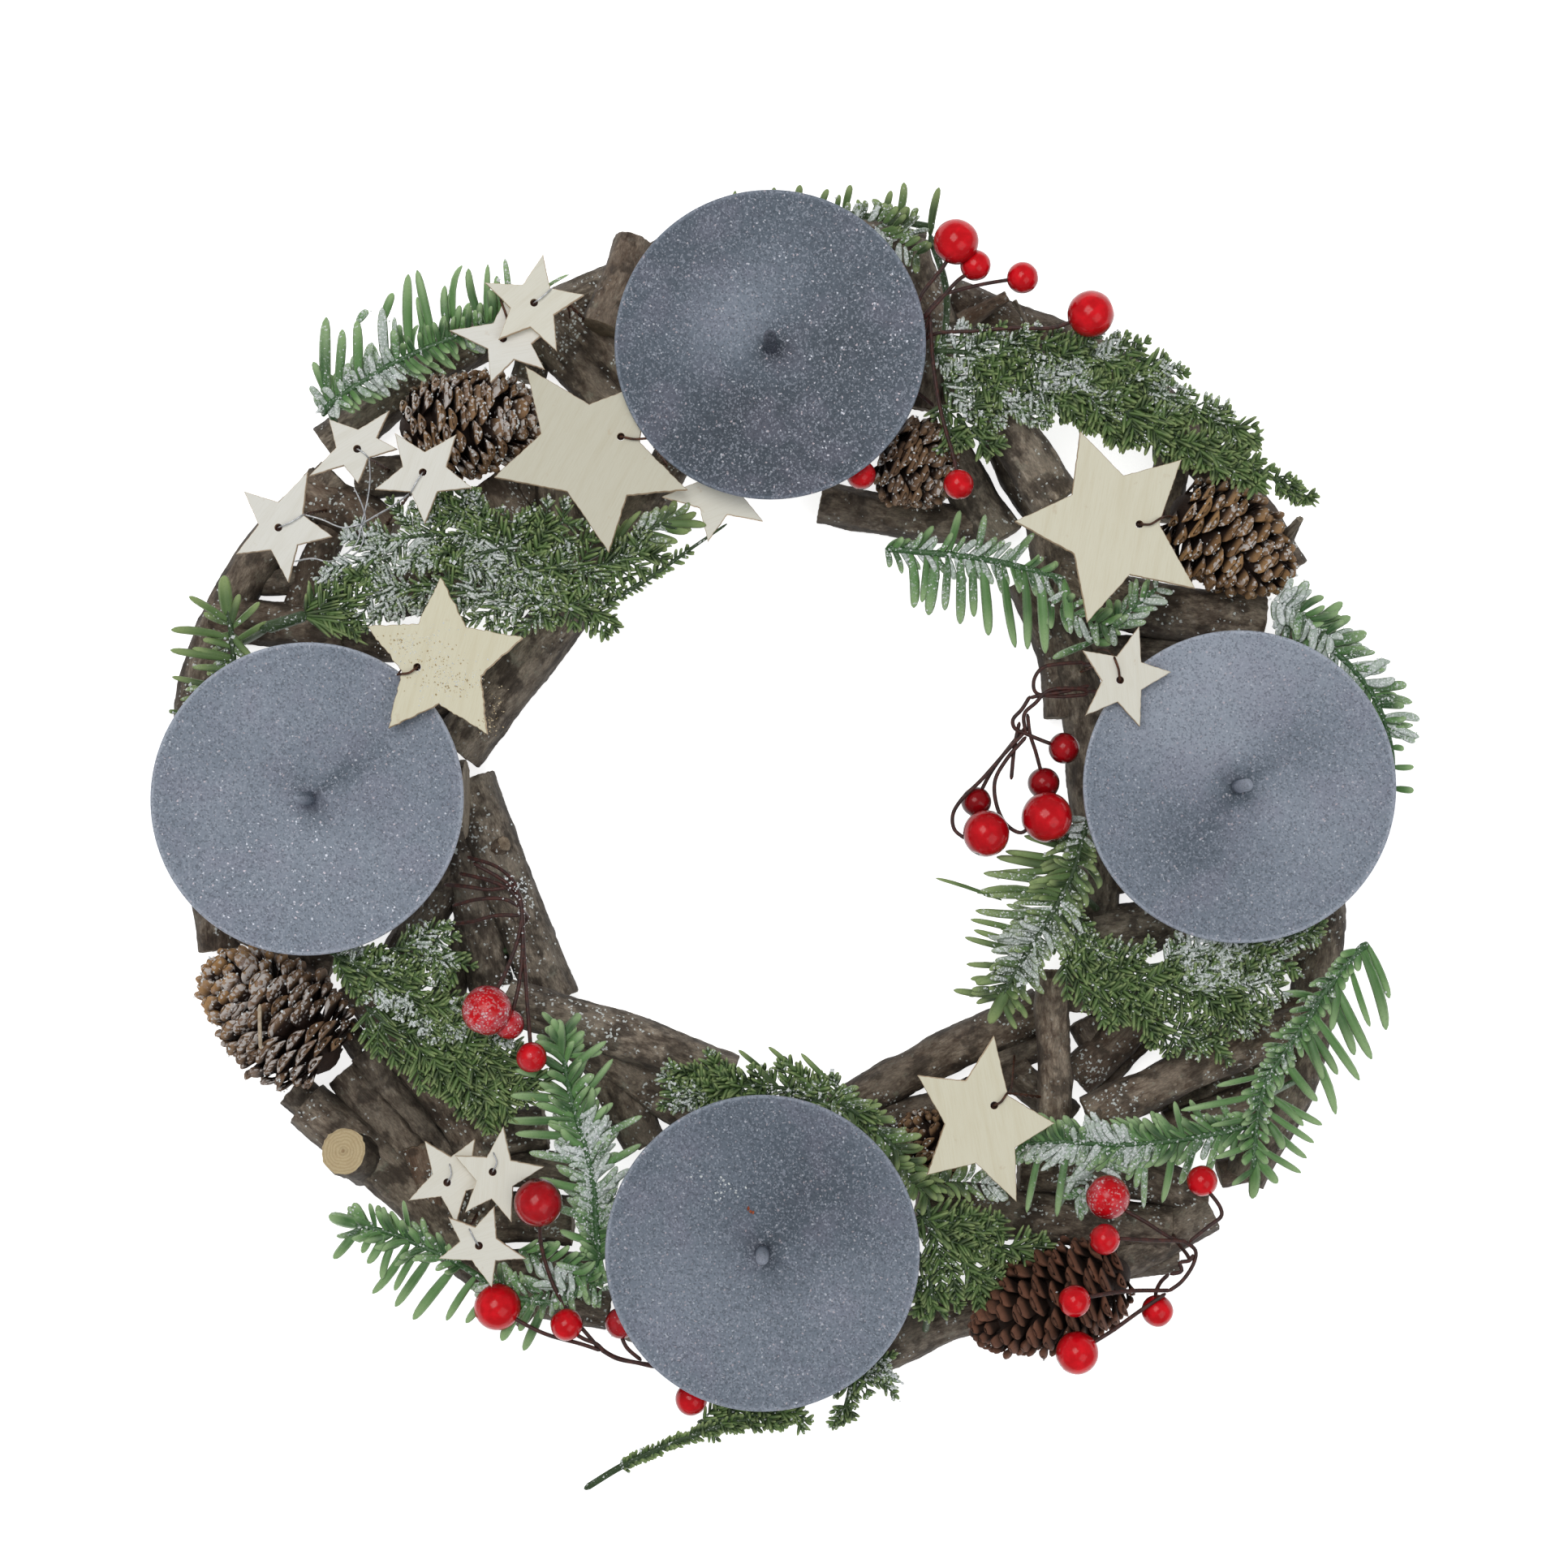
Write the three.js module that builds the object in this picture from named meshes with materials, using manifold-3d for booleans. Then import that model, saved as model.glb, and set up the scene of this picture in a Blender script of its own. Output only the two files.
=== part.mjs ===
// Round twig wreath for four spiked pillar candles: candle plates on a ring of stacked
// billets, trimmed with cones, plywood stars, berry picks and greenery picks.
// Millimetres, +Z up, the wreath lies on z = 0.
import * as THREE from "three";
import { mergeVertices } from "three/addons/utils/BufferGeometryUtils.js";
import Module from "manifold-3d";

// ---------------------------------------------------------------- driving dimensions
const SCALE = 0.2; // mm of one plan unit at the plate rim's height
const EYE = 700; // height of the plan's eye point above the plate rims
const EYE_TILT = THREE.MathUtils.degToRad(88); // elevation of the plan's line of sight
const PLAN_MID = [966, 966]; // plan point under the line of sight
const MID_X = 3.2; // where that point lies
const MID_Y = 0;
const MID_Z = 39; // height of the plate rims

const FLOOR_LAYER = 0; // underside of the first layer of twigs
const SECOND_LAYER = 14.4; // underside of the second layer

const PLATE_R = 38.6; // candle plate
const PLATE_LAND_R = 5; // flat middle of the plate
const PLATE_BASE = 34.8; // underside of that flat
const PLATE_SHEET = 1.0;
const PLATE_DEPTH = 3.4; // rim above the middle
const SPIKE_R = 1.6;
const SPIKE_UP = 18; // above the plate
const SPIKE_DOWN = 13; // into the billet below
const PLATE_SIDES = 36;
const SUPPORT_R = 10; // billet under a plate
const DRILL_R = 2.05;
const DRILL_DEPTH = 14.5;

const STAR_THICK = 2.0; // large plywood stars
const STAR_THICK_SMALL = 1.6;
const STAR_NOTCH = 0.62; // notch, as a share of the way to the middle of two tips
const STAR_NOTCH_SMALL = 0.55;
const STAR_HOLE_R = 1.0;

const PICK_Z = 28.2; // underside of the greenery picks' blades
const PICK_THICK = 4;
const WIRE_R = 0.65; // berry stems

// ---------------------------------------------------------------- helpers
const wasm = await Module();
wasm.setup();

// A plan point (u to the right, v down) as a point at height z.
function at(u, v, z) {
  const c = Math.cos(EYE_TILT),
    s = Math.sin(EYE_TILT);
  const eye = new THREE.Vector3(MID_X, MID_Y - EYE * c, MID_Z + EYE * s);
  const f = EYE / SCALE;
  const du = u - PLAN_MID[0],
    dv = PLAN_MID[1] - v;
  const ray = new THREE.Vector3(du, f * c + dv * s, -f * s + dv * c);
  return eye.addScaledVector(ray, (z - eye.z) / ray.z);
}

function solid(geometry) {
  const g = geometry.index ? geometry.toNonIndexed() : geometry.clone();
  for (const k of Object.keys(g.attributes))
    if (k !== "position") g.deleteAttribute(k);
  const m = mergeVertices(g, 1e-3);
  return new wasm.Manifold(
    new wasm.Mesh({
      numProp: 3,
      vertProperties: new Float32Array(m.attributes.position.array),
      triVerts: new Uint32Array(m.index.array),
    }),
  );
}

function geometryOf(manifold) {
  const m = manifold.getMesh();
  const g = new THREE.BufferGeometry();
  const p = new Float32Array(m.numVert * 3);
  for (let i = 0; i < m.numVert; i++)
    for (let k = 0; k < 3; k++)
      p[3 * i + k] = m.vertProperties[m.numProp * i + k];
  g.setAttribute("position", new THREE.BufferAttribute(p, 3));
  g.setIndex(new THREE.BufferAttribute(new Uint32Array(m.triVerts), 1));
  g.computeVertexNormals();
  return g;
}

const join = (list) =>
  geometryOf(list.map(solid).reduce((a, b) => a.add(b)));

// Regular polygon whose flats lie at distance r.
function ngon(r, sides) {
  const shape = new THREE.Shape();
  const R = r / Math.cos(Math.PI / sides);
  for (let i = 0; i < sides; i++) {
    const a = ((i + 0.5) / sides) * 2 * Math.PI;
    if (i) shape.lineTo(R * Math.cos(a), R * Math.sin(a));
    else shape.moveTo(R * Math.cos(a), R * Math.sin(a));
  }
  shape.closePath();
  return shape;
}

function tube(points, r, sides, steps) {
  const path =
    points.length === 2
      ? new THREE.LineCurve3(points[0], points[1])
      : new THREE.CatmullRomCurve3(points, false, "centripetal");
  return new THREE.ExtrudeGeometry(ngon(r, sides), {
    steps: points.length === 2 ? 1 : steps,
    extrudePath: path,
    bevelEnabled: false,
  });
}

const wreath = new THREE.Group();
wreath.name = "twig_wreath";

function put(name, geometry, color, roughness, metalness = 0) {
  const mesh = new THREE.Mesh(
    geometry,
    new THREE.MeshStandardMaterial({ color, roughness, metalness }),
  );
  mesh.name = name;
  wreath.add(mesh);
  return mesh;
}

// ---------------------------------------------------------------- twigs
const BARK = 0x50463c;
const twigs = {
  // first layer: the two open rings of the wreath
  twig_left_inner_upper: [FLOOR_LAYER, 7.4, [[716, 722], [652, 806], [562, 924]]],
  twig_left_inner_lower: [FLOOR_LAYER, 7, [[576, 962], [600, 1030], [640, 1130], [684, 1232]]],
  twig_bottom_right_inner: [FLOOR_LAYER, 5.6, [[1010, 1382], [1150, 1306], [1283, 1244]]],
  twig_right_inner: [FLOOR_LAYER, 6, [[1290, 640], [1312, 760], [1338, 900], [1344, 980], [1358, 1060], [1338, 1185], [1332, 1246]]],
  twig_top_inner: [FLOOR_LAYER, 5.2, [[1012, 618], [1100, 636], [1206, 648]]],
  twig_bottom_outer: [FLOOR_LAYER, 6, [[762, 1618], [900, 1660], [1050, 1668], [1184, 1620], [1360, 1556], [1488, 1488]]],
  twig_right_outer: [FLOOR_LAYER, 6, [[1532, 1452], [1600, 1320], [1626, 1150], [1624, 950], [1602, 770]]],
  twig_top_right_outer: [FLOOR_LAYER, 5, [[1172, 368], [1240, 394], [1326, 426], [1416, 488], [1484, 570], [1546, 630], [1592, 702]]],
  twig_left_outer: [FLOOR_LAYER, 5.6, [[416, 588], [306, 704], [246, 850], [238, 1000], [262, 1100], [270, 1170]]],
  billet_right_lower: [FLOOR_LAYER, 5.5, [[1325, 1329], [1426, 1230]]],
  // second layer: bridging twigs
  twig_bottom_left_inner: [SECOND_LAYER, 6, [[624, 1233], [760, 1275], [900, 1329]]],
  twig_right_upright: [SECOND_LAYER, 4.3, [[1297, 1196], [1299, 1398]]],
  twig_right_lower: [SECOND_LAYER, 5.5, [[1342, 1376], [1450, 1324], [1604, 1262]]],
  twig_top_right_inner: [SECOND_LAYER, 6.4, [[1214, 486], [1302, 618]]],
};
// Side branches of the twigs above: radius, then points [u, v, height of the axis].
const forks = {
  twig_left_outer: [
    [4, [[308, 716, 4.1], [386, 716, 4.1]]],
    [6.5, [[372, 604, 6.5], [484, 658, 6.5]]],
    [4.5, [[418, 630, 4.6], [356, 780, 4.6]]],
    [6, [[262, 762, 6.1], [424, 776, 6.1]]],
    [5.5, [[440, 592, 5.6], [504, 586, 5.6]]],
    [5, [[268, 1126, 5.1], [412, 1185, 5.1]]],
    [4, [[400, 790, 4.1], [470, 798, 4.1], [575, 802, 4.1]]],
  ],
  twig_left_inner_upper: [
    [4, [[640, 640, 4.1], [654, 598, 4.1]]],
    [6.5, [[690, 720, 6.6], [600, 596, 6.6]]],
    [6, [[672, 690, 6.1], [470, 740, 6.1]]],
    [6.5, [[704, 712, 6.6], [688, 590, 6.6]]],
    [5.5, [[716, 712, 5.6], [806, 602, 5.6], [832, 562, 5.6]]],
    [4, [[606, 850, 4.1], [536, 872, 4.1]]],
  ],
  twig_left_inner_lower: [
    [6, [[560, 1000, 6.1], [606, 1216, 6.1]]],
    [6, [[566, 1050, 6.1], [497, 1176, 6.1]]],
    [4, [[580, 1120, 4.1], [556, 1230, 4.1]]],
  ],
  twig_right_inner: [
    [5.9, [[1222, 520, 6], [1304, 660, 6]]],
    [7.5, [[1300, 716, 7.6], [1420, 748, 7.6], [1554, 768, 7.6]]],
    [5, [[1262, 716, 5.1], [1290, 775, 5.1], [1306, 830, 5.1], [1308, 884, 5.1]]],
    [6.5, [[1348, 1150, 6.6], [1460, 1130, 6.6]]],
    [4, [[1335, 800, 4.1], [1470, 800, 4.1]]],
    [5, [[1340, 1090, 5.1], [1410, 1072, 5.1]]],
  ],
  twig_top_inner: [
    [6.2, [[1172, 565, 6.3], [1234, 664, 6.3]]],
  ],
  twig_bottom_outer: [
    [4, [[1390, 1556, 4.1], [1450, 1548, 4.1]]],
    [6.8, [[1130, 1484, 6.9], [1240, 1496, 6.9], [1340, 1506, 6.9], [1440, 1514, 6.9]]],
    [6, [[1256, 1440, 6.1], [1380, 1448, 6.1], [1484, 1478, 6.1]]],
  ],
  twig_bottom_left_inner: [
    [5.5, [[690, 1266, 18], [870, 1386, 8]]],
    [6, [[740, 1296, 14], [792, 1404, 7]]],
  ],
  twig_bottom_right_inner: [
    [4, [[1216, 1310, 4.1], [1284, 1286, 4.1]]],
    [4.2, [[1034, 1388, 4.3], [1150, 1366, 4.3], [1268, 1312, 4.3]]],
    [4.2, [[1246, 1320, 4.3], [1318, 1378, 4.3]]],
  ],
  billet_right_lower: [
    [4, [[1356, 1300, 4.1], [1334, 1257, 4.1]]],
    [2.8, [[1350, 1341, 2.9], [1420, 1271, 2.9]]],
  ],
  twig_top_right_outer: [
    [5, [[1452, 540, 5.1], [1428, 640, 5.1]]],
  ],
  twig_right_outer: [
    [4, [[1540, 1436, 4.1], [1502, 1446, 4.1]]],
    [3.8, [[1440, 1366, 3.9], [1570, 1306, 3.9]]],
    [5.8, [[1612, 1240, 6.1], [1500, 1296, 6.1], [1406, 1352, 6.1]]],
    [5.5, [[1622, 1160, 5.6], [1500, 1190, 5.6]]],
    [5.5, [[1596, 1332, 5.6], [1440, 1392, 5.6]]],
  ],
};
for (const [name, [under, r, line]] of Object.entries(twigs)) {
  const z = under + r;
  const points = line.map(([u, v]) => at(u, v, z));
  const main = tube(points, r, 8, 3 * (points.length - 1));
  const sides = (forks[name] || []).map(([rf, pts]) => tube(pts.map((p) => at(...p)), rf, 8, 3 * (pts.length - 1)));
  put(name, sides.length ? join([main, ...sides]) : main, BARK, 0.9);
}

// The lower left twig carries eleven side branches and a sawn-off one that points up and outward.
{
  const r = 7.2;
  const main = tube(
    [[378, 1360], [452, 1422], [562, 1524], [664, 1612]].map(([u, v]) => at(u, v, r)),
    r, 8, 9,
  );
  const stub = tube([at(446, 1428, 8), at(423, 1418, 21)], 6, 8, 1);
  const inner = tube([at(540, 1462, 7), at(424, 1322, 5.1)], 5, 8, 1);
  const long = tube([[440, 1206], [520, 1316], [590, 1420], [578, 1542]].map(([u, v]) => at(u, v, 6.6)), 6.5, 8, 9);
  const filler = tube([[452, 1296], [482, 1346], [560, 1440]].map(([u, v]) => at(u, v, 4.6)), 4.5, 8, 6);
  const shred = tube([at(514, 1412, 10), at(548, 1530, 10)], 4, 8, 1);
  const side = tube([at(586, 1402, 6.6), at(672, 1388, 6.6)], 6, 8, 1);
  const cross = tube([at(580, 1500, 6.6), at(706, 1504, 6.6)], 6.5, 8, 1);
  const low = tube([at(610, 1566, 6.6), at(728, 1572, 6.6)], 6, 8, 1);
  const mid = tube([at(600, 1440, 5.1), at(716, 1440, 5.1)], 5, 8, 1);
  const tail = tube([at(650, 1596, 6.1), at(750, 1615, 6.1)], 5, 8, 1);
  const head = tube([at(410, 1385, 5.1), at(362, 1342, 5.1)], 5, 8, 1);
  const thin = tube([at(475, 1335, 3.6), at(425, 1264, 3.6)], 3.5, 8, 1);
  put("twig_lower_left_outer", join([main, stub, inner, long, filler, shred, side, cross, low, mid, tail, head, thin]), BARK, 0.9);
}

// The top twig carries seven short side branches across the ring, three of them beside the plate.
{
  const r = 5.6;
  const main = tube(
    [[1136, 312], [950, 272], [850, 298], [786, 338], [690, 380], [560, 436], [404, 552]].map(([u, v]) => at(u, v, r)),
    r, 8, 18,
  );
  const branch = tube([at(783, 298, 13.5), at(741, 404, 17)], 5.4, 8, 1);
  const right = tube([at(1122, 304, 12), at(1160, 405, 14)], 4.6, 8, 1);
  const low = tube([at(690, 380, 6), at(795, 474, 6)], 5.9, 8, 1);
  const lower = tube([at(672, 410, 6.2), at(752, 500, 6.2)], 6, 8, 1);
  const beside = tube([at(1152, 398, 15), at(1138, 504, 14)], 4.2, 8, 1);
  const left = tube([at(668, 405, 5.1), at(650, 470, 5.1)], 4.5, 8, 1);
  const under = tube([at(1160, 420, 12), at(1172, 496, 10)], 3.4, 8, 1);
  put("twig_top_outer", join([main, branch, right, low, lower, beside, left, under]), BARK, 0.9);
}

// ---------------------------------------------------------------- candle plates and the billets under them
const plates = {
  top: { mid: [949, 424], ends: [[912, 326], [1012, 586]] },
  right: { mid: [1527.6, 969], ends: [[1352, 973], [1664, 966]] },
  bottom: { mid: [939.4, 1544], ends: [[1005, 1384], [886, 1672]] },
  left: { mid: [378, 984], ends: [[230, 984], [574, 984]] },
};
const T = PLATE_BASE + PLATE_SHEET;
const plateProfile = [
  [0, PLATE_BASE - SPIKE_DOWN],
  [SPIKE_R, PLATE_BASE - SPIKE_DOWN + 2.5],
  [SPIKE_R, PLATE_BASE],
  [PLATE_LAND_R, PLATE_BASE],
  [PLATE_R - 0.7, PLATE_BASE + PLATE_DEPTH],
  [PLATE_R, PLATE_BASE + PLATE_DEPTH + 0.3],
  [PLATE_R, T + PLATE_DEPTH - 0.1],
  [PLATE_R - 0.7, T + PLATE_DEPTH + 0.1],
  [PLATE_LAND_R, T],
  [SPIKE_R, T],
  [SPIKE_R, T + SPIKE_UP - 4],
  [0, T + SPIKE_UP],
].map(([x, y]) => new THREE.Vector2(x, y));
for (const [where, { mid, ends }] of Object.entries(plates)) {
  const c = at(mid[0], mid[1], T + PLATE_DEPTH);
  const plate = new THREE.LatheGeometry(plateProfile, PLATE_SIDES);
  plate.rotateX(Math.PI / 2);
  plate.translate(c.x, c.y, 0);
  put("candle_plate_" + where, plate, 0x6d7480, 0.55, 0.5);

  const z = SECOND_LAYER + SUPPORT_R;
  const billet = solid(tube(ends.map(([u, v]) => at(u, v, z)), SUPPORT_R, 8, 1));
  const drill = new THREE.CylinderGeometry(DRILL_R, DRILL_R, DRILL_DEPTH + 2, 12);
  drill.rotateX(Math.PI / 2);
  drill.translate(c.x, c.y, SECOND_LAYER + 2 * SUPPORT_R - DRILL_DEPTH / 2 + 1);
  put("billet_under_plate_" + where, geometryOf(billet.subtract(solid(drill))), BARK, 0.9);
}

// ---------------------------------------------------------------- pine cones: [stem end, tip, thickest radius, height of the axis]
const cones = {
  cone_upper_left: [[492, 528], [688, 514], 14, 20.4],
  cone_top: [[1086, 552], [1176, 596], 12.2, 20.4],
  cone_right: [[1446, 618], [1590, 718], 14.6, 20.6],
  cone_left_lower: [[414, 1312], [254, 1184], 16, 19.6],
  cone_bottom_right: [[1392, 1561], [1194, 1646], 14, 28.6],
  cone_bottom: [[1184, 1446], [1112, 1378], 10, 16.4],
};
const CONE_FORM = [[0, 0], [0.5, 0.02], [0.86, 0.16], [1, 0.36], [0.86, 0.62], [0.55, 0.85], [0.24, 0.97], [0, 1]];
for (const [name, [a, b, r, z]] of Object.entries(cones)) {
  const p = at(a[0], a[1], z),
    q = at(b[0], b[1], z);
  const axis = q.clone().sub(p);
  const long = axis.length();
  const g = new THREE.LatheGeometry(
    CONE_FORM.map(([x, y]) => new THREE.Vector2(x * r, y * long)),
    12,
  );
  g.applyQuaternion(
    new THREE.Quaternion().setFromUnitVectors(new THREE.Vector3(0, 1, 0), axis.normalize()),
  );
  g.translate(p.x, p.y, p.z);
  put(name, g, 0x5a4030, 0.85);
}

// ---------------------------------------------------------------- plywood stars: underside, tips in turn, hole
const stars = {
  star_large_upper_left: [35.4, STAR_THICK, [[647, 451], [800, 470], [847, 603], [750, 681], [608, 588]], [765, 538]],
  star_large_right: [37.2, STAR_THICK, [[1331, 531], [1456, 566], [1473, 725], [1340, 767], [1250, 642]], [1404, 646]],
  star_large_left: [41.0, STAR_THICK, [[543, 710], [645, 785], [600, 904], [478, 898], [451, 771]], [514, 822]],
  star_large_lower_right: [35.2, STAR_THICK, [[1225, 1276], [1300, 1384], [1253, 1482], [1142, 1448], [1130, 1325]], [1225, 1362]],
  star_under_plate_top: [29.6, STAR_THICK_SMALL, [[864, 548], [932, 572], [940, 642], [872, 668], [815, 612]], [888, 600]],
  star_small_right: [40.0, STAR_THICK_SMALL, [[1404, 771], [1444, 828], [1405, 896], [1337, 882], [1334, 801]], [1380, 838]],
  star_small_top_left_front: [36.6, STAR_THICK_SMALL, [[669, 313], [720, 363], [686, 433], [614, 418], [597, 348]], [658, 373]],
  star_small_top_left_rear: [34.2, STAR_THICK_SMALL, [[628, 356], [683, 400], [671, 455], [604, 472], [553, 407]], [620, 417]],
  star_small_left_upper: [36.3, STAR_THICK_SMALL, [[480, 505], [490, 553], [441, 596], [380, 587], [405, 516]], [440, 553]],
  star_small_left_middle: [38.2, STAR_THICK_SMALL, [[562, 535], [582, 601], [523, 646], [461, 603], [486, 533]], [521, 582]],
  star_small_left_lower: [34.4, STAR_THICK_SMALL, [[379, 581], [410, 661], [355, 718], [290, 683], [300, 605]], [343, 650]],
  star_small_lower_left_a: [33.4, STAR_THICK_SMALL, [[585, 1403], [614, 1456], [562, 1508], [502, 1480], [523, 1406]], [551, 1457]],
  star_small_lower_left_b: [35.6, STAR_THICK_SMALL, [[620, 1388], [670, 1438], [630, 1506], [573, 1494], [560, 1424]], [607, 1444]],
  star_small_lower_left_c: [37.8, STAR_THICK_SMALL, [[609, 1486], [648, 1551], [606, 1587], [540, 1551], [552, 1500]], [590, 1535]],
};
for (const [name, [under, thick, tips, hole]] of Object.entries(stars)) {
  const pts = tips.map(([u, v]) => at(u, v, under + thick));
  const mid = pts.reduce((a, p) => a.add(p), new THREE.Vector3()).divideScalar(5);
  const shape = new THREE.Shape();
  pts.forEach((p, i) => {
    const next = pts[(i + 1) % 5];
    const notch = p.clone().add(next).multiplyScalar(0.5).sub(mid).multiplyScalar(thick === STAR_THICK ? STAR_NOTCH : STAR_NOTCH_SMALL).add(mid);
    if (i) shape.lineTo(p.x, p.y);
    else shape.moveTo(p.x, p.y);
    shape.lineTo(notch.x, notch.y);
  });
  shape.closePath();
  const h = at(hole[0], hole[1], under + thick);
  const g = new THREE.ExtrudeGeometry(shape, { depth: thick, bevelEnabled: false });
  g.translate(0, 0, under);
  const drill = new THREE.CylinderGeometry(STAR_HOLE_R, STAR_HOLE_R, 3 * thick, 8);
  drill.rotateX(Math.PI / 2);
  drill.translate(h.x, h.y, under);
  put(name, geometryOf(solid(g).subtract(solid(drill))), 0xd8cdb4, 0.7);
}

// ---------------------------------------------------------------- berry picks: where the stems meet, then berries [u, v, z, r]
const berryPicks = {
  berry_pick_top: {
    meet: [1146, 392, 36],
    berries: [[1178, 298, 39, 5.6], [1202, 327, 36.5, 3.8], [1260, 342, 36.5, 3.9], [1344, 387, 38, 5.8], [1061, 585, 32.6, 3.7], [1181, 597, 37, 3.8]],
  },
  berry_pick_right_inner: {
    meet: [1300, 850, 31],
    berries: [[1311, 922, 31, 3.9], [1286, 965, 27, 4], [1290, 1007, 34, 6.3], [1203, 988, 27, 3.8], [1215, 1027, 34, 5.8]],
  },
  berry_pick_left: {
    meet: [642, 1120, 34],
    berries: [[600, 1245, 39.2, 6.2], [627, 1262, 36.6, 3.8], [655, 1303, 36.8, 3.8]],
  },
  berry_pick_lower_left: {
    meet: [800, 1686, 33],
    berries: [[663, 1482, 38, 6], [613, 1610, 31, 5.8], [698, 1632, 34, 4], [765, 1630, 31, 3.9], [852, 1724, 30, 4]],
  },
  berry_pick_bottom_right: {
    meet: [1462, 1560, 40],
    berries: [[1365, 1475, 38, 5.4], [1361, 1527, 44.5, 3.8], [1481, 1455, 38, 3.8], [1324, 1603, 47.4, 3.9], [1426, 1615, 37, 3.9], [1327, 1667, 43.4, 5.2]],
  },
};
for (const [name, { meet, berries }] of Object.entries(berryPicks)) {
  const m = at(...meet);
  const list = [];
  for (const [u, v, z, r] of berries) {
    const c = at(u, v, z);
    const ball = new THREE.IcosahedronGeometry(r, 1);
    ball.translate(c.x, c.y, c.z);
    list.push(ball);
    const back = m.clone().sub(c).normalize();
    list.push(tube([c.clone(), m.clone().addScaledVector(back, 0.8)], WIRE_R, 4, 1));
  }
  put(name, join(list), 0xb01018, 0.25);
}

// ---------------------------------------------------------------- greenery picks: strokes of [u, v, half width]
const FIR = 0x5c7844;
const CYPRESS = 0x5a6f5a;
const greens = {
  fir_pick_left: [FIR, [
    [[402, 506, 14], [480, 452, 20], [560, 408, 20], [642, 376, 14]],
  ]],
  cypress_pick_upper_left: [CYPRESS, [
    [[214, 800, 12], [290, 766, 24], [360, 764, 16], [446, 766, 12]],
    [[438, 772, 10], [440, 740, 12], [446, 700, 16]],
    [[436, 704, 30], [540, 680, 46], [640, 690, 50], [762, 738, 26]],
    [[700, 706, 16], [770, 664, 24], [812, 655, 10]],
    [[750, 744, 6], [810, 706, 8], [856, 680, 4]],
  ]],
  cypress_pick_top_right: [CYPRESS, [
    [[906, 262, 14], [1000, 254, 20], [1080, 262, 26], [1150, 270, 22]],
    [[1140, 268, 6], [1166, 360, 6], [1160, 450, 14]],
    [[1152, 452, 30], [1280, 462, 44], [1400, 492, 40], [1500, 534, 24], [1612, 612, 8]],
  ]],
  fir_pick_right_inner: [FIR, [[[1128, 700, 20], [1200, 704, 36], [1296, 756, 30]]]],
  fir_pick_right_outer: [FIR, [[[1586, 736, 18], [1642, 782, 28], [1690, 868, 26], [1722, 956, 14]]]],
  cypress_pick_right_lower: [CYPRESS, [
    [[1322, 1056, 24], [1262, 1130, 46], [1216, 1236, 20]],
    [[1314, 1070, 10], [1330, 1120, 12], [1340, 1172, 20]],
    [[1330, 1170, 24], [1440, 1188, 34], [1566, 1180, 26]],
  ]],
  fir_pick_lower_right: [FIR, [
    [[1688, 1180, 18], [1622, 1262, 34], [1562, 1370, 34], [1545, 1462, 12]],
    [[1566, 1362, 20], [1450, 1398, 32], [1330, 1392, 32], [1270, 1424, 16]],
  ]],
  cypress_pick_bottom_outer: [CYPRESS, [
    [[722, 1828, 3], [800, 1792, 10], [880, 1760, 10], [985, 1740, 12], [1078, 1708, 16]],
  ]],
  cypress_pick_bottom_inner: [CYPRESS, [
    [[1140, 1606, 20], [1162, 1515, 30], [1120, 1408, 20], [1020, 1330, 20], [870, 1318, 16]],
  ]],
  fir_pick_lower_left: [FIR, [
    [[692, 1268, 14], [702, 1380, 36], [730, 1490, 36], [744, 1556, 20]],
    [[412, 1498, 14], [480, 1524, 24], [548, 1546, 14], [600, 1556, 8], [740, 1534, 8]],
  ]],
  cypress_pick_left_lower: [CYPRESS, [[[436, 1160, 22], [520, 1232, 44], [604, 1334, 26]]]],
};
for (const [name, [color, strokes]] of Object.entries(greens)) {
  const list = strokes.map((stroke) => {
    const mid = stroke.map(([u, v]) => at(u, v, PICK_Z + PICK_THICK));
    const left = [],
      right = [];
    mid.forEach((p, i) => {
      const a = mid[Math.max(0, i - 1)],
        b = mid[Math.min(mid.length - 1, i + 1)];
      const d = b.clone().sub(a).normalize();
      const w = stroke[i][2] * SCALE;
      left.push([p.x - d.y * w, p.y + d.x * w]);
      right.unshift([p.x + d.y * w, p.y - d.x * w]);
    });
    const shape = new THREE.Shape([...left, ...right].map(([x, y]) => new THREE.Vector2(x, y)));
    const g = new THREE.ExtrudeGeometry(shape, { depth: PICK_THICK, bevelEnabled: false });
    g.translate(0, 0, PICK_Z);
    return g;
  });
  put(name, list.length > 1 ? join(list) : list[0], color, 0.8);
}

// ---------------------------------------------------------------- origin at the middle of the underside of the whole
const box = new THREE.Box3().setFromObject(wreath);
const mid = box.getCenter(new THREE.Vector3());
for (const mesh of wreath.children) mesh.geometry.translate(-mid.x, -mid.y, -box.min.z);

export default wreath;
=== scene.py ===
"""Twig wreath for four spiked pillar candles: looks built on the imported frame."""

import math

import bpy
import numpy as np
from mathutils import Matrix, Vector
from mathutils.geometry import tessellate_polygon


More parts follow.
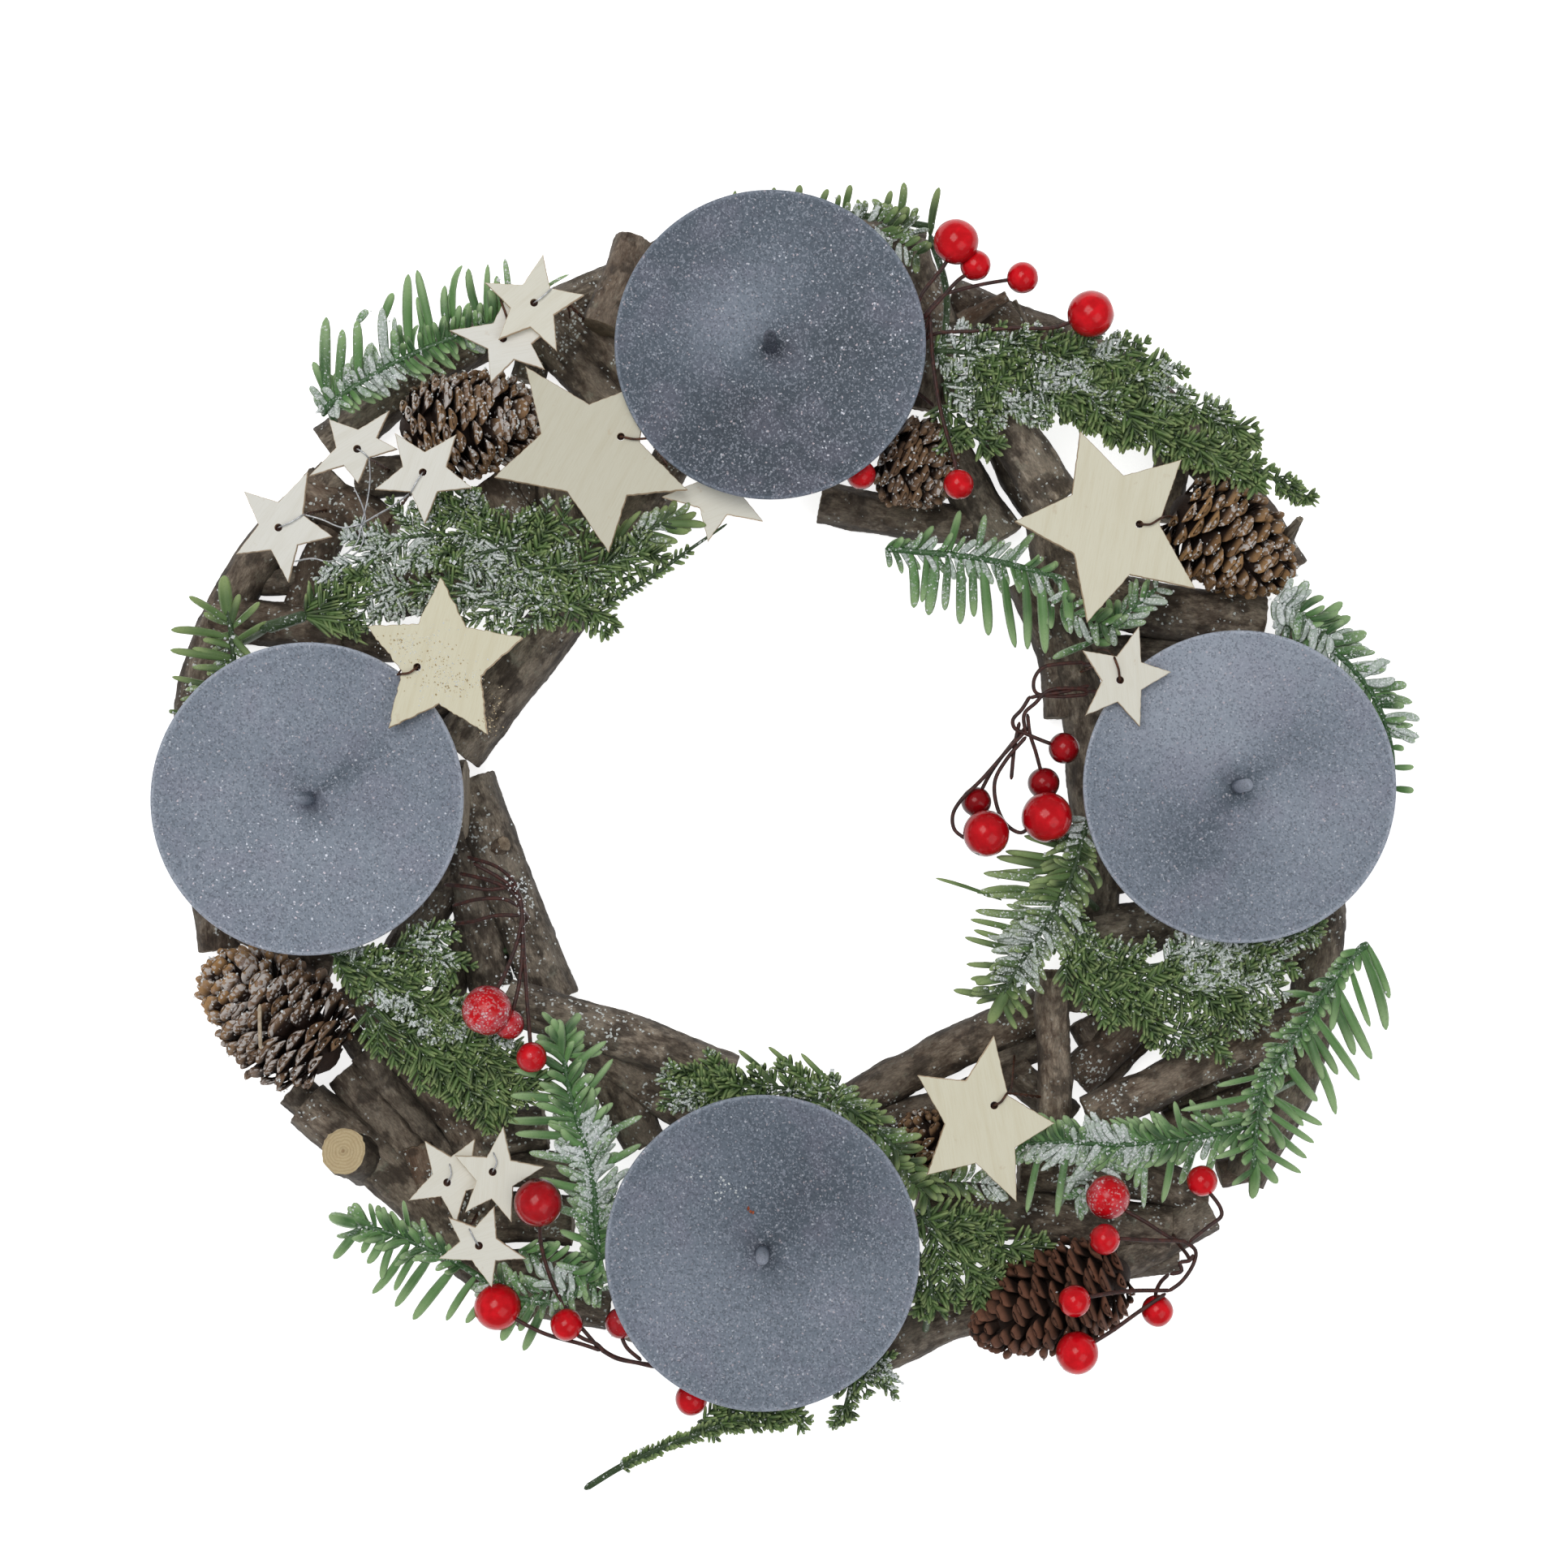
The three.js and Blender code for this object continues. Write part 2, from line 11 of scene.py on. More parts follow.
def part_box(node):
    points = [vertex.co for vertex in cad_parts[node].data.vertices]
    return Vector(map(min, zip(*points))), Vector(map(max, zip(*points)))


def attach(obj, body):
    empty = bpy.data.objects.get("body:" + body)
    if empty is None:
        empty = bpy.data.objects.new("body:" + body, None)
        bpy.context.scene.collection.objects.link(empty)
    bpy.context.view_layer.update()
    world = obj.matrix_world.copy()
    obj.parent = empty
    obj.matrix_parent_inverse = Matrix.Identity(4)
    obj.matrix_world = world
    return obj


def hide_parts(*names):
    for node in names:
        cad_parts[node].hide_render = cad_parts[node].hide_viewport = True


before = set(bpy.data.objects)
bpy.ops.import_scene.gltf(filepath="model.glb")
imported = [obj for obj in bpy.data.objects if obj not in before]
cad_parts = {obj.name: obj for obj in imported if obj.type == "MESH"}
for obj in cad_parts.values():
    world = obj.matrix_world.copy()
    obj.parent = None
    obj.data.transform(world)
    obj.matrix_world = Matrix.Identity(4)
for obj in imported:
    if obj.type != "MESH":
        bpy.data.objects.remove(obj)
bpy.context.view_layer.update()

# ------------------------------------------------------------------ plan to space (all lengths in mm until a mesh is made)
MM = 0.001
TILT = math.radians(88)
CT, ST = math.cos(TILT), math.sin(TILT)
EYE = np.array([3.2, -700 * CT, 39 + 700 * ST])
FOCAL = 3500.0


def at_raw(u, v, z):
    u, v, z = np.broadcast_arrays(np.asarray(u, float), np.asarray(v, float), np.asarray(z, float))
    ray = np.stack([u - 966, FOCAL * CT + (966 - v) * ST, -FOCAL * ST + (966 - v) * CT], -1)
    k = (z - EYE[2]) / ray[..., 2]
    return EYE + ray * k[..., None]


_lo, _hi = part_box("candle_plate_left")
SHIFT = at_raw(378, 984, 39.2)[:2] - 500 * (np.array(_lo) + np.array(_hi))[:2]


def plan(u, v, z):
    """Plan point (u right, v down) at height z, in the row frame, mm."""
    p = at_raw(u, v, z)
    p[..., :2] -= SHIFT
    return p


def plan_line(points):
    a = np.array(points, float)
    return plan(a[:, 0], a[:, 1], a[:, 2])


# ------------------------------------------------------------------ noise
def _hash(ix, iy, iz, seed):
    h = (ix * 374761393 + iy * 668265263 + iz * 1440662683 + seed * 144665 + 12345) & 0xFFFFFFFF
    h = ((h ^ (h >> 13)) * 1274126177) & 0xFFFFFFFF
    h = ((h ^ (h >> 15)) * 2246822519) & 0xFFFFFFFF
    return ((h ^ (h >> 16)) & 0xFFFF) / 65535.0


def noise3(p, seed=0):
    """Value noise, -1 to 1."""
    p = np.asarray(p, float)
    i = np.floor(p).astype(np.int64)
    f = p - i
    f = f * f * f * (f * (f * 6 - 15) + 10)
    x, y, z = i[..., 0], i[..., 1], i[..., 2]
    fx, fy, fz = f[..., 0], f[..., 1], f[..., 2]
    out = 0
    for dx in (0, 1):
        wx = fx if dx else 1 - fx
        for dy in (0, 1):
            wy = fy if dy else 1 - fy
            for dz in (0, 1):
                wz = fz if dz else 1 - fz
                out = out + wx * wy * wz * _hash(x + dx, y + dy, z + dz, seed)
    return 2 * out - 1


def fbm(p, octaves=3, seed=0, gain=0.5):
    p = np.asarray(p, float)
    out, amp = 0, 1.0
    for k in range(octaves):
        out = out + amp * noise3(p * 2 ** k, seed + 17 * k)
        amp *= gain
    return out


# ------------------------------------------------------------------ meshes
class Build:
    """Collects vertices, faces and per-vertex values of one object."""

    def __init__(self, **attrs):
        self.kinds = dict(attrs)  # name: 1 or 3 values per vertex
        self.v, self.f3, self.f4 = [], [], []
        self.m3, self.m4 = [], []
        self.a = {k: [] for k in attrs}
        self.n = 0

    def add(self, verts, tris=None, quads=None, mat=0, **attrs):
        verts = np.asarray(verts, float).reshape(-1, 3)
        k = len(verts)
        self.v.append(verts)
        if tris is not None and len(tris):
            t = np.asarray(tris, np.int64).reshape(-1, 3) + self.n
            self.f3.append(t)
            self.m3.append(np.full(len(t), mat))
        if quads is not None and len(quads):
            q = np.asarray(quads, np.int64).reshape(-1, 4) + self.n
            self.f4.append(q)
            self.m4.append(np.full(len(q), mat))
        for name, size in self.kinds.items():
            val = np.asarray(attrs.get(name, 0.0), float)
            if size == 1:
                self.a[name].append(np.broadcast_to(val, (k,)))
            else:
                self.a[name].append(np.broadcast_to(val, (k, size)))
        self.n += k

    def make(self, name, mats, body, smooth=True, replaces=()):
        mesh = bpy.data.meshes.new(name)
        v = np.concatenate(self.v) * MM
        f3 = np.concatenate(self.f3) if self.f3 else np.zeros((0, 3), np.int64)
        f4 = np.concatenate(self.f4) if self.f4 else np.zeros((0, 4), np.int64)
        mesh.vertices.add(len(v))
        mesh.vertices.foreach_set("co", v.astype(np.float32).ravel())
        loops = np.concatenate([f3.ravel(), f4.ravel()]).astype(np.int32)
        starts = np.concatenate([np.arange(len(f3)) * 3, 3 * len(f3) + np.arange(len(f4)) * 4]).astype(np.int32)
        mesh.loops.add(len(loops))
        mesh.loops.foreach_set("vertex_index", loops)
        mesh.polygons.add(len(starts))
        mesh.polygons.foreach_set("loop_start", starts)
        m = np.concatenate(([np.concatenate(self.m3)] if self.m3 else []) + ([np.concatenate(self.m4)] if self.m4 else []))
        mesh.polygons.foreach_set("material_index", m.astype(np.int32))
        mesh.polygons.foreach_set("use_smooth", np.full(len(starts), bool(smooth)))
        mesh.update(calc_edges=True)
        for key, size in self.kinds.items():
            data = np.concatenate(self.a[key]).astype(np.float32)
            att = mesh.attributes.new(key, "FLOAT" if size == 1 else "FLOAT_VECTOR", "POINT")
            att.data.foreach_set("value" if size == 1 else "vector", data.ravel())
        for mat in mats:
            mesh.materials.append(mat)
        obj = bpy.data.objects.new(name, mesh)
        bpy.context.scene.collection.objects.link(obj)
        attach(obj, body)
        if replaces:
            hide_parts(*replaces)
        return obj


def unit(a):
    a = np.asarray(a, float)
    return a / np.maximum(np.linalg.norm(a, axis=-1, keepdims=True), 1e-12)


def spline(points, per=16):
    """Centripetal Catmull-Rom through the points."""
    p = np.asarray(points, float)
    if len(p) == 2:
        t = np.linspace(0, 1, per + 1)[:, None]
        return p[0] * (1 - t) + p[1] * t
    e = np.vstack([2 * p[0] - p[1], p, 2 * p[-1] - p[-2]])
    out = []
    t = np.arange(per)[:, None] / per
    for i in range(1, len(e) - 2):
        p0, p1, p2, p3 = e[i - 1], e[i], e[i + 1], e[i + 2]
        d0, d1, d2 = [max(np.sum(q ** 2) ** 0.25, 1e-6) for q in (p1 - p0, p2 - p1, p3 - p2)]
        m1 = ((p1 - p0) / d0 - (p2 - p0) / (d0 + d1) + (p2 - p1) / d1) * d1
        m2 = ((p2 - p1) / d1 - (p3 - p1) / (d1 + d2) + (p3 - p2) / d2) * d1
        out.append((2 * t ** 3 - 3 * t ** 2 + 1) * p1 + (t ** 3 - 2 * t ** 2 + t) * m1 + (3 * t ** 2 - 2 * t ** 3) * p2 + (t ** 3 - t ** 2) * m2)
    out.append(p[-1:])
    return np.vstack(out)


def resample(path, step=None, count=None):
    d = np.concatenate([[0], np.cumsum(np.linalg.norm(np.diff(path, axis=0), axis=1))])
    if count is None:
        count = max(2, int(round(d[-1] / step)) + 1)
    s = np.linspace(0, d[-1], count)
    return np.stack([np.interp(s, d, path[:, k]) for k in range(3)], -1), s


def frames(path, up=(0.13, 0.21, 1.0)):
    """Tangent and two side vectors along a path, carried without twist."""
    t = unit(np.gradient(path, axis=0))
    n = np.zeros_like(t)
    first = np.asarray(up, float)
    first = first - t[0] * (first @ t[0])
    if np.linalg.norm(first) < 1e-3:
        first = np.array([1.0, 0.2, 0.1]) - t[0] * t[0][0]
    n[0] = unit(first)
    for i in range(1, len(t)):
        k = n[i - 1] - t[i] * (n[i - 1] @ t[i])
        n[i] = unit(k)
    return t, n, np.cross(t, n)


def tube_quads(rings, sides, closed=False):
    i = np.arange(rings - 1)[:, None]
    j = np.arange(sides)[None, :]
    a = i * sides + j
    b = i * sides + (j + 1) % sides
    return np.stack([a, b, b + sides, a + sides], -1).reshape(-1, 4)


def wire(build, points, r, sides=7, step=0.7, mat=0, taper=1.0, **attrs):
    """Round wire along a smooth line, with closed rounded ends."""
    path, s = resample(spline(points), step=step)
    t, n, b = frames(path)
    rad = r * np.linspace(1, taper, len(path))
    rad[0] *= 0.55
    rad[-1] *= 0.55
    a = np.arange(sides) / sides * 2 * np.pi
    ring = np.cos(a)[None, :, None] * n[:, None] + np.sin(a)[None, :, None] * b[:, None]
    v = path[:, None] + ring * rad[:, None, None]
    verts = np.vstack([v.reshape(-1, 3), path[:1] - t[:1] * r * 0.4, path[-1:] + t[-1:] * r * 0.4])
    k = len(path) * sides
    j = np.arange(sides)
    tris = np.vstack([
        np.stack([np.full(sides, k), (j + 1) % sides, j], -1),
        np.stack([np.full(sides, k + 1), k - sides + j, k - sides + (j + 1) % sides], -1)])
    build.add(verts, tris, tube_quads(len(path), sides), mat, **attrs)


def crystals(build, pos, size, rng, mat):
    """Small uneven eight-sided grains."""
    pos = np.asarray(pos, float).reshape(-1, 3)
    if not len(pos):
        return
    N = len(pos)
    u = unit(rng.normal(size=(N, 3)))
    w = unit(np.cross(u, unit(rng.normal(size=(N, 3)))))
    x = np.cross(u, w)
    k = size[:, None] * rng.uniform(0.55, 1.2, (N, 3))
    v = np.stack([pos + u * k[:, :1], pos - u * k[:, :1], pos + w * k[:, 1:2], pos - w * k[:, 1:2], pos + x * k[:, 2:], pos - x * k[:, 2:]], 1)
    f = np.array([[0, 2, 4], [2, 1, 4], [1, 3, 4], [3, 0, 4], [2, 0, 5], [1, 2, 5], [3, 1, 5], [0, 3, 5]])
    build.add(v.reshape(-1, 3), (f[None] + (np.arange(N) * 6)[:, None, None]).reshape(-1, 3), None, mat)


LOOSE = []  # frost grains of the piece being built: place, size


def frosting(name, body="wreath"):
    """Makes the loose frost grains collected so far into a piece beside the named one."""
    if LOOSE:
        F = Build()
        crystals(F, np.array([p for p, k in LOOSE]), np.array([k for p, k in LOOSE]), np.random.default_rng(len(LOOSE)), 0)
        F.make(name + ".frost", [FROST_MAT], body, smooth=False)
        LOOSE.clear()


# ------------------------------------------------------------------ materials
def rgb(r, g, b):
    def lin(c):
        c /= 255
        return c / 12.92 if c <= 0.04045 else ((c + 0.055) / 1.055) ** 2.4
    return (lin(r), lin(g), lin(b), 1.0)


class Mat:
    def __init__(self, name, rough=0.8, metallic=0.0, spec=0.5):
        self.m = bpy.data.materials.new(name)
        self.m.use_nodes = True
        self.t = self.m.node_tree
        self.t.nodes.clear()
        self.out = self.t.nodes.new("ShaderNodeOutputMaterial")
        self.b = self.t.nodes.new("ShaderNodeBsdfPrincipled")
        self.t.links.new(self.b.outputs["BSDF"], self.out.inputs["Surface"])
        self.b.inputs["Roughness"].default_value = rough
        self.b.inputs["Metallic"].default_value = metallic
        self.b.inputs["Specular IOR Level"].default_value = spec

    def put(self, socket, value):
        if isinstance(value, bpy.types.NodeSocket):
            self.t.links.new(value, socket)
        elif value is not None:
            socket.default_value = value

    def set(self, name, value):
        self.put(self.b.inputs[name], value)

    def attr(self, name, out="Fac"):
        n = self.t.nodes.new("ShaderNodeAttribute")
        n.attribute_name = name
        return n.outputs[out]

    def math(self, op, a, b=0.0, c=0.0, clamp=False):
        n = self.t.nodes.new("ShaderNodeMath")
        n.operation = op
        n.use_clamp = clamp
        for k, x in enumerate((a, b, c)):
            self.put(n.inputs[k], x)
        return n.outputs[0]

    def vmul(self, vec, k):
        n = self.t.nodes.new("ShaderNodeVectorMath")
        n.operation = "MULTIPLY"
        self.put(n.inputs[0], vec)
        self.put(n.inputs[1], k)
        return n.outputs[0]

    def vadd(self, vec, k):
        n = self.t.nodes.new("ShaderNodeVectorMath")
        n.operation = "ADD"
        self.put(n.inputs[0], vec)
        self.put(n.inputs[1], k)
        return n.outputs[0]

    def length(self, vec):
        n = self.t.nodes.new("ShaderNodeVectorMath")
        n.operation = "LENGTH"
        self.put(n.inputs[0], vec)
        return n.outputs["Value"]

    def noise(self, vec, scale, detail=3.0, rough=0.55, out="Fac", distort=0.0):
        n = self.t.nodes.new("ShaderNodeTexNoise")
        self.put(n.inputs["Vector"], vec)
        n.inputs["Scale"].default_value = scale
        n.inputs["Detail"].default_value = detail
        n.inputs["Roughness"].default_value = rough
        n.inputs["Distortion"].default_value = distort
        return n.outputs[out]

    def voronoi(self, vec, scale, out="Distance", feature="F1", random=1.0):
        n = self.t.nodes.new("ShaderNodeTexVoronoi")
        n.feature = feature
        self.put(n.inputs["Vector"], vec)
        n.inputs["Scale"].default_value = scale
        n.inputs["Randomness"].default_value = random
        return n.outputs[out]

    def split(self, vec):
        n = self.t.nodes.new("ShaderNodeSeparateXYZ")
        self.put(n.inputs[0], vec)
        return n.outputs[0], n.outputs[1], n.outputs[2]

    def ramp(self, fac, stops):
        n = self.t.nodes.new("ShaderNodeValToRGB")
        self.put(n.inputs[0], fac)
        e = n.color_ramp.elements
        while len(e) < len(stops):
            e.new(0.5)
        for k, (pos, col) in enumerate(stops):
            e[k].position = pos
            e[k].color = col if not isinstance(col, (int, float)) else (col, col, col, 1)
        return n.outputs[0]

    def step(self, fac, lo, hi):
        n = self.t.nodes.new("ShaderNodeMapRange")
        n.interpolation_type = "SMOOTHSTEP"
        self.put(n.inputs[0], fac)
        n.inputs[1].default_value = lo
        n.inputs[2].default_value = hi
        return n.outputs[0]

    def mix(self, fac, a, b, mode="MIX"):
        n = self.t.nodes.new("ShaderNodeMix")
        n.data_type = "RGBA"
        n.blend_type = mode
        self.put(n.inputs[0], fac)
        self.put(n.inputs[6], a)
        self.put(n.inputs[7], b)
        return n.outputs[2]

    def bump(self, height, strength=0.5, distance=0.0005, normal=None):
        n = self.t.nodes.new("ShaderNodeBump")
        n.inputs["Strength"].default_value = strength
        n.inputs["Distance"].default_value = distance
        self.put(n.inputs["Height"], height)
        if normal is not None:
            self.put(n.inputs["Normal"], normal)
        return n.outputs[0]

    def up(self):
        """How far the surface faces up, -1 to 1."""
        n = self.t.nodes.new("ShaderNodeNewGeometry")
        return self.split(n.outputs["Normal"])[2]

    def place(self):
        """Position on the piece, mm."""
        n = self.t.nodes.new("ShaderNodeTexCoord")
        return self.vmul(n.outputs["Object"], (1000, 1000, 1000))


FROST = rgb(226, 231, 229)


def bark_material():
    m = Mat("bark_look", 0.74, spec=0.4)
    g = m.attr("grain", "Vector")
    tone = m.attr("tone")
    long = m.vmul(g, (1, 1, 0.4))
    n1 = m.noise(long, 0.52, 6, 0.66)
    n2 = m.noise(g, 0.11, 4, 0.6)
    n3 = m.noise(long, 2.6, 5, 0.65)
    col = m.ramp(n1, [(0.28, rgb(40, 34, 29)), (0.43, rgb(100, 91, 80)), (0.56, rgb(154, 142, 126)), (0.74, rgb(220, 208, 190))])
    col = m.mix(m.math("MULTIPLY", m.step(n2, 0.46, 0.62), 0.6), col, rgb(172, 162, 146))
    col = m.mix(m.math("MULTIPLY", tone, 0.6), col, rgb(122, 88, 66))
    col = m.mix(m.step(n3, 0.36, 0.62), m.mix(0.38, col, rgb(40, 32, 27)), col)
    # pores and lichen
    d = m.voronoi(m.vmul(g, (1, 1, 0.7)), 0.42)
    pore = m.math("SUBTRACT", 1.0, m.step(d, 0.10, 0.20))
    col = m.mix(m.math("MULTIPLY", pore, 0.7), col, rgb(158, 143, 126))
    lich = m.math("MULTIPLY", m.step(m.noise(g, 0.34, 6, 0.7), 0.57, 0.66), m.step(n2, 0.38, 0.56))
    col = m.mix(m.math("MULTIPLY", lich, 0.55), col, rgb(150, 150, 134))
    wear_and_spike_light = m.noise(m.vadd(g, (7.7, 3.1, 21.0)), 0.17, 4, 0.6)
    col = m.mix(m.math("MULTIPLY", m.step(wear_and_spike_light, 0.5, 0.62), 0.65), col, rgb(52, 43, 36))
    # painted shade: the bark gets darker towards the bottom of the wreath, where sticks lie under others
    painted_low_shade = m.step(m.split(m.place())[2], 17.0, 2.0)
    col = m.mix(m.math("MULTIPLY", painted_low_shade, 0.55), col, rgb(32, 26, 22))
    # painted shade: each stick is darker on its sides, where it turns away from the top
    painted_side_shade = m.step(m.up(), 0.92, 0.15)
    col = m.mix(m.math("MULTIPLY", painted_side_shade, 0.6), col, rgb(36, 30, 25))
    # frost grains settle on the upper side
    fr = m.math("MULTIPLY", m.step(m.up(), 0.2, 0.9), m.attr("frost"))
    cell = m.voronoi(m.place(), 1.9, out="Color")
    r_, g_, b_ = m.split(cell)
    drift = m.step(m.noise(m.place(), 0.07, 4, 0.6), 0.42, 0.68)
    grain = m.math("MULTIPLY", m.step(m.math("ADD", r_, m.math("MULTIPLY", m.math("MULTIPLY", fr, drift), 0.42)), 0.993, 1.02), m.step(fr, 0.02, 0.2))
    col = m.mix(m.math("MULTIPLY", grain, 0.85), col, FROST)
    # sawn ends
    rad = m.length(m.vmul(g, (1, 1, 0)))
    wob = m.noise(g, 0.4, 3)
    ring = m.math("SINE", m.math("MULTIPLY", m.math("ADD", rad, m.math("MULTIPLY", wob, 1.6)), 7.5))
    wood = m.mix(m.math("MULTIPLY", m.step(ring, -0.6, 0.9), 0.6), rgb(214, 194, 154), rgb(192, 168, 128))
    wood = m.mix(m.math("MULTIPLY", m.step(m.noise(g, 0.9, 5, 0.7), 0.45, 0.75), 0.3), wood, rgb(176, 142, 102))
    wood = m.mix(m.math("MULTIPLY", m.step(rad, 0.7, 0.2), 0.5), wood, rgb(140, 100, 66))
    cut = m.attr("cut")
    col = m.mix(cut, col, wood)
    m.set("Base Color", col)
    h = m.math("ADD", m.math("MULTIPLY", n1, 0.7), m.math("ADD", m.math("MULTIPLY", n3, 0.5), m.math("MULTIPLY", grain, 0.8)))
    m.set("Normal", m.bump(h, 0.75, 0.0007))
    return m.m


def plate_material():
    m = Mat("plate_paint_look", 0.52, 0.25, 0.5)
    g = m.attr("grain", "Vector")
    # sheen carries painted light and shade: reflection sectors, a shadow round the spike, a highlight on the rim
    sheen = m.attr("sheen")
    n = m.noise(g, 0.05, 3, 0.5)
    fac = m.math("ADD", sheen, m.math("MULTIPLY", m.math("SUBTRACT", n, 0.5), 0.22))
    col = m.ramp(fac, [(0.0, rgb(60, 69, 79)), (0.35, rgb(96, 107, 120)), (0.65, rgb(132, 142, 156)), (1.0, rgb(176, 184, 198))])
    tint = m.noise(g, 0.09, 2)
    col = m.mix(m.math("MULTIPLY", m.step(tint, 0.45, 0.7), 0.22), col, rgb(146, 140, 160))
    # glitter grains: darker and lighter flakes, and sparse pale specks that are part flake colour and part painted
    # glint
    c1 = m.voronoi(g, 2.6, out="Color")
    r1, g1, b1 = m.split(c1)
    col = m.mix(m.step(r1, 0.52, 0.98), col, m.mix(0.42, col, rgb(46, 52, 64)))
    col = m.mix(m.step(g1, 0.60, 1.0), col, m.mix(0.40, col, rgb(186, 192, 206)))
    c2 = m.voronoi(m.vadd(g, (3.1, 7.7, 1.3)), 2.5, out="Color")
    r2, g2, b2 = m.split(c2)
    spark = m.step(r2, 0.975, 0.99)
    pale = m.mix(m.step(g2, 0.2, 0.8), rgb(222, 226, 236), rgb(206, 190, 196))
    col = m.mix(m.math("MULTIPLY", spark, 0.55), col, pale)
    m.set("Base Color", col)
    m.set("Roughness", m.math("SUBTRACT", 0.6, m.math("MULTIPLY", spark, 0.25)))
    h = m.math("ADD", m.math("MULTIPLY", r1, 0.5), m.math("MULTIPLY", b1, 0.5))
    m.set("Normal", m.bump(h, 0.55, 0.00018))
    return m.m


BARK = bark_material()
PLATE = plate_material()

def star_material(name="plywood_look", k=1.0):
    m = Mat(name, 0.72, spec=0.3)
    c = lambda *q: rgb(*(k * x for x in q))
    g = m.attr("grain", "Vector")
    warm = m.attr("warm")
    fibre = m.noise(m.vmul(g, (0.16, 2.6, 1)), 1.0, 5, 0.6)
    broad = m.noise(m.vmul(g, (0.03, 0.35, 1)), 1.0, 3, 0.5)
    base = m.mix(warm, c(240, 239, 233), c(230, 225, 200))
    deep = m.mix(warm, c(226, 223, 212), c(216, 206, 174))
    col = m.mix(m.math("MULTIPLY", m.step(fibre, 0.42, 0.72), 0.36), base, deep)
    col = m.mix(m.math("MULTIPLY", m.step(broad, 0.45, 0.75), 0.4), col, deep)
    flecks = m.noise(m.vmul(g, (0.5, 5.0, 1)), 1.0, 4, 0.7)
    col = m.mix(m.math("MULTIPLY", m.step(flecks, 0.68, 0.82), 0.35), col, rgb(186, 160, 120))
    spot = m.step(m.noise(g, 0.22, 4, 0.6), 0.64, 0.74)
    col = m.mix(m.math("MULTIPLY", spot, 0.3), col, rgb(196, 172, 140))
    edge = m.attr("edge")
    plies = m.math("SINE", m.math("MULTIPLY", m.split(g)[2], 9.4))
    side = m.mix(m.step(plies, -0.4, 0.6), rgb(176, 136, 98), rgb(208, 178, 138))
    side = m.mix(m.math("MULTIPLY", m.step(m.noise(g, 0.7, 4), 0.5, 0.7), 0.6), side, rgb(122, 88, 62))
    col = m.mix(m.math("MULTIPLY", edge, 0.85), col, side)
    m.set("Base Color", col)
    m.set("Normal", m.bump(m.math("ADD", fibre, m.math("MULTIPLY", flecks, 0.5)), 0.28, 0.0002))
    return m.m


def berry_material():
    m = Mat("berry_lacquer_look", 0.2, spec=0.22)
    p = m.place()
    n = m.noise(p, 0.35, 3)
    dark = m.attr("dark")
    col = m.mix(m.step(n, 0.35, 0.7), rgb(210, 8, 22), rgb(240, 20, 34))
    # dark: each berry's own darker share plus painted shade towards its underside
    col = m.mix(m.math("MULTIPLY", dark, 0.75, clamp=True), col, rgb(74, 4, 10))
    nub = m.attr("nub")
    col = m.mix(nub, col, rgb(46, 20, 16))
    r_, g_, b_ = m.split(m.voronoi(p, 2.4, out="Color"))
    fr = m.math("MULTIPLY", m.attr("frost"), m.step(m.up(), -0.2, 0.7))
    patch = m.step(m.noise(p, 0.24, 4, 0.6), 0.42, 0.62)
    grain = m.math("MULTIPLY", m.step(m.math("ADD", r_, fr), 1.02, 1.2), m.step(fr, 0.02, 0.1))
    grain = m.math("MULTIPLY", grain, m.math("ADD", 0.3, m.math("MULTIPLY", patch, 0.7)))
    film = m.math("MULTIPLY", m.math("MULTIPLY", patch, fr), 1.9, clamp=True)
    col = m.mix(m.math("MULTIPLY", film, 0.7), col, rgb(206, 128, 140))
    col = m.mix(m.math("MULTIPLY", grain, 0.8), col, rgb(232, 222, 224))
    m.set("Base Color", col)
    m.set("Roughness", m.math("ADD", m.math("ADD", 0.14, m.math("MULTIPLY", n, 0.1)), m.math("MULTIPLY", grain, 0.5)))
    m.set("Coat Weight", 0.15)
    m.set("Coat Roughness", 0.08)
    m.set("Normal", m.bump(m.math("ADD", m.noise(p, 0.8, 2), m.math("MULTIPLY", grain, 2.0)), 0.06, 0.0006))
    return m.m


def wire_material(name, c1, c2, rough, metal=0.0):
    m = Mat(name, rough, metal)
    p = m.place()
    n = m.noise(p, 0.9, 4)
    m.set("Base Color", m.mix(m.step(n, 0.35, 0.7), c1, c2))
    m.set("Normal", m.bump(m.noise(p, 2.2, 3), 0.35, 0.0002))
    return m.m


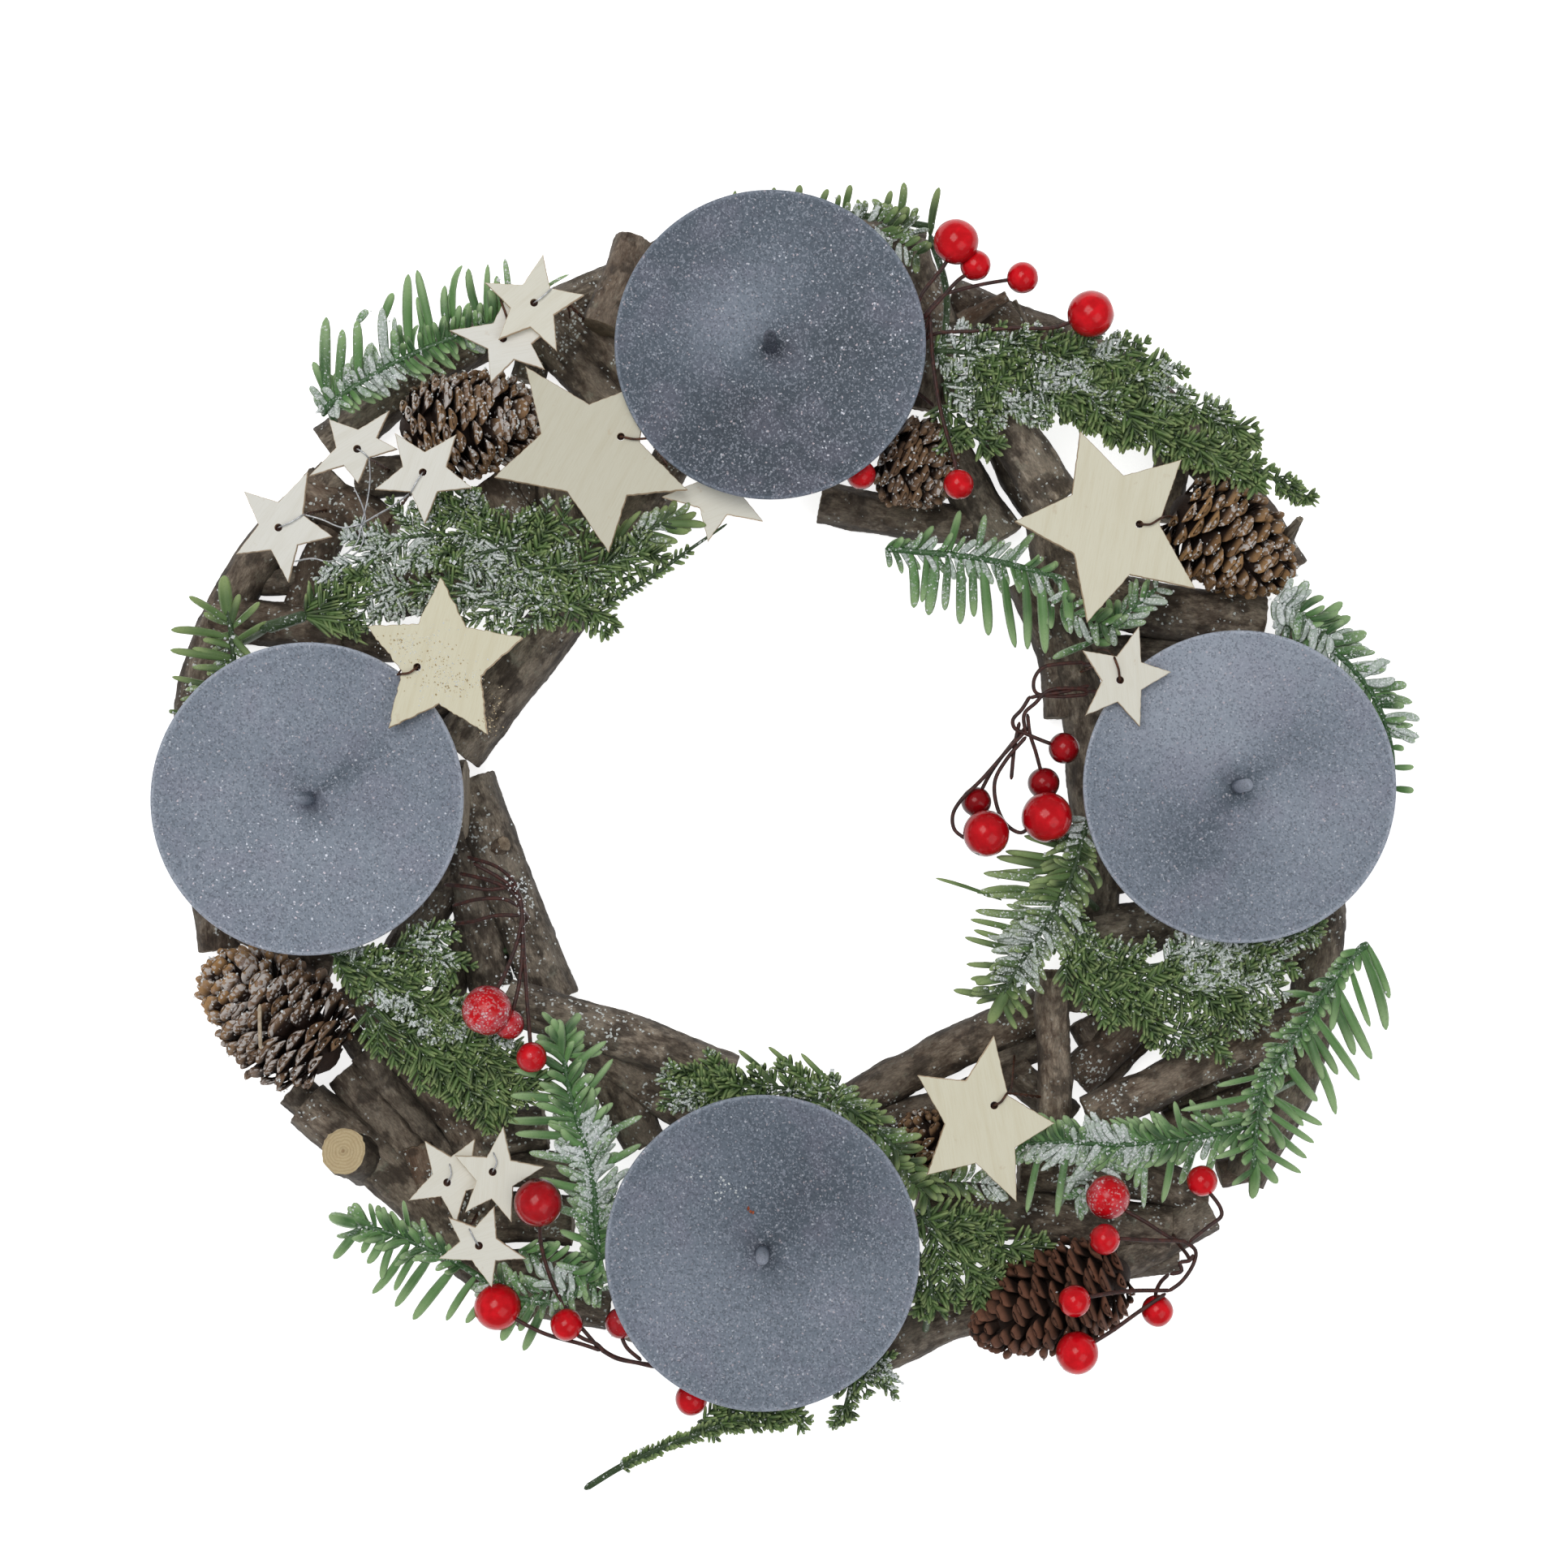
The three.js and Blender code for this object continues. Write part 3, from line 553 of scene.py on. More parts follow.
def cone_material():
    m = Mat("cone_scale_look", 0.72, spec=0.35)
    p = m.place()
    tip, rand, warm = m.attr("tip"), m.attr("rand"), m.attr("warm")
    n = m.noise(p, 0.9, 4, 0.6)
    # the scales are near-black towards their base and on the core: partly the scale's own darker base, partly painted
    # shade in the gaps between scales
    inner = m.mix(n, rgb(24, 16, 12), rgb(60, 40, 30))
    outer = m.mix(m.math("MULTIPLY", warm, 1.0, clamp=True), m.mix(n, rgb(112, 86, 64), rgb(150, 120, 92)), m.mix(n, rgb(150, 108, 66), rgb(212, 168, 112)))
    outer = m.mix(m.math("MULTIPLY", warm, -1.0, clamp=True), outer, m.mix(n, rgb(94, 58, 44), rgb(146, 98, 74)))
    outer = m.mix(m.math("MULTIPLY", rand, 0.5), outer, rgb(78, 52, 39))
    col = m.mix(m.step(tip, 0.70, 0.97), inner, outer)
    umbo = m.step(m.attr("umbo"), 0.4, 0.9)
    col = m.mix(m.math("MULTIPLY", umbo, 0.6), col, rgb(84, 58, 42))
    fib = m.noise(m.vmul(p, (1.0, 1.0, 1.0)), 3.4, 4, 0.7)
    col = m.mix(m.math("MULTIPLY", m.step(fib, 0.5, 0.75), 0.4), col, rgb(52, 36, 27))
    fr = m.math("MULTIPLY", m.math("MULTIPLY", m.attr("frost"), m.step(m.up(), 0.0, 0.8)), m.step(tip, 0.3, 0.95))
    r_, g_, b_ = m.split(m.voronoi(p, 1.3, out="Color"))
    patch = m.noise(p, 0.14, 3)
    grain = m.math("MULTIPLY", m.step(m.math("ADD", r_, m.math("MULTIPLY", fr, m.math("ADD", patch, 0.2))), 1.0, 1.15), m.step(fr, 0.02, 0.1))
    film = m.math("MULTIPLY", m.step(m.math("ADD", m.noise(p, 0.5, 4, 0.65), m.math("MULTIPLY", fr, 0.12)), 0.52, 0.74), m.step(fr, 0.35, 0.8))
    col = m.mix(m.math("MULTIPLY", film, 0.6), col, rgb(182, 166, 160))
    col = m.mix(m.math("MULTIPLY", grain, 0.8), col, rgb(214, 208, 204))
    m.set("Base Color", col)
    m.set("Normal", m.bump(m.math("ADD", fib, m.math("MULTIPLY", grain, 1.5)), 0.5, 0.0004))
    return m.m


STAR = star_material()
# a darker copy of the plywood, as painted shade, for the upper left large star
STAR_SHADED = star_material("plywood_painted_shade_look", 0.93)
BERRY = berry_material()
CONE = cone_material()
STEM_WIRE = wire_material("stem_wire_look", rgb(46, 24, 20), rgb(82, 40, 32), 0.55)
TIE_WIRE = wire_material("tie_wire_look", rgb(58, 36, 26), rgb(104, 64, 44), 0.5, 0.4)
STRAW = wire_material("straw_look", rgb(168, 150, 126), rgb(208, 192, 168), 0.7)
SILVER_WIRE = wire_material("silver_wire_look", rgb(170, 172, 176), rgb(206, 208, 212), 0.35, 0.8)

def green_material(name, dark, mid, light, rough, gain, pale):
    m = Mat(name, rough, spec=0.4)
    p = m.place()
    t, rand, frost = m.attr("t"), m.attr("rand"), m.attr("frost")
    n = m.noise(p, 0.25, 3)
    fine = m.noise(p, 2.4, 3)
    col = m.mix(m.step(m.math("ADD", m.math("MULTIPLY", rand, 0.7), m.math("MULTIPLY", n, 0.3)), 0.15, 0.85), dark, mid)
    col = m.mix(m.math("MULTIPLY", m.step(t, 0.45, 1.0), 0.75), col, light)
    col = m.mix(m.math("MULTIPLY", m.step(m.attr("rib"), 0.3, 0.9), 0.35), col, light)
    col = m.mix(m.math("MULTIPLY", m.step(fine, 0.5, 0.8), 0.35), col, dark)
    up = m.step(m.up(), -0.35, 0.75)
    r_, g_, b_ = m.split(m.voronoi(p, 2.4, out="Color"))
    soft = m.noise(p, 1.7, 6, 0.75)
    amount = m.math("MULTIPLY", frost, up)
    film = m.math("MULTIPLY", m.step(m.math("ADD", soft, m.math("MULTIPLY", amount, gain)), 0.62, 0.78), m.step(amount, 0.03, 0.3))
    grain = m.math("MULTIPLY", m.step(m.math("ADD", r_, m.math("MULTIPLY", amount, 0.35)), 1.0, 1.08), m.step(amount, 0.03, 0.2))
    rim = m.math("MULTIPLY", m.math("MULTIPLY", m.step(m.attr("rib"), 0.5, 0.9), m.step(soft, 0.40, 0.58)), m.math("ADD", pale, m.math("MULTIPLY", amount, 0.8), clamp=True))
    col = m.mix(m.math("MULTIPLY", rim, 0.8), col, rgb(206, 216, 208))
    col = m.mix(m.math("MULTIPLY", film, 0.78), col, rgb(194, 204, 200))
    col = m.mix(m.math("MULTIPLY", grain, 0.8), col, rgb(232, 237, 236))
    m.set("Base Color", col)
    m.set("Roughness", m.math("ADD", rough, m.math("MULTIPLY", grain, 0.25)))
    m.set("Normal", m.bump(m.math("ADD", m.math("MULTIPLY", fine, 0.5), m.math("MULTIPLY", grain, 1.5)), 0.4, 0.00025))
    m.set("Subsurface Weight", 0.0)
    return m.m


def frost_material():
    m = Mat("frost_look", 0.35, spec=0.6)
    n = m.noise(m.place(), 1.2, 2)
    m.set("Base Color", m.mix(n, rgb(214, 221, 222), rgb(246, 249, 250)))
    m.set("Roughness", m.math("ADD", 0.25, m.math("MULTIPLY", n, 0.3)))
    return m.m


FIR = green_material("fir_look", rgb(46, 82, 44), rgb(97, 141, 80), rgb(170, 200, 144), 0.42, 0.36, 0.34)
CYPRESS = green_material("cypress_look", rgb(38, 58, 31), rgb(90, 119, 65), rgb(160, 180, 118), 0.55, 0.25, 0.16)
FROST_MAT = frost_material()

# ------------------------------------------------------------------ twigs
FLOOR, SECOND = 0.0, 14.4
TWIGS = {  # underside, radius, plan line, (radius share at start, end), tone, frost
    "twig_left_inner_upper": (FLOOR, 7.4, [[716, 722], [652, 806], [562, 924]], (0.97, 1.05), 0.15, 0.15),
    "twig_left_inner_lower": (FLOOR, 7, [[576, 962], [600, 1030], [640, 1130], [684, 1232]], (1.05, 0.92), 0.1, 0.35),
    "twig_bottom_right_inner": (FLOOR, 5.6, [[1010, 1382], [1150, 1306], [1283, 1244]], (0.92, 1.05), 0.45, 0.35),
    "twig_right_inner": (FLOOR, 6, [[1290, 640], [1312, 760], [1338, 900], [1344, 980], [1358, 1060], [1338, 1185], [1332, 1246]], (1.0, 0.95), 0.2, 0.1),
    "twig_top_inner": (FLOOR, 5.2, [[1012, 618], [1100, 636], [1206, 648]], (1.05, 0.95), 0.3, 0.3),
    "twig_bottom_outer": (FLOOR, 6, [[762, 1618], [900, 1660], [1050, 1668], [1184, 1620], [1360, 1556], [1488, 1488]], (1.0, 1.05), 0.25, 0.25),
    "twig_right_outer": (FLOOR, 6, [[1532, 1452], [1600, 1320], [1626, 1150], [1624, 950], [1602, 770]], (0.95, 1.05), 0.3, 0.25),
    "twig_top_right_outer": (FLOOR, 5, [[1172, 368], [1240, 394], [1326, 426], [1416, 488], [1484, 570], [1546, 630], [1592, 702]], (1.05, 0.95), 0.55, 0.3),
    "twig_left_outer": (FLOOR, 5.6, [[416, 588], [306, 704], [246, 850], [238, 1000], [262, 1100], [270, 1170]], (1.05, 0.95), 0.35, 0.2),
    "billet_right_lower": (FLOOR, 5.5, [[1325, 1329], [1426, 1230]], (1.0, 1.0), 0.65, 0.5),
    "twig_bottom_left_inner": (SECOND, 6, [[624, 1233], [760, 1275], [900, 1329]], (0.95, 1.05), 0.2, 0.35),
    "twig_right_upright": (SECOND, 4.3, [[1297, 1196], [1299, 1398]], (0.95, 1.05), 0.4, 0.1),
    "twig_right_lower": (SECOND, 5.5, [[1342, 1376], [1450, 1324], [1604, 1262]], (1.0, 0.9), 0.5, 0.5),
    "twig_top_right_inner": (SECOND, 6.4, [[1214, 486], [1302, 618]], (1.0, 1.05), 0.15, 0.2),
    "billet_under_plate_top": (SECOND, 10, [[912, 326], [1012, 586]], (1.0, 1.0), 0.2, 0.3),
    "billet_under_plate_right": (SECOND, 10, [[1352, 973], [1664, 966]], (1.0, 1.0), 0.2, 0.3),
    "billet_under_plate_bottom": (SECOND, 10, [[1005, 1384], [886, 1672]], (1.0, 1.0), 0.3, 0.3),
    "billet_under_plate_left": (SECOND, 10, [[230, 984], [574, 984]], (1.0, 1.0), 0.2, 0.3),
}


WOOD = []  # points on the bark, for the wires that hold the stars


def branch(build, path, r, seed, share=(1, 1), tone=0.2, frost=0.2, knots=3, sides=40, step=0.75, ends=(0.12, 0.12), top=None):
    """A barked length of wood: lumps, knots, furrows and sawn ends."""
    rng = np.random.default_rng(seed)
    path, s = resample(spline(path, 24), step=step)
    long = s[-1]
    t, n, b = frames(path)
    wander = np.stack([noise3(np.stack([s / 17, 0 * s + 3.3 * k, 0 * s + seed], -1), seed + k) for k in range(3)], -1)
    fade = np.minimum(1, np.minimum(s, long - s) / 12)[:, None]
    path = path + 0.09 * r * wander * fade
    a = np.arange(sides) / sides * 2 * np.pi
    ca, sa = np.cos(a), np.sin(a)
    size = r * np.interp(s / long, [0, 1], share)
    P = np.stack([np.broadcast_to(ca * r, (len(s), sides)), np.broadcast_to(sa * r, (len(s), sides)), np.broadcast_to(s[:, None], (len(s), sides))], -1)
    rad = size[:, None] * (0.985 + 0.05 * noise3(P * (0.08, 0.08, 0.045), seed + 5) + 0.03 * noise3(P * (0.22, 0.22, 0.12), seed + 6))
    rad = rad + 0.32 * noise3(P * (0.75, 0.75, 0.14), seed + 7) + 0.16 * noise3(P * (1.7, 1.7, 0.45), seed + 8) + 0.07 * noise3(P * (3.0, 3.0, 2.2), seed + 9)
    for _ in range(knots):
        ks, ka = rng.uniform(0.1, 0.9) * long, rng.uniform(0, 2 * np.pi)
        kr = rng.uniform(1.6, 3.0)
        da = np.angle(np.exp(1j * (a - ka)))[None, :] * r
        ds = (s - ks)[:, None]
        q = np.sqrt(da ** 2 + (ds * 0.8) ** 2) / kr
        rad = rad + (0.16 * r * np.exp(-q ** 2) - 0.12 * r * np.exp(-(q / 0.42) ** 2))
    ring = ca[None, :, None] * n[:, None] + sa[None, :, None] * b[:, None]
    v = path[:, None] + ring * rad[..., None]
    v[..., 2] = np.maximum(v[..., 2], 0.02)
    if top is not None:
        v[..., 2] = np.minimum(v[..., 2], top)
    WOOD.append(v[::3, ::4].reshape(-1, 3))
    build.add(v.reshape(-1, 3), quads=tube_quads(len(s), sides), grain=P.reshape(-1, 3), tone=tone, frost=frost, cut=0.0)
    for _ in range(rng.poisson(frost * long * r * 0.05)):
        i, j = rng.integers(1, len(s) - 1), rng.integers(0, sides)
        if ring[i, j, 2] > 0.2 and noise3(v[i, j][None] / 9.0, 77)[0] > -0.02:
            LOOSE.append((v[i, j] + ring[i, j] * 0.05, rng.uniform(0.13, 0.40)))
    # ends: rough rings down to the middle, slightly out of square
    for end, sign in ((0, -1), (-1, 1)):
        rim = v[end]
        mid = rim.mean(0)
        rows, gr = [], []
        shares = [1.0, 0.94, 0.8, 0.6, 0.4, 0.2]
        for k in shares:
            row = mid + (rim - mid) * k
            out = 0.25 * noise3(np.stack([ca * r * k * 0.8, sa * r * k * 0.8, 0 * ca + seed], -1), seed + 11) + (0.18 if k < 1 else 0)
            row = row + sign * t[end] * out[:, None] * (1 if k < 1 else 0)
            row[:, 2] = np.maximum(row[:, 2], 0.02)
            rows.append(row)
            gr.append(np.stack([ca * rad[end] * k, sa * rad[end] * k, np.full(sides, seed * 3.1 + 11 * end)], -1))
        verts = np.vstack(rows + [mid[None] + sign * t[end] * 0.1])
        grain = np.vstack(gr + [np.array([[0, 0, seed * 3.1]])])
        q = tube_quads(len(shares), sides)
        j = np.arange(sides)
        base = (len(shares) - 1) * sides
        c = np.stack([base + j, base + (j + 1) % sides, np.full(sides, len(shares) * sides)], -1)
        if sign < 0:
            q, c = q[:, ::-1], c[:, ::-1]
        build.add(verts, c, q, grain=grain, tone=tone, frost=frost * 0.3, cut=float(ends[0 if end == 0 else 1]))


FORKS = {  # radius, plan line with heights, tone, frost
    "twig_left_outer": [(4, [(308, 716, 4.1), (386, 716, 4.1)], 0.3, 0.1),
        (6.5, [(372, 604, 6.5), (484, 658, 6.5)], 0.75, 0.3),
        (4.5, [(418, 630, 4.6), (356, 780, 4.6)], 0.7, 0.2),
        (6, [(262, 762, 6.1), (424, 776, 6.1)], 0.6, 0.2),
        (5.5, [(440, 592, 5.6), (504, 586, 5.6)], 0.3, 0.2),
        (5, [(268, 1126, 5.1), (412, 1185, 5.1)], 0.3, 0.2),
        (4, [(400, 790, 4.1), (470, 798, 4.1), (575, 802, 4.1)], 0.4, 0.1)],
    "twig_left_inner_upper": [(4, [(640, 640, 4.1), (654, 598, 4.1)], 0.3, 0.2),
        (6.5, [(690, 720, 6.6), (600, 596, 6.6)], 0.5, 0.5),
        (6, [(672, 690, 6.1), (470, 740, 6.1)], 0.3, 0.3),
        (6.5, [(704, 712, 6.6), (688, 590, 6.6)], 0.2, 0.3),
        (5.5, [(716, 712, 5.6), (806, 602, 5.6), (832, 562, 5.6)], 0.2, 0.2),
        (4, [(606, 850, 4.1), (536, 872, 4.1)], 0.2, 0.1)],
    "twig_left_inner_lower": [(6, [(560, 1000, 6.1), (606, 1216, 6.1)], 0.15, 0.3),
        (6, [(566, 1050, 6.1), (497, 1176, 6.1)], 0.2, 0.3),
        (4, [(580, 1120, 4.1), (556, 1230, 4.1)], 0.2, 0.2)],
    "twig_right_inner": [(5.9, [(1222, 520, 6), (1304, 660, 6)], 0.2, 0.3),
        (7.5, [(1300, 716, 7.6), (1420, 748, 7.6), (1554, 768, 7.6)], 0.3, 0.3),
        (5, [(1262, 716, 5.1), (1290, 775, 5.1), (1306, 830, 5.1), (1308, 884, 5.1)], 0.35, 0.5),
        (6.5, [(1348, 1150, 6.6), (1460, 1130, 6.6)], 0.1, 0.2),
        (4, [(1335, 800, 4.1), (1470, 800, 4.1)], 0.2, 0.1),
        (5, [(1340, 1090, 5.1), (1410, 1072, 5.1)], 1.0, 0.9)],
    "twig_top_inner": [(6.2, [(1172, 565, 6.3), (1234, 664, 6.3)], 0.05, 0.2)],
    "twig_bottom_outer": [(4, [(1390, 1556, 4.1), (1450, 1548, 4.1)], 0.3, 0.4),
        (6.8, [(1130, 1484, 6.9), (1240, 1496, 6.9), (1340, 1506, 6.9), (1440, 1514, 6.9)], 0.35, 0.4),
        (6, [(1256, 1440, 6.1), (1380, 1448, 6.1), (1484, 1478, 6.1)], 0.4, 0.4)],
    "twig_bottom_left_inner": [(5.5, [(690, 1266, 18), (870, 1386, 8)], 0.3, 0.3),
        (6, [(740, 1296, 14), (792, 1404, 7)], 0.3, 0.2)],
    "twig_bottom_right_inner": [(4, [(1216, 1310, 4.1), (1284, 1286, 4.1)], 0.2, 0.1),
        (4.2, [(1034, 1388, 4.3), (1150, 1366, 4.3), (1268, 1312, 4.3)], 0.4, 0.3),
        (4.2, [(1246, 1320, 4.3), (1318, 1378, 4.3)], 0.2, 0.1)],
    "billet_right_lower": [(4, [(1356, 1300, 4.1), (1334, 1257, 4.1)], 0.4, 0.2),
        (2.8, [(1350, 1341, 2.9), (1420, 1271, 2.9)], 0.5, 0.2)],
    "twig_top_right_outer": [(5, [(1452, 540, 5.1), (1428, 640, 5.1)], 0.2, 0.2)],
    "twig_right_outer": [(4, [(1540, 1436, 4.1), (1502, 1446, 4.1)], 0.7, 0.1),
        (3.8, [(1440, 1366, 3.9), (1570, 1306, 3.9)], 0.4, 0.2),
        (5.8, [(1612, 1240, 6.1), (1500, 1296, 6.1), (1406, 1352, 6.1)], 0.7, 0.3),
        (5.5, [(1622, 1160, 5.6), (1500, 1190, 5.6)], 0.3, 0.3),
        (5.5, [(1596, 1332, 5.6), (1440, 1392, 5.6)], 0.5, 0.3)],
}
BARK_ATTRS = dict(grain=3, tone=1, frost=1, cut=1)
for k, (name, (under, r, line, share, tone, frost)) in enumerate(TWIGS.items()):
    B = Build(**BARK_ATTRS)
    top = under + 2 * r - 0.05 if name.startswith("billet_under") else None
    branch(B, [plan(u, v, under + r) for u, v in line], r, 100 + k, share, tone, frost, knots=2 + k % 3, top=top)
    for i, (rf, pts, tf, ff) in enumerate(FORKS.get(name, [])):
        branch(B, plan_line(pts), rf, 200 + 7 * k + i, (1.0, 0.97), tf, ff, knots=1)
    if name == "twig_top_right_outer":  # a torn strip of bark, a thin stick and a thorn-like spur
        branch(B, plan_line([(1186, 398, 13), (1214, 380, 15), (1240, 366, 15.5)]), 2.6, 150, (1.0, 0.55), 1.0, 0.1, 1, sides=24)
        branch(B, plan_line([(1250, 372, 15.5), (1270, 406, 15.0)]), 0.7, 151, (1.0, 0.7), 0.2, 0.0, 0, sides=12)
        branch(B, plan_line([(1570, 684, 9), (1584, 664, 20), (1602, 640, 26)]), 3.4, 152, (1.0, 0.28), 0.0, 0.1, 1, sides=24)
    if name == "twig_left_inner_lower":  # snapped side shoot
        branch(B, plan_line([(606, 1050, 10), (622, 1040, 14.5)]), 2.4, 153, (1.0, 0.8), 0.6, 0.2, 0, sides=24)
    B.make(name + ".wood", [BARK], "wreath", replaces=[name])
    frosting(name)

B = Build(**BARK_ATTRS)
branch(B, [plan(u, v, 7.2) for u, v in [[378, 1360], [452, 1422], [562, 1524], [664, 1612]]], 7.2, 131, (0.92, 1.0), 0.3, 0.2, 4)
branch(B, [plan(450, 1431, 4), plan(445, 1428, 8), plan(423, 1418, 21)], 6, 132, (1.1, 0.98), 0.35, 0.1, 0, ends=(0, 1))
branch(B, [plan(540, 1462, 7), plan(424, 1322, 5.1)], 5, 135, (1.05, 0.95), 0.3, 0.2, 1)
branch(B, [plan(u, v, 6.6) for u, v in [[440, 1206], [520, 1316], [590, 1420], [578, 1542]]], 6.5, 136, (0.95, 1.0), 0.45, 0.3, 2)
branch(B, [plan(452, 1296, 4.6), plan(482, 1346, 4.6), plan(560, 1440, 4.6)], 4.5, 139, (1.0, 1.0), 0.2, 0.1, 1)
branch(B, [plan(514, 1412, 10), plan(548, 1530, 10)], 4, 140, (1.0, 0.9), 1.0, 1.1, 2)
branch(B, [plan(586, 1402, 6.6), plan(672, 1388, 6.6)], 6, 142, (1.0, 0.97), 0.2, 0.3, 1)
branch(B, [plan(580, 1500, 6.6), plan(706, 1504, 6.6)], 6.5, 143, (1.0, 0.97), 0.4, 0.5, 1)
branch(B, [plan(610, 1566, 6.6), plan(728, 1572, 6.6)], 6, 144, (1.0, 0.97), 0.5, 0.3, 1)
branch(B, [plan(600, 1440, 5.1), plan(716, 1440, 5.1)], 5, 146, (1.0, 0.97), 0.2, 0.2, 1)
branch(B, [plan(650, 1596, 6.1), plan(750, 1615, 6.1)], 5, 147, (1.0, 0.97), 0.3, 0.3, 1)
branch(B, [plan(410, 1385, 5.1), plan(362, 1342, 5.1)], 5, 154, (1.0, 0.97), 0.2, 0.1, 1)
branch(B, [plan(475, 1335, 3.6), plan(425, 1264, 3.6)], 3.5, 155, (1.0, 0.97), 0.2, 0.1, 1)
B.make("twig_lower_left_outer.wood", [BARK], "wreath", replaces=["twig_lower_left_outer"])
frosting("twig_lower_left_outer")

B = Build(**BARK_ATTRS)
branch(B, [plan(u, v, 5.6) for u, v in [[1136, 312], [950, 272], [850, 298], [786, 338], [690, 380], [560, 436], [404, 552]]], 5.6, 133, (0.95, 1.05), 0.2, 0.2, 5)
branch(B, [plan(783, 298, 13.5), plan(741, 404, 17)], 5.4, 134, (1.0, 1.0), 0.55, 0.1, 1)
branch(B, [plan(1122, 304, 12), plan(1160, 405, 14)], 4.6, 137, (1.0, 1.0), 0.35, 0.2, 1)
branch(B, [plan(690, 380, 6), plan(795, 474, 6)], 5.9, 138, (1.0, 1.0), 0.4, 0.6, 1)
branch(B, [plan(672, 410, 6.2), plan(752, 500, 6.2)], 6, 141, (1.0, 1.0), 0.3, 0.5, 1)
branch(B, [plan(1152, 398, 15), plan(1138, 504, 14)], 4.2, 145, (1.0, 0.9), 0.3, 0.6, 1)
branch(B, [plan(668, 405, 5.1), plan(650, 470, 5.1)], 4.5, 148, (1.0, 0.97), 0.2, 0.2, 1)
branch(B, [plan(1160, 420, 12), plan(1172, 496, 10)], 3.4, 149, (1.0, 0.97), 0.2, 0.4, 1)
B.make("twig_top_outer.wood", [BARK], "wreath", replaces=["twig_top_outer"])
frosting("twig_top_outer")

# ------------------------------------------------------------------ candle plates
PLATE_MID = {"top": (949, 424), "right": (1527.6, 969), "bottom": (939.4, 1544), "left": (378, 984)}
# painted light and shade on each plate: general level, then soft lighter and darker sectors [direction deg, half width
# deg, inner share, outer share, strength]
PAINTED_SHEEN = {
    "top": (0.31, [[-90, 70, 0.25, 1.1, -0.22], [135, 60, 0.0, 0.55, 0.32], [190, 30, 0.1, 0.9, 0.06], [5, 45, 0.0, 0.8, -0.10], [230, 40, 0.3, 1.0, -0.05], [80, 30, 0.3, 0.9, 0.05]]),
    "right": (0.56, [[95, 75, 0.15, 1.1, 0.24], [40, 28, 0.0, 0.7, -0.20], [232, 34, 0.0, 0.7, -0.20], [-35, 50, 0.1, 0.9, 0.16], [140, 45, 0.1, 0.9, 0.10], [90, 30, 0.5, 1.0, 0.05]]),
    "bottom": (0.45, [[48, 50, 0.0, 0.85, -0.20], [140, 40, 0.0, 0.5, -0.05], [205, 45, 0.2, 1.0, 0.14], [280, 50, 0.3, 1.0, 0.08], [-15, 35, 0.4, 1.0, 0.10]]),
    "left": (0.625, [[38, 16, 0.0, 0.55, -0.26], [200, 60, 0.1, 0.9, 0.05], [100, 60, 0.2, 1.0, 0.04], [-60, 50, 0.2, 1.0, 0.03]]),
}
T0 = 35.8
for where, (u, v) in PLATE_MID.items():
    mid = plan(u, v, T0 + 3.4)
    prof = [(0.0, 21.8), (0.7, 22.4), (1.6, 24.3), (1.6, 34.8), (5.0, 34.8), (37.6, 38.05), (38.35, 38.3), (38.6, 38.6), (38.6, 39.0), (38.4, 39.25), (38.0, 39.3), (37.6, 39.16)]
    prof += [(rr, T0 + 3.4 * (rr - 5) / 33.0 * (1 - 0.05 * math.sin((rr - 5) / 33.0 * math.pi))) for rr in np.linspace(36.8, 5.4, 20)]
    prof += [(4.6, T0 + 0.02), (3.2, T0), (2.5, T0 + 0.06), (2.05, T0 + 0.25), (1.75, T0 + 0.7), (1.6, T0 + 1.3), (1.58, T0 + 6), (1.55, T0 + 13.8), (1.2, T0 + 15.0), (0.75, T0 + 16.4), (0.35, T0 + 17.5), (0.0, T0 + 18.0)]
    prof = np.array(prof)
    seg = 144
    a = np.arange(seg) / seg * 2 * np.pi
    ca, sa = np.cos(a), np.sin(a)
    V = np.stack([prof[:, :1] * ca, prof[:, :1] * sa, np.repeat(prof[:, 1:], seg, 1)], -1)
    V[..., 2] += np.where(prof[:, :1] > 30, 0.02 * np.sin(2 * a + u)[None, :] * (prof[:, :1] - 30) / 8, 0) * (prof[:, :1] < 38.2)
    rr = np.linalg.norm(V[..., :2], axis=-1)
    th = np.degrees(np.arctan2(V[..., 1], V[..., 0]))
    level, sectors = PAINTED_SHEEN[where]
    sheen = np.full(rr.shape, level)
    for d, w, r0, r1, amp in sectors:
        da = (th - d + 180) % 360 - 180
        q = rr / 38.6
        radial = np.clip((q - r0) / 0.18 + 0.4, 0, 1) * np.clip((r1 - q) / 0.35 + 0.5, 0, 1)
        sheen = sheen + amp * np.exp(-(da / w) ** 2) * radial
    # painted shadow round the foot of the spike, a painted highlight along the rim, and one darker level under the
    # plate
    sheen = sheen - 0.42 * np.exp(-(rr / 3.9) ** 2) + 0.32 * np.clip((rr - 37.5) / 0.6, 0, 1)
    sheen = np.where((prof[:, 1:] < 34.9), 0.2, sheen)
    # painted light and shade on each spike: a level per plate, lighter towards the tip, darker on the upper side
    wear_and_spike_light = {"top": 0.05, "right": 1.1, "bottom": 1.0, "left": 0.62}[where]
    sheen = np.where((prof[:, 1:] > T0 + 3.0) & (prof[:, :1] < 2), wear_and_spike_light + 0.35 * np.clip((prof[:, 1:] - T0 - 8) / 10, 0, 1) * (wear_and_spike_light > 0.3) - 0.3 * (sa > 0.3)[None, :], sheen)
    verts = V.reshape(-1, 3) + (mid[0], mid[1], 0)
    B = Build(grain=3, sheen=1)
    q = tube_quads(len(prof), seg)
    B.add(verts, quads=q, grain=V.reshape(-1, 3) + (u, v, 0), sheen=sheen.ravel())
    o = B.make("candle_plate_" + where + ".painted", [PLATE], "plate_" + where, replaces=["candle_plate_" + where])

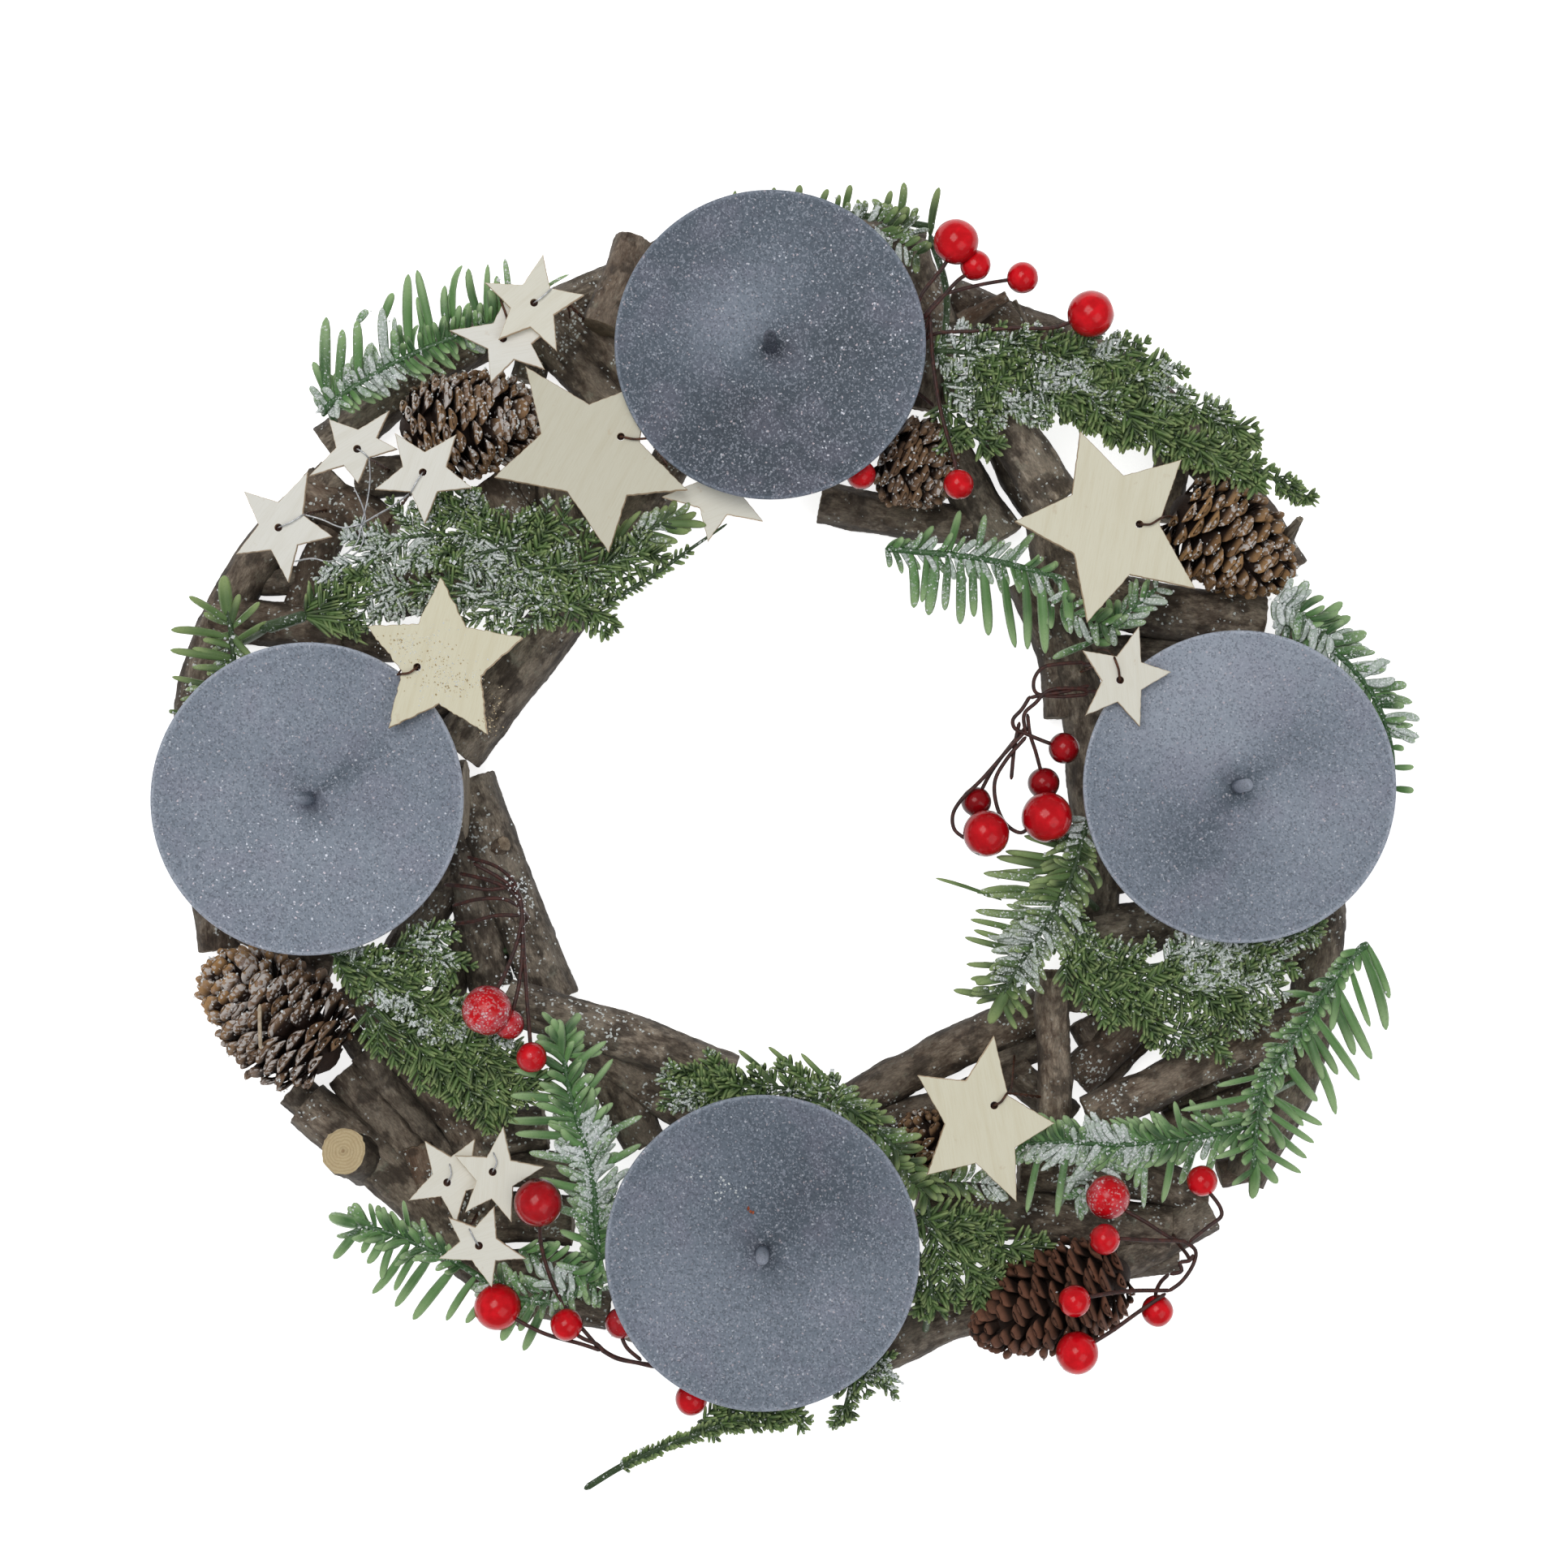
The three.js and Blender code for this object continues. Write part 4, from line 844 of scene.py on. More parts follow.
# ------------------------------------------------------------------ plywood stars
STARS = {  # underside, thickness, tips, hole, body, warm, grain direction deg, edge roughness
    "star_large_upper_left": (35.4, 2.0, [[647, 451], [800, 470], [847, 603], [750, 681], [608, 588]], [765, 538], "large_star_upper_left", 0.75, 62, 0.10),
    "star_large_right": (37.2, 2.0, [[1331, 531], [1456, 566], [1473, 725], [1340, 767], [1250, 642]], [1404, 646], "large_star_right", 0.85, 80, 0.08),
    "star_large_left": (41.0, 2.0, [[543, 710], [645, 785], [600, 904], [478, 898], [451, 771]], [514, 822], "large_star_left", 1.0, 75, 0.22),
    "star_large_lower_right": (35.2, 2.0, [[1225, 1276], [1300, 1384], [1253, 1482], [1142, 1448], [1130, 1325]], [1225, 1362], "large_star_lower_right", 0.9, 100, 0.08),
    "star_under_plate_top": (29.6, 1.6, [[864, 548], [932, 572], [940, 642], [872, 668], [815, 612]], [888, 600], "wreath", 0.35, 20, 0.10),
    "star_small_right": (40.0, 1.6, [[1404, 771], [1444, 828], [1405, 896], [1337, 882], [1334, 801]], [1380, 838], "small_star_right", 0.35, 95, 0.06),
    "star_small_top_left_front": (36.6, 1.6, [[669, 313], [720, 363], [686, 433], [614, 418], [597, 348]], [658, 373], "small_star_top_left_front", 0.45, 40, 0.06),
    "star_small_top_left_rear": (34.2, 1.6, [[628, 356], [683, 400], [671, 455], [604, 472], [553, 407]], [620, 417], "wreath", 0.1, 10, 0.06),
    "star_small_left_upper": (36.3, 1.6, [[480, 505], [490, 553], [441, 596], [380, 587], [405, 516]], [440, 553], "small_star_left_upper", 0.15, 30, 0.06),
    "star_small_left_middle": (38.2, 1.6, [[562, 535], [582, 601], [523, 646], [461, 603], [486, 533]], [521, 582], "small_star_left_middle", 0.15, 70, 0.06),
    "star_small_left_lower": (34.4, 1.6, [[379, 581], [410, 661], [355, 718], [290, 683], [300, 605]], [343, 650], "small_star_left_lower", 0.1, 55, 0.06),
    "star_small_lower_left_a": (33.4, 1.6, [[585, 1403], [614, 1456], [562, 1508], [502, 1480], [523, 1406]], [551, 1457], "wreath", 0.3, 35, 0.08),
    "star_small_lower_left_b": (35.6, 1.6, [[620, 1388], [670, 1438], [630, 1506], [573, 1494], [560, 1424]], [607, 1444], "wreath", 0.35, 85, 0.08),
    "star_small_lower_left_c": (37.8, 1.6, [[609, 1486], [648, 1551], [606, 1587], [540, 1551], [552, 1500]], [590, 1535], "small_star_lower_left_c", 0.3, 15, 0.08),
}


def poly_offset(p, d):
    """Moves a closed outline inward by d."""
    a, c = np.roll(p, 1, 0), np.roll(p, -1, 0)
    e1, e2 = unit(p - a), unit(c - p)
    n1, n2 = np.stack([-e1[:, 1], e1[:, 0]], -1), np.stack([-e2[:, 1], e2[:, 0]], -1)
    m = n1 + n2
    m = m / np.maximum(np.sum(m * n1, -1, keepdims=True), 0.45)
    return p + m * d


def star_outline(tips, top, share, rough, seed):
    pts = np.array([plan(u, v, top)[:2] for u, v in tips])
    mid = pts.mean(0)
    corner = []
    for i in range(5):
        corner.append(pts[i])
        corner.append(mid + ((pts[i] + pts[(i + 1) % 5]) / 2 - mid) * share)
    corner = np.array(corner)
    area2 = np.sum(corner[:, 0] * np.roll(corner[:, 1], -1) - np.roll(corner[:, 0], -1) * corner[:, 1])
    if area2 < 0:
        corner = corner[::-1]
    line = []
    for i in range(10):
        a, b = corner[i], corner[(i + 1) % 10]
        steps = max(6, int(np.linalg.norm(b - a) / 0.7))
        line.append(a + (b - a) * (np.arange(steps) / steps)[:, None])
    line = np.vstack(line)
    j = noise3(np.stack([line[:, 0] * 1.3, line[:, 1] * 1.3, 0 * line[:, 0] + seed], -1), seed)
    j = j + 0.6 * noise3(np.stack([line[:, 0] * 3.1, line[:, 1] * 3.1, 0 * line[:, 0] + seed], -1), seed + 3)
    return poly_offset(line, 0.05) + (poly_offset(line, 1.0) - line) * (rough * j)[:, None], mid


for k, (name, (under, thick, tips, hole, body, warm, turn, rough)) in enumerate(STARS.items()):
    top = under + thick
    out, mid = star_outline(tips, top, 0.62 if thick == 2.0 else 0.55, rough, 40 + k)
    ins = poly_offset(out, 0.16)
    h = plan(hole[0], hole[1], top)[:2]
    ha = np.arange(16) / 16 * 2 * np.pi
    ring = h + 1.0 * np.stack([np.cos(ha), np.sin(ha)], -1)
    n, nh = len(out), len(ring)
    cs, sn = math.cos(math.radians(turn)), math.sin(math.radians(turn))

    def grain_of(xy, z):
        d = xy - mid
        return np.stack([d[:, 0] * cs + d[:, 1] * sn + 37.0 * k, -d[:, 0] * sn + d[:, 1] * cs, np.broadcast_to(z, len(d))], -1)

    flat = [Vector((x, y, 0)) for x, y in ins]
    inner = [Vector((x, y, 0)) for x, y in ring[::-1]]
    tri = np.array(tessellate_polygon([flat, inner]), np.int64).reshape(-1, 3)
    xy = np.vstack([ins, ring[::-1]])
    e1, e2 = xy[tri[:, 1]] - xy[tri[:, 0]], xy[tri[:, 2]] - xy[tri[:, 0]]
    neg = e1[:, 0] * e2[:, 1] - e1[:, 1] * e2[:, 0] < 0
    tri[neg] = tri[neg][:, ::-1]
    B = Build(grain=3, warm=1, edge=1)

    def lift(xy, z):
        return np.column_stack([xy, np.full(len(xy), z)])

    B.add(lift(xy, top), tri, grain=grain_of(xy, 0.0), warm=warm, edge=0.0)
    B.add(lift(xy, under), tri[:, ::-1], grain=grain_of(xy, 5.0), warm=warm, edge=0.0)
    walls = [(ins, under, 0.3), (out, under + 0.16, 0.9), (out, under + thick / 2, 1.0), (out, top - 0.16, 0.9), (ins, top, 0.3)]
    B.add(np.vstack([lift(p, z) for p, z, e in walls]), quads=tube_quads(len(walls), n),
          grain=np.vstack([grain_of(p, z - under) for p, z, e in walls]), warm=warm, edge=np.concatenate([np.full(n, e) for p, z, e in walls]))
    hw = [(ring, top), (ring, under)]
    B.add(np.vstack([lift(p, z) for p, z in hw]), quads=tube_quads(2, nh), grain=np.vstack([grain_of(p, z) for p, z in hw]), warm=warm, edge=1.0)
    # the upper left large star takes the darker painted-shade copy of the plywood
    B.make(name + ".plywood", [STAR_SHADED if name == "star_large_upper_left" else STAR], body, replaces=[name])

# wire ties: through the hole, over the face and round the edge
TIES = {  # star: plan points on the face, from the hole to the edge
    "star_large_upper_left": [[765, 538], [781, 541], [800, 540]],
    "star_large_right": [[1404, 646], [1417, 646], [1431, 638]],
    "star_large_left": [[514, 822], [504, 829], [490, 831]],
    "star_large_lower_right": [[1225, 1362], [1233, 1358], [1241, 1347]],
    "star_small_right": [[1380, 838], [1378, 824], [1373, 810]],
    "star_small_top_left_front": [[658, 373], [668, 366], [680, 355]],
    "star_small_left_upper": [[440, 553], [447, 557], [455, 565]],
    "star_small_left_middle": [[521, 582], [514, 592], [506, 607]],
    "star_small_left_lower": [[343, 650], [357, 644], [374, 634]],
    "star_small_lower_left_c": [[590, 1535], [584, 1526], [578, 1514]],
    "star_small_lower_left_a": [[551, 1457], [556, 1447], [554, 1434]],
    "star_small_lower_left_b": [[607, 1444], [612, 1432], [608, 1420]],
    "star_small_top_left_rear": [[620, 417], [625, 396], [617, 369]],
}
for name, pts in TIES.items():
    under, thick, tips, hole, body = STARS[name][:5]
    top = under + thick
    silver = name.startswith(("star_small_left", "star_small_lower_left", "star_small_top_left_front"))
    h = 0.33 if name == "star_small_top_left_rear" else 0.7  # that tie lies under the front star
    r = 0.19 if silver else 0.31
    B = Build()
    a, b, c = pts
    wire(B, [plan(a[0], a[1], under - 1.0), plan(a[0], a[1], top - 0.3), plan(0.75 * a[0] + 0.25 * b[0], 0.75 * a[1] + 0.25 * b[1], top + 0.8 * h),
             plan(b[0], b[1], top + h), plan(0.2 * b[0] + 0.8 * c[0], 0.2 * b[1] + 0.8 * c[1], top + 0.65 * h), plan(c[0], c[1], top - 0.2), plan(c[0], c[1], under - 0.8)], r, 8, 0.4)
    knot = [plan(a[0], a[1], under - 0.62) + 0.5 * np.array([math.cos(x), math.sin(x), 0.12 * x]) for x in np.linspace(0, 7.5, 12)]
    wire(B, knot, 0.52, 8, 0.3, mat=1)
    B.make("tie_" + name, [SILVER_WIRE if silver else TIE_WIRE, STEM_WIRE], body)

# each tie goes on from the star's edge, twisted, down to the nearest wood
WOOD = np.vstack(WOOD)
for name, (u, v) in {**{k: q[2] for k, q in TIES.items()}, "star_under_plate_top": (880, 604)}.items():
    start = plan(u, v, STARS[name][0] - 0.3)
    below = WOOD[:, 2] < start[2] - 1.5
    over = None
    if name == "star_large_left":  # first over the rim of the plate that the star lies on
        over = [plan(u, v, 40.65), plan(494.5, 824.8, 40.45), plan(499, 818.6, 40.2)]
        start = over[-1]
        below &= np.linalg.norm(WOOD[:, :2] - plan(*PLATE_MID["left"], 39.2)[:2], axis=1) > 41.0
    gap = (WOOD - start) * (1.5, 1.5, 1.0)
    end = WOOD[np.where(below, np.linalg.norm(gap, axis=1), 1e9).argmin()]
    d = unit(end - start)
    e1 = unit(np.cross(d, [0.3, 0.9, 0.1]))
    e2 = np.cross(d, e1)
    long = np.linalg.norm(end - start)
    f = np.linspace(0, 1, max(6, int(long / 0.9)))
    B = Build()
    if over:
        wire(B, over, 0.24, 6, 0.5)
    for turn in (0, np.pi):
        ph = f * long * 1.1 + turn
        w = 0.26 * np.minimum(1, 4 * f)[:, None]
        wire(B, start + d * (f * (long + 0.7))[:, None] + w * (np.cos(ph)[:, None] * e1 + np.sin(ph)[:, None] * e2), 0.24, 6, 0.5)
    B.make("tie_leg_" + name, [TIE_WIRE], "wreath")

B = Build()
for line in [
    [(455, 565, 35.4), (456, 590, 34.6), (452, 620, 33.6), (445, 646, 33.2)],
    [(506, 607, 37.0), (486, 622, 35.2), (462, 636, 33.8), (445, 646, 33.2)],
    [(374, 634, 33.6), (396, 640, 33.4), (422, 650, 33.2), (445, 646, 33.2)],
    [(445, 646, 33.2), (440, 668, 33.2), (424, 684, 32.6), (405, 692, 31.4), (385, 688, 31.0), (362, 692, 30.2)],
    [(445, 646, 33.2), (448, 664, 33.0), (438, 682, 32.4), (418, 690, 31.4)],
    [(436, 600, 34.6), (446, 622, 34.0), (450, 640, 33.4), (445, 650, 33.0)],
]:
    wire(B, plan_line(line), 0.22, 6, 0.6)
B.make("tie_wires_left", [SILVER_WIRE], "wreath")
B = Build()
for line in [[(680, 355, 35.0), (690, 362, 30), (700, 380, 24), (702, 392, 15)], [(617, 369, 33.4), (610, 380, 26), (598, 408, 12)],
             [(1373, 810, 39.0), (1366, 802, 30), (1352, 800, 14)], [(1431, 638, 36.4), (1440, 636, 30), (1452, 640, 22)],
             [(800, 540, 34.8), (806, 536, 33.0), (812, 520, 31), (930, 470, 30.0)], [(1241, 1347, 34.6), (1246, 1342, 26), (1250, 1300, 12)]]:
    wire(B, plan_line(line), 0.31, 7, 0.7)
B.make("tie_wires_stars", [TIE_WIRE], "wreath")

# ------------------------------------------------------------------ berry picks
BERRIES = {  # centre, radius, dark share, frost
    "berry_pick_top": [(1178, 298, 39, 5.6, 0.0, 0.0), (1202, 327, 36.5, 3.8, 0.05, 0.0), (1260, 342, 36.5, 3.9, 0.0, 0.0), (1344, 387, 38, 5.8, 0.0, 0.0), (1061, 585, 32.6, 3.7, 0.1, 0.1), (1181, 597, 37, 3.8, 0.05, 0.0)],
    "berry_pick_right_inner": [(1311, 922, 31, 3.9, 0.7, 0.0), (1286, 965, 27, 4, 0.75, 0.0), (1290, 1007, 34, 6.3, 0.2, 0.0), (1203, 988, 27, 3.8, 0.85, 0.0), (1215, 1027, 34, 5.8, 0.25, 0.0)],
    "berry_pick_left": [(600, 1245, 39.2, 6.2, 0.15, 0.34), (627, 1262, 36.6, 3.8, 0.3, 0.25), (655, 1303, 36.8, 3.8, 0.1, 0.1)],
    "berry_pick_lower_left": [(663, 1482, 38, 6, 0.48, 0.03), (613, 1610, 31, 5.8, 0.0, 0.0), (698, 1632, 34, 4, 0.1, 0.0), (765, 1630, 31, 3.9, 0.5, 0.1), (852, 1724, 30, 4, 0.2, 0.0)],
    "berry_pick_bottom_right": [(1365, 1475, 38, 5.4, 0.1, 0.24), (1361, 1527, 44.5, 3.8, 0.1, 0.05), (1481, 1455, 38, 3.8, 0.1, 0.0), (1324, 1603, 47.4, 3.9, 0.0, 0.0), (1426, 1615, 37, 3.9, 0.05, 0.0), (1327, 1667, 43.4, 5.2, 0.0, 0.0)],
}
STEMS = {
    "berry_pick_top": [
        [(1172, 310, 39), (1164, 326, 38), (1134, 366, 36.4), (1128, 392, 34), (1120, 420, 26)],
        [(1198, 334, 36.5), (1181, 345, 37), (1158, 370, 36.4), (1141, 389, 35.6), (1128, 404, 30), (1116, 430, 24)],
        [(1248, 344, 36.5), (1212, 350, 37), (1179, 358, 36.6), (1164, 363, 36.2), (1139, 389, 35), (1124, 416, 30)],
        [(1322, 396, 37.6), (1296, 404, 36), (1250, 404, 34), (1200, 408, 33), (1150, 412, 32), (1130, 430, 28)],
        [(1061, 570, 32.6), (1074, 540, 33), (1096, 490, 33), (1120, 440, 32), (1146, 392, 35.4)],
        [(1180, 584, 37), (1174, 560, 36.4), (1160, 510, 35), (1150, 450, 35), (1146, 392, 35.6)],
        [(1146, 388, 35.6), (1140, 420, 28), (1120, 470, 16), (1150, 500, 20)],
    ],
    "berry_pick_right_inner": [
        [(1340, 850, 30.4), (1310, 848, 31.4), (1290, 852, 31.4), (1276, 866, 31), (1262, 880, 30.8), (1264, 904, 30.6)],
        [(1342, 845, 30.0), (1306, 853, 31), (1284, 856, 31.2), (1269, 860, 31.2)],
        [(1340, 856, 30.2), (1300, 858, 30.6), (1276, 853, 31.4), (1274, 838, 31.6), (1284, 823, 31.6), (1306, 818, 31), (1335, 816, 30)],
        [(1269, 858, 31.2), (1259, 874, 31.2), (1248, 887, 31), (1250, 897, 30.8), (1264, 904, 30.6), (1288, 914, 31), (1300, 918, 31)],
        [(1266, 880, 30.6), (1269, 904, 30.2), (1276, 926, 29), (1282, 948, 28), (1285, 958, 27.6)],
        [(1264, 900, 30.4), (1240, 926, 30), (1210, 960, 30), (1184, 986, 30.4), (1174, 1004, 31), (1176, 1022, 32), (1190, 1034, 33)],
        [(1264, 908, 30.6), (1240, 936, 30), (1226, 962, 29.6), (1228, 992, 30), (1240, 1016, 31.6), (1258, 1026, 33), (1272, 1016, 34)],
        [(1264, 896, 30), (1244, 920, 29), (1222, 950, 28), (1208, 976, 27.4)],
        [(1256, 890, 30.4), (1250, 920, 29.6), (1246, 960, 29)],
        [(1336, 852, 30.2), (1356, 852, 26), (1370, 850, 14)],
        [(1334, 818, 30), (1352, 820, 24), (1360, 826, 12)],
    ],
    "berry_pick_left": [
        [(606, 1230, 39), (622, 1200, 37), (640, 1150, 34.6), (642, 1116, 34), (630, 1098, 33), (606, 1086, 31.4), (566, 1076, 28)],
        [(630, 1252, 36.6), (640, 1210, 35.6), (644, 1160, 34.6), (640, 1104, 33.6), (622, 1086, 32), (584, 1064, 30)],
        [(654, 1292, 36.8), (650, 1240, 35.8), (646, 1180, 34.8), (642, 1120, 34), (634, 1088, 32.4), (612, 1068, 30), (576, 1056, 27)],
        [(642, 1118, 33.6), (622, 1108, 33), (590, 1108, 31.4), (558, 1116, 28)],
        [(640, 1128, 33), (612, 1128, 32), (580, 1136, 30), (552, 1138, 26)],
        [(632, 1092, 32.4), (604, 1096, 32), (572, 1092, 30), (548, 1090, 26)],
        [(642, 1120, 33.6), (650, 1130, 24), (640, 1140, 12)],
    ],
    "berry_pick_lower_left": [
        [(625, 1618, 31.6), (640, 1628, 32.4), (673, 1644, 33.2), (716, 1656, 33.4), (740, 1664, 33.4)],
        [(706, 1642, 34), (720, 1650, 34), (735, 1656, 33.8), (744, 1664, 33.4), (758, 1672, 33), (780, 1678, 32.6), (806, 1682, 32)],
        [(740, 1663, 33.8), (760, 1674, 33.2), (784, 1679, 32.8), (812, 1684, 31.6), (840, 1676, 28), (868, 1664, 20)],
        [(764, 1642, 31), (772, 1660, 31.8), (790, 1676, 32)],
        [(848, 1712, 30), (836, 1696, 31), (806, 1682, 32)],
        [(664, 1496, 37.4), (668, 1540, 34), (690, 1600, 32), (740, 1664, 33)],
    ],
    "berry_pick_bottom_right": [
        [(1484, 1464, 38.4), (1494, 1474, 39), (1504, 1489, 40), (1505, 1498, 40.2), (1488, 1512, 40.4), (1466, 1530, 40.4)],
        [(1384, 1490, 38.6), (1412, 1506, 40), (1444, 1526, 40.6), (1461, 1531, 40.6), (1473, 1541, 40.4), (1471, 1556, 40.2), (1456, 1579, 40), (1440, 1591, 40)],
        [(1470, 1546, 40.6), (1466, 1553, 40.8), (1454, 1556, 41), (1456, 1566, 41), (1442, 1570, 41)],
        [(1378, 1526, 44), (1420, 1528, 42), (1461, 1529, 40.8)],
        [(1340, 1598, 46.6), (1387, 1591, 43.6), (1442, 1590, 40.4)],
        [(1426, 1602, 37.6), (1424, 1594, 38.4), (1430, 1580, 39.6), (1440, 1570, 40.6)],
        [(1344, 1656, 43), (1370, 1640, 42), (1405, 1615, 40.6), (1436, 1594, 40)],
        [(1466, 1552, 40.4), (1462, 1545, 34), (1450, 1530, 22), (1446, 1522, 12.5)],
    ],
}
for k, (name, berries) in enumerate(BERRIES.items()):
    B = Build(dark=1, nub=1, frost=1)
    for i, (u, v, z, r, dark, frost) in enumerate(berries):
        c = plan(u, v, z)
        rows, seg = 22, 36
        ph = np.linspace(0.02, np.pi - 0.02, rows)
        th = np.arange(seg) / seg * 2 * np.pi
        d = np.stack([np.sin(ph)[:, None] * np.cos(th), np.sin(ph)[:, None] * np.sin(th), np.repeat(np.cos(ph)[:, None], seg, 1)], -1)
        # a slightly uneven ball with a small dark calyx where the stem goes in
        stem = min(STEMS[name], key=lambda s: np.linalg.norm(plan(*s[0]) - c))
        ax = unit(plan(*stem[0]) - c)
        side = unit(np.cross(ax, [0.3, 0.2, 1.0]))
        basis = np.stack([side, np.cross(ax, side), ax])
        rad = r * (1 + 0.018 * noise3(d * 1.7 + i * 5, 60 + k) + 0.006 * noise3(d * 6 + i, 61 + k))
        away = np.arccos(np.clip(-d[..., 2], -1, 1))
        rad = rad * (1 - 0.10 * np.exp(-(away / 0.16) ** 2))
        verts = c + (d * rad[..., None]).reshape(-1, 3) @ basis
        n = len(verts)
        verts = np.vstack([verts, c + basis[2] * r * 0.99, c - basis[2] * r * 0.90])
        nub = np.concatenate([np.exp(-(away / 0.17) ** 4).ravel(), [0, 1]])
        j = np.arange(seg)
        tri = np.vstack([np.stack([np.full(seg, n), j, (j + 1) % seg], -1), np.stack([np.full(seg, n + 1), n - seg + (j + 1) % seg, n - seg + j], -1)])
        # painted shade: each berry gets darker from its top down to its underside
        painted_underside_shade = np.clip(1.0 - (verts[:, 2] - c[2]) / r, 0, 1.5) ** 1.6
        B.add(verts, tri[:, ::1], tube_quads(rows, seg)[:, ::-1], dark=dark + 1.1 * painted_underside_shade, nub=nub, frost=frost)
    for line in STEMS[name]:
        wire(B, plan_line(line), 0.5, 8, 0.6, mat=1)
    B.make(name + ".berries", [BERRY, STEM_WIRE], "wreath", replaces=[name])

# ------------------------------------------------------------------ pine cones
CONES = {  # stem end, tip, radius, axis height, scales, warm, frost
    "cone_upper_left": ([492, 528], [688, 514], 14, 20.4, 170, 0.35, 0.9),
    "cone_top": ([1086, 552], [1176, 596], 12.2, 20.4, 116, 0.1, 0.5),
    "cone_right": ([1446, 618], [1590, 718], 14.6, 20.6, 140, 0.75, 0.5),
    "cone_left_lower": ([414, 1312], [254, 1184], 16, 19.6, 160, 1.0, 0.85),
    "cone_bottom_right": ([1392, 1561], [1194, 1646], 14, 28.6, 160, -1.0, 0.05),
    "cone_bottom": ([1184, 1446], [1112, 1378], 10, 16.4, 96, 0.2, 0.3),
}
CONE_FORM = np.array([[0, 0], [0.5, 0.02], [0.86, 0.16], [1, 0.36], [0.86, 0.62], [0.55, 0.85], [0.24, 0.97], [0, 1]])
for k, (name, (a, b, r, z, count, warm, frost)) in enumerate(CONES.items()):
    rng = np.random.default_rng(300 + k)
    p, q = plan(a[0], a[1], z), plan(b[0], b[1], z)
    long = np.linalg.norm(q - p)
    ax = (q - p) / long
    s1 = unit(np.cross(ax, [0, 0, 1.0]))
    s2 = np.cross(s1, ax)
    B = Build(tip=1, rand=1, umbo=1, frost=1, warm=1)
    # core
    rows, seg = 26, 22
    yy = np.linspace(0.01, 0.985, rows)
    core = 0.52 * r * np.interp(yy, CONE_FORM[:, 1], CONE_FORM[:, 0])
    th = np.arange(seg) / seg * 2 * np.pi
    ring = np.cos(th)[:, None] * s1 + np.sin(th)[:, None] * s2
    v = p + ax * (yy * long)[:, None, None] + ring[None] * core[:, None, None]
    v = np.vstack([v.reshape(-1, 3), p[None], (p + ax * long * 0.99)[None]])
    j = np.arange(seg)
    n = rows * seg
    tri = np.vstack([np.stack([np.full(seg, n), j, (j + 1) % seg], -1), np.stack([np.full(seg, n + 1), n - seg + (j + 1) % seg, n - seg + j], -1)])
    B.add(v, tri, tube_quads(rows, seg)[:, ::-1], tip=0.0, rand=0.5, umbo=0.0, frost=0.0, warm=0.0)
    for i in range(count):
        f = (i + 0.5) / count
        y = 0.03 + 0.93 * f ** 0.92
        out = r * np.interp(y, CONE_FORM[:, 1], CONE_FORM[:, 0]) * rng.uniform(0.90, 1.10)
        base = 0.42 * out
        ang = i * 2.399963 + rng.normal(0, 0.11)
        lean = np.interp(y, [0, 0.2, 0.6, 1.0], [-0.25, 0.20, 0.60, 1.30]) + rng.normal(0, 0.15)
        rad = np.cos(ang) * s1 + np.sin(ang) * s2
        tan = -np.sin(ang) * s1 + np.cos(ang) * s2
        fwd = unit(rad * math.cos(lean) + ax * math.sin(lean))
        nor = unit(np.cross(fwd, tan))
        if nor @ ax < 0:
            nor = -nor
        length = max((out - base) / max(math.cos(lean), 0.42), 2.2)
        root = p + ax * (y * long - math.sin(lean) * length * 0.75) + rad * base
        w = max(1.3, 0.30 * out * rng.uniform(0.78, 1.15) * (1 - 0.2 * f))
        th_tip = min(1.8, 0.17 * r * (0.75 + 0.35 * (1 - f)))
        ts = np.array([0, 0.25, 0.5, 0.7, 0.84, 0.93, 0.985, 1.0])
        prof = np.interp(ts, [0, 0.3, 0.7, 0.86, 0.95, 1.0], [0.45, 0.62, 0.95, 1.0, 0.84, 0.5])
        thick = np.interp(ts, [0, 0.6, 0.86, 0.95, 1.0], [0.5, 0.8, th_tip, th_tip * 0.85, th_tip * 0.45])
        us = np.array([-1, -0.62, -0.22, 0.22, 0.62, 1.0])
        loop_u = np.concatenate([us, us[::-1]])
        loop_s = np.concatenate([np.ones(6), -np.ones(6)])
        edge = np.array([0.12, 0.75, 1.0, 1.0, 0.75, 0.12] * 2)
        arch = 0.16 * w
        curl = 0.10 * length
        P = (root + fwd * (ts * length)[:, None, None] + tan * (loop_u * 1.0)[None, :, None] * (w * prof)[:, None, None]
             + nor * ((loop_s * edge)[None, :] * thick[:, None] * 0.5 - arch * (loop_u ** 2)[None, :] * prof[:, None] + curl * (ts ** 2)[:, None])[..., None])
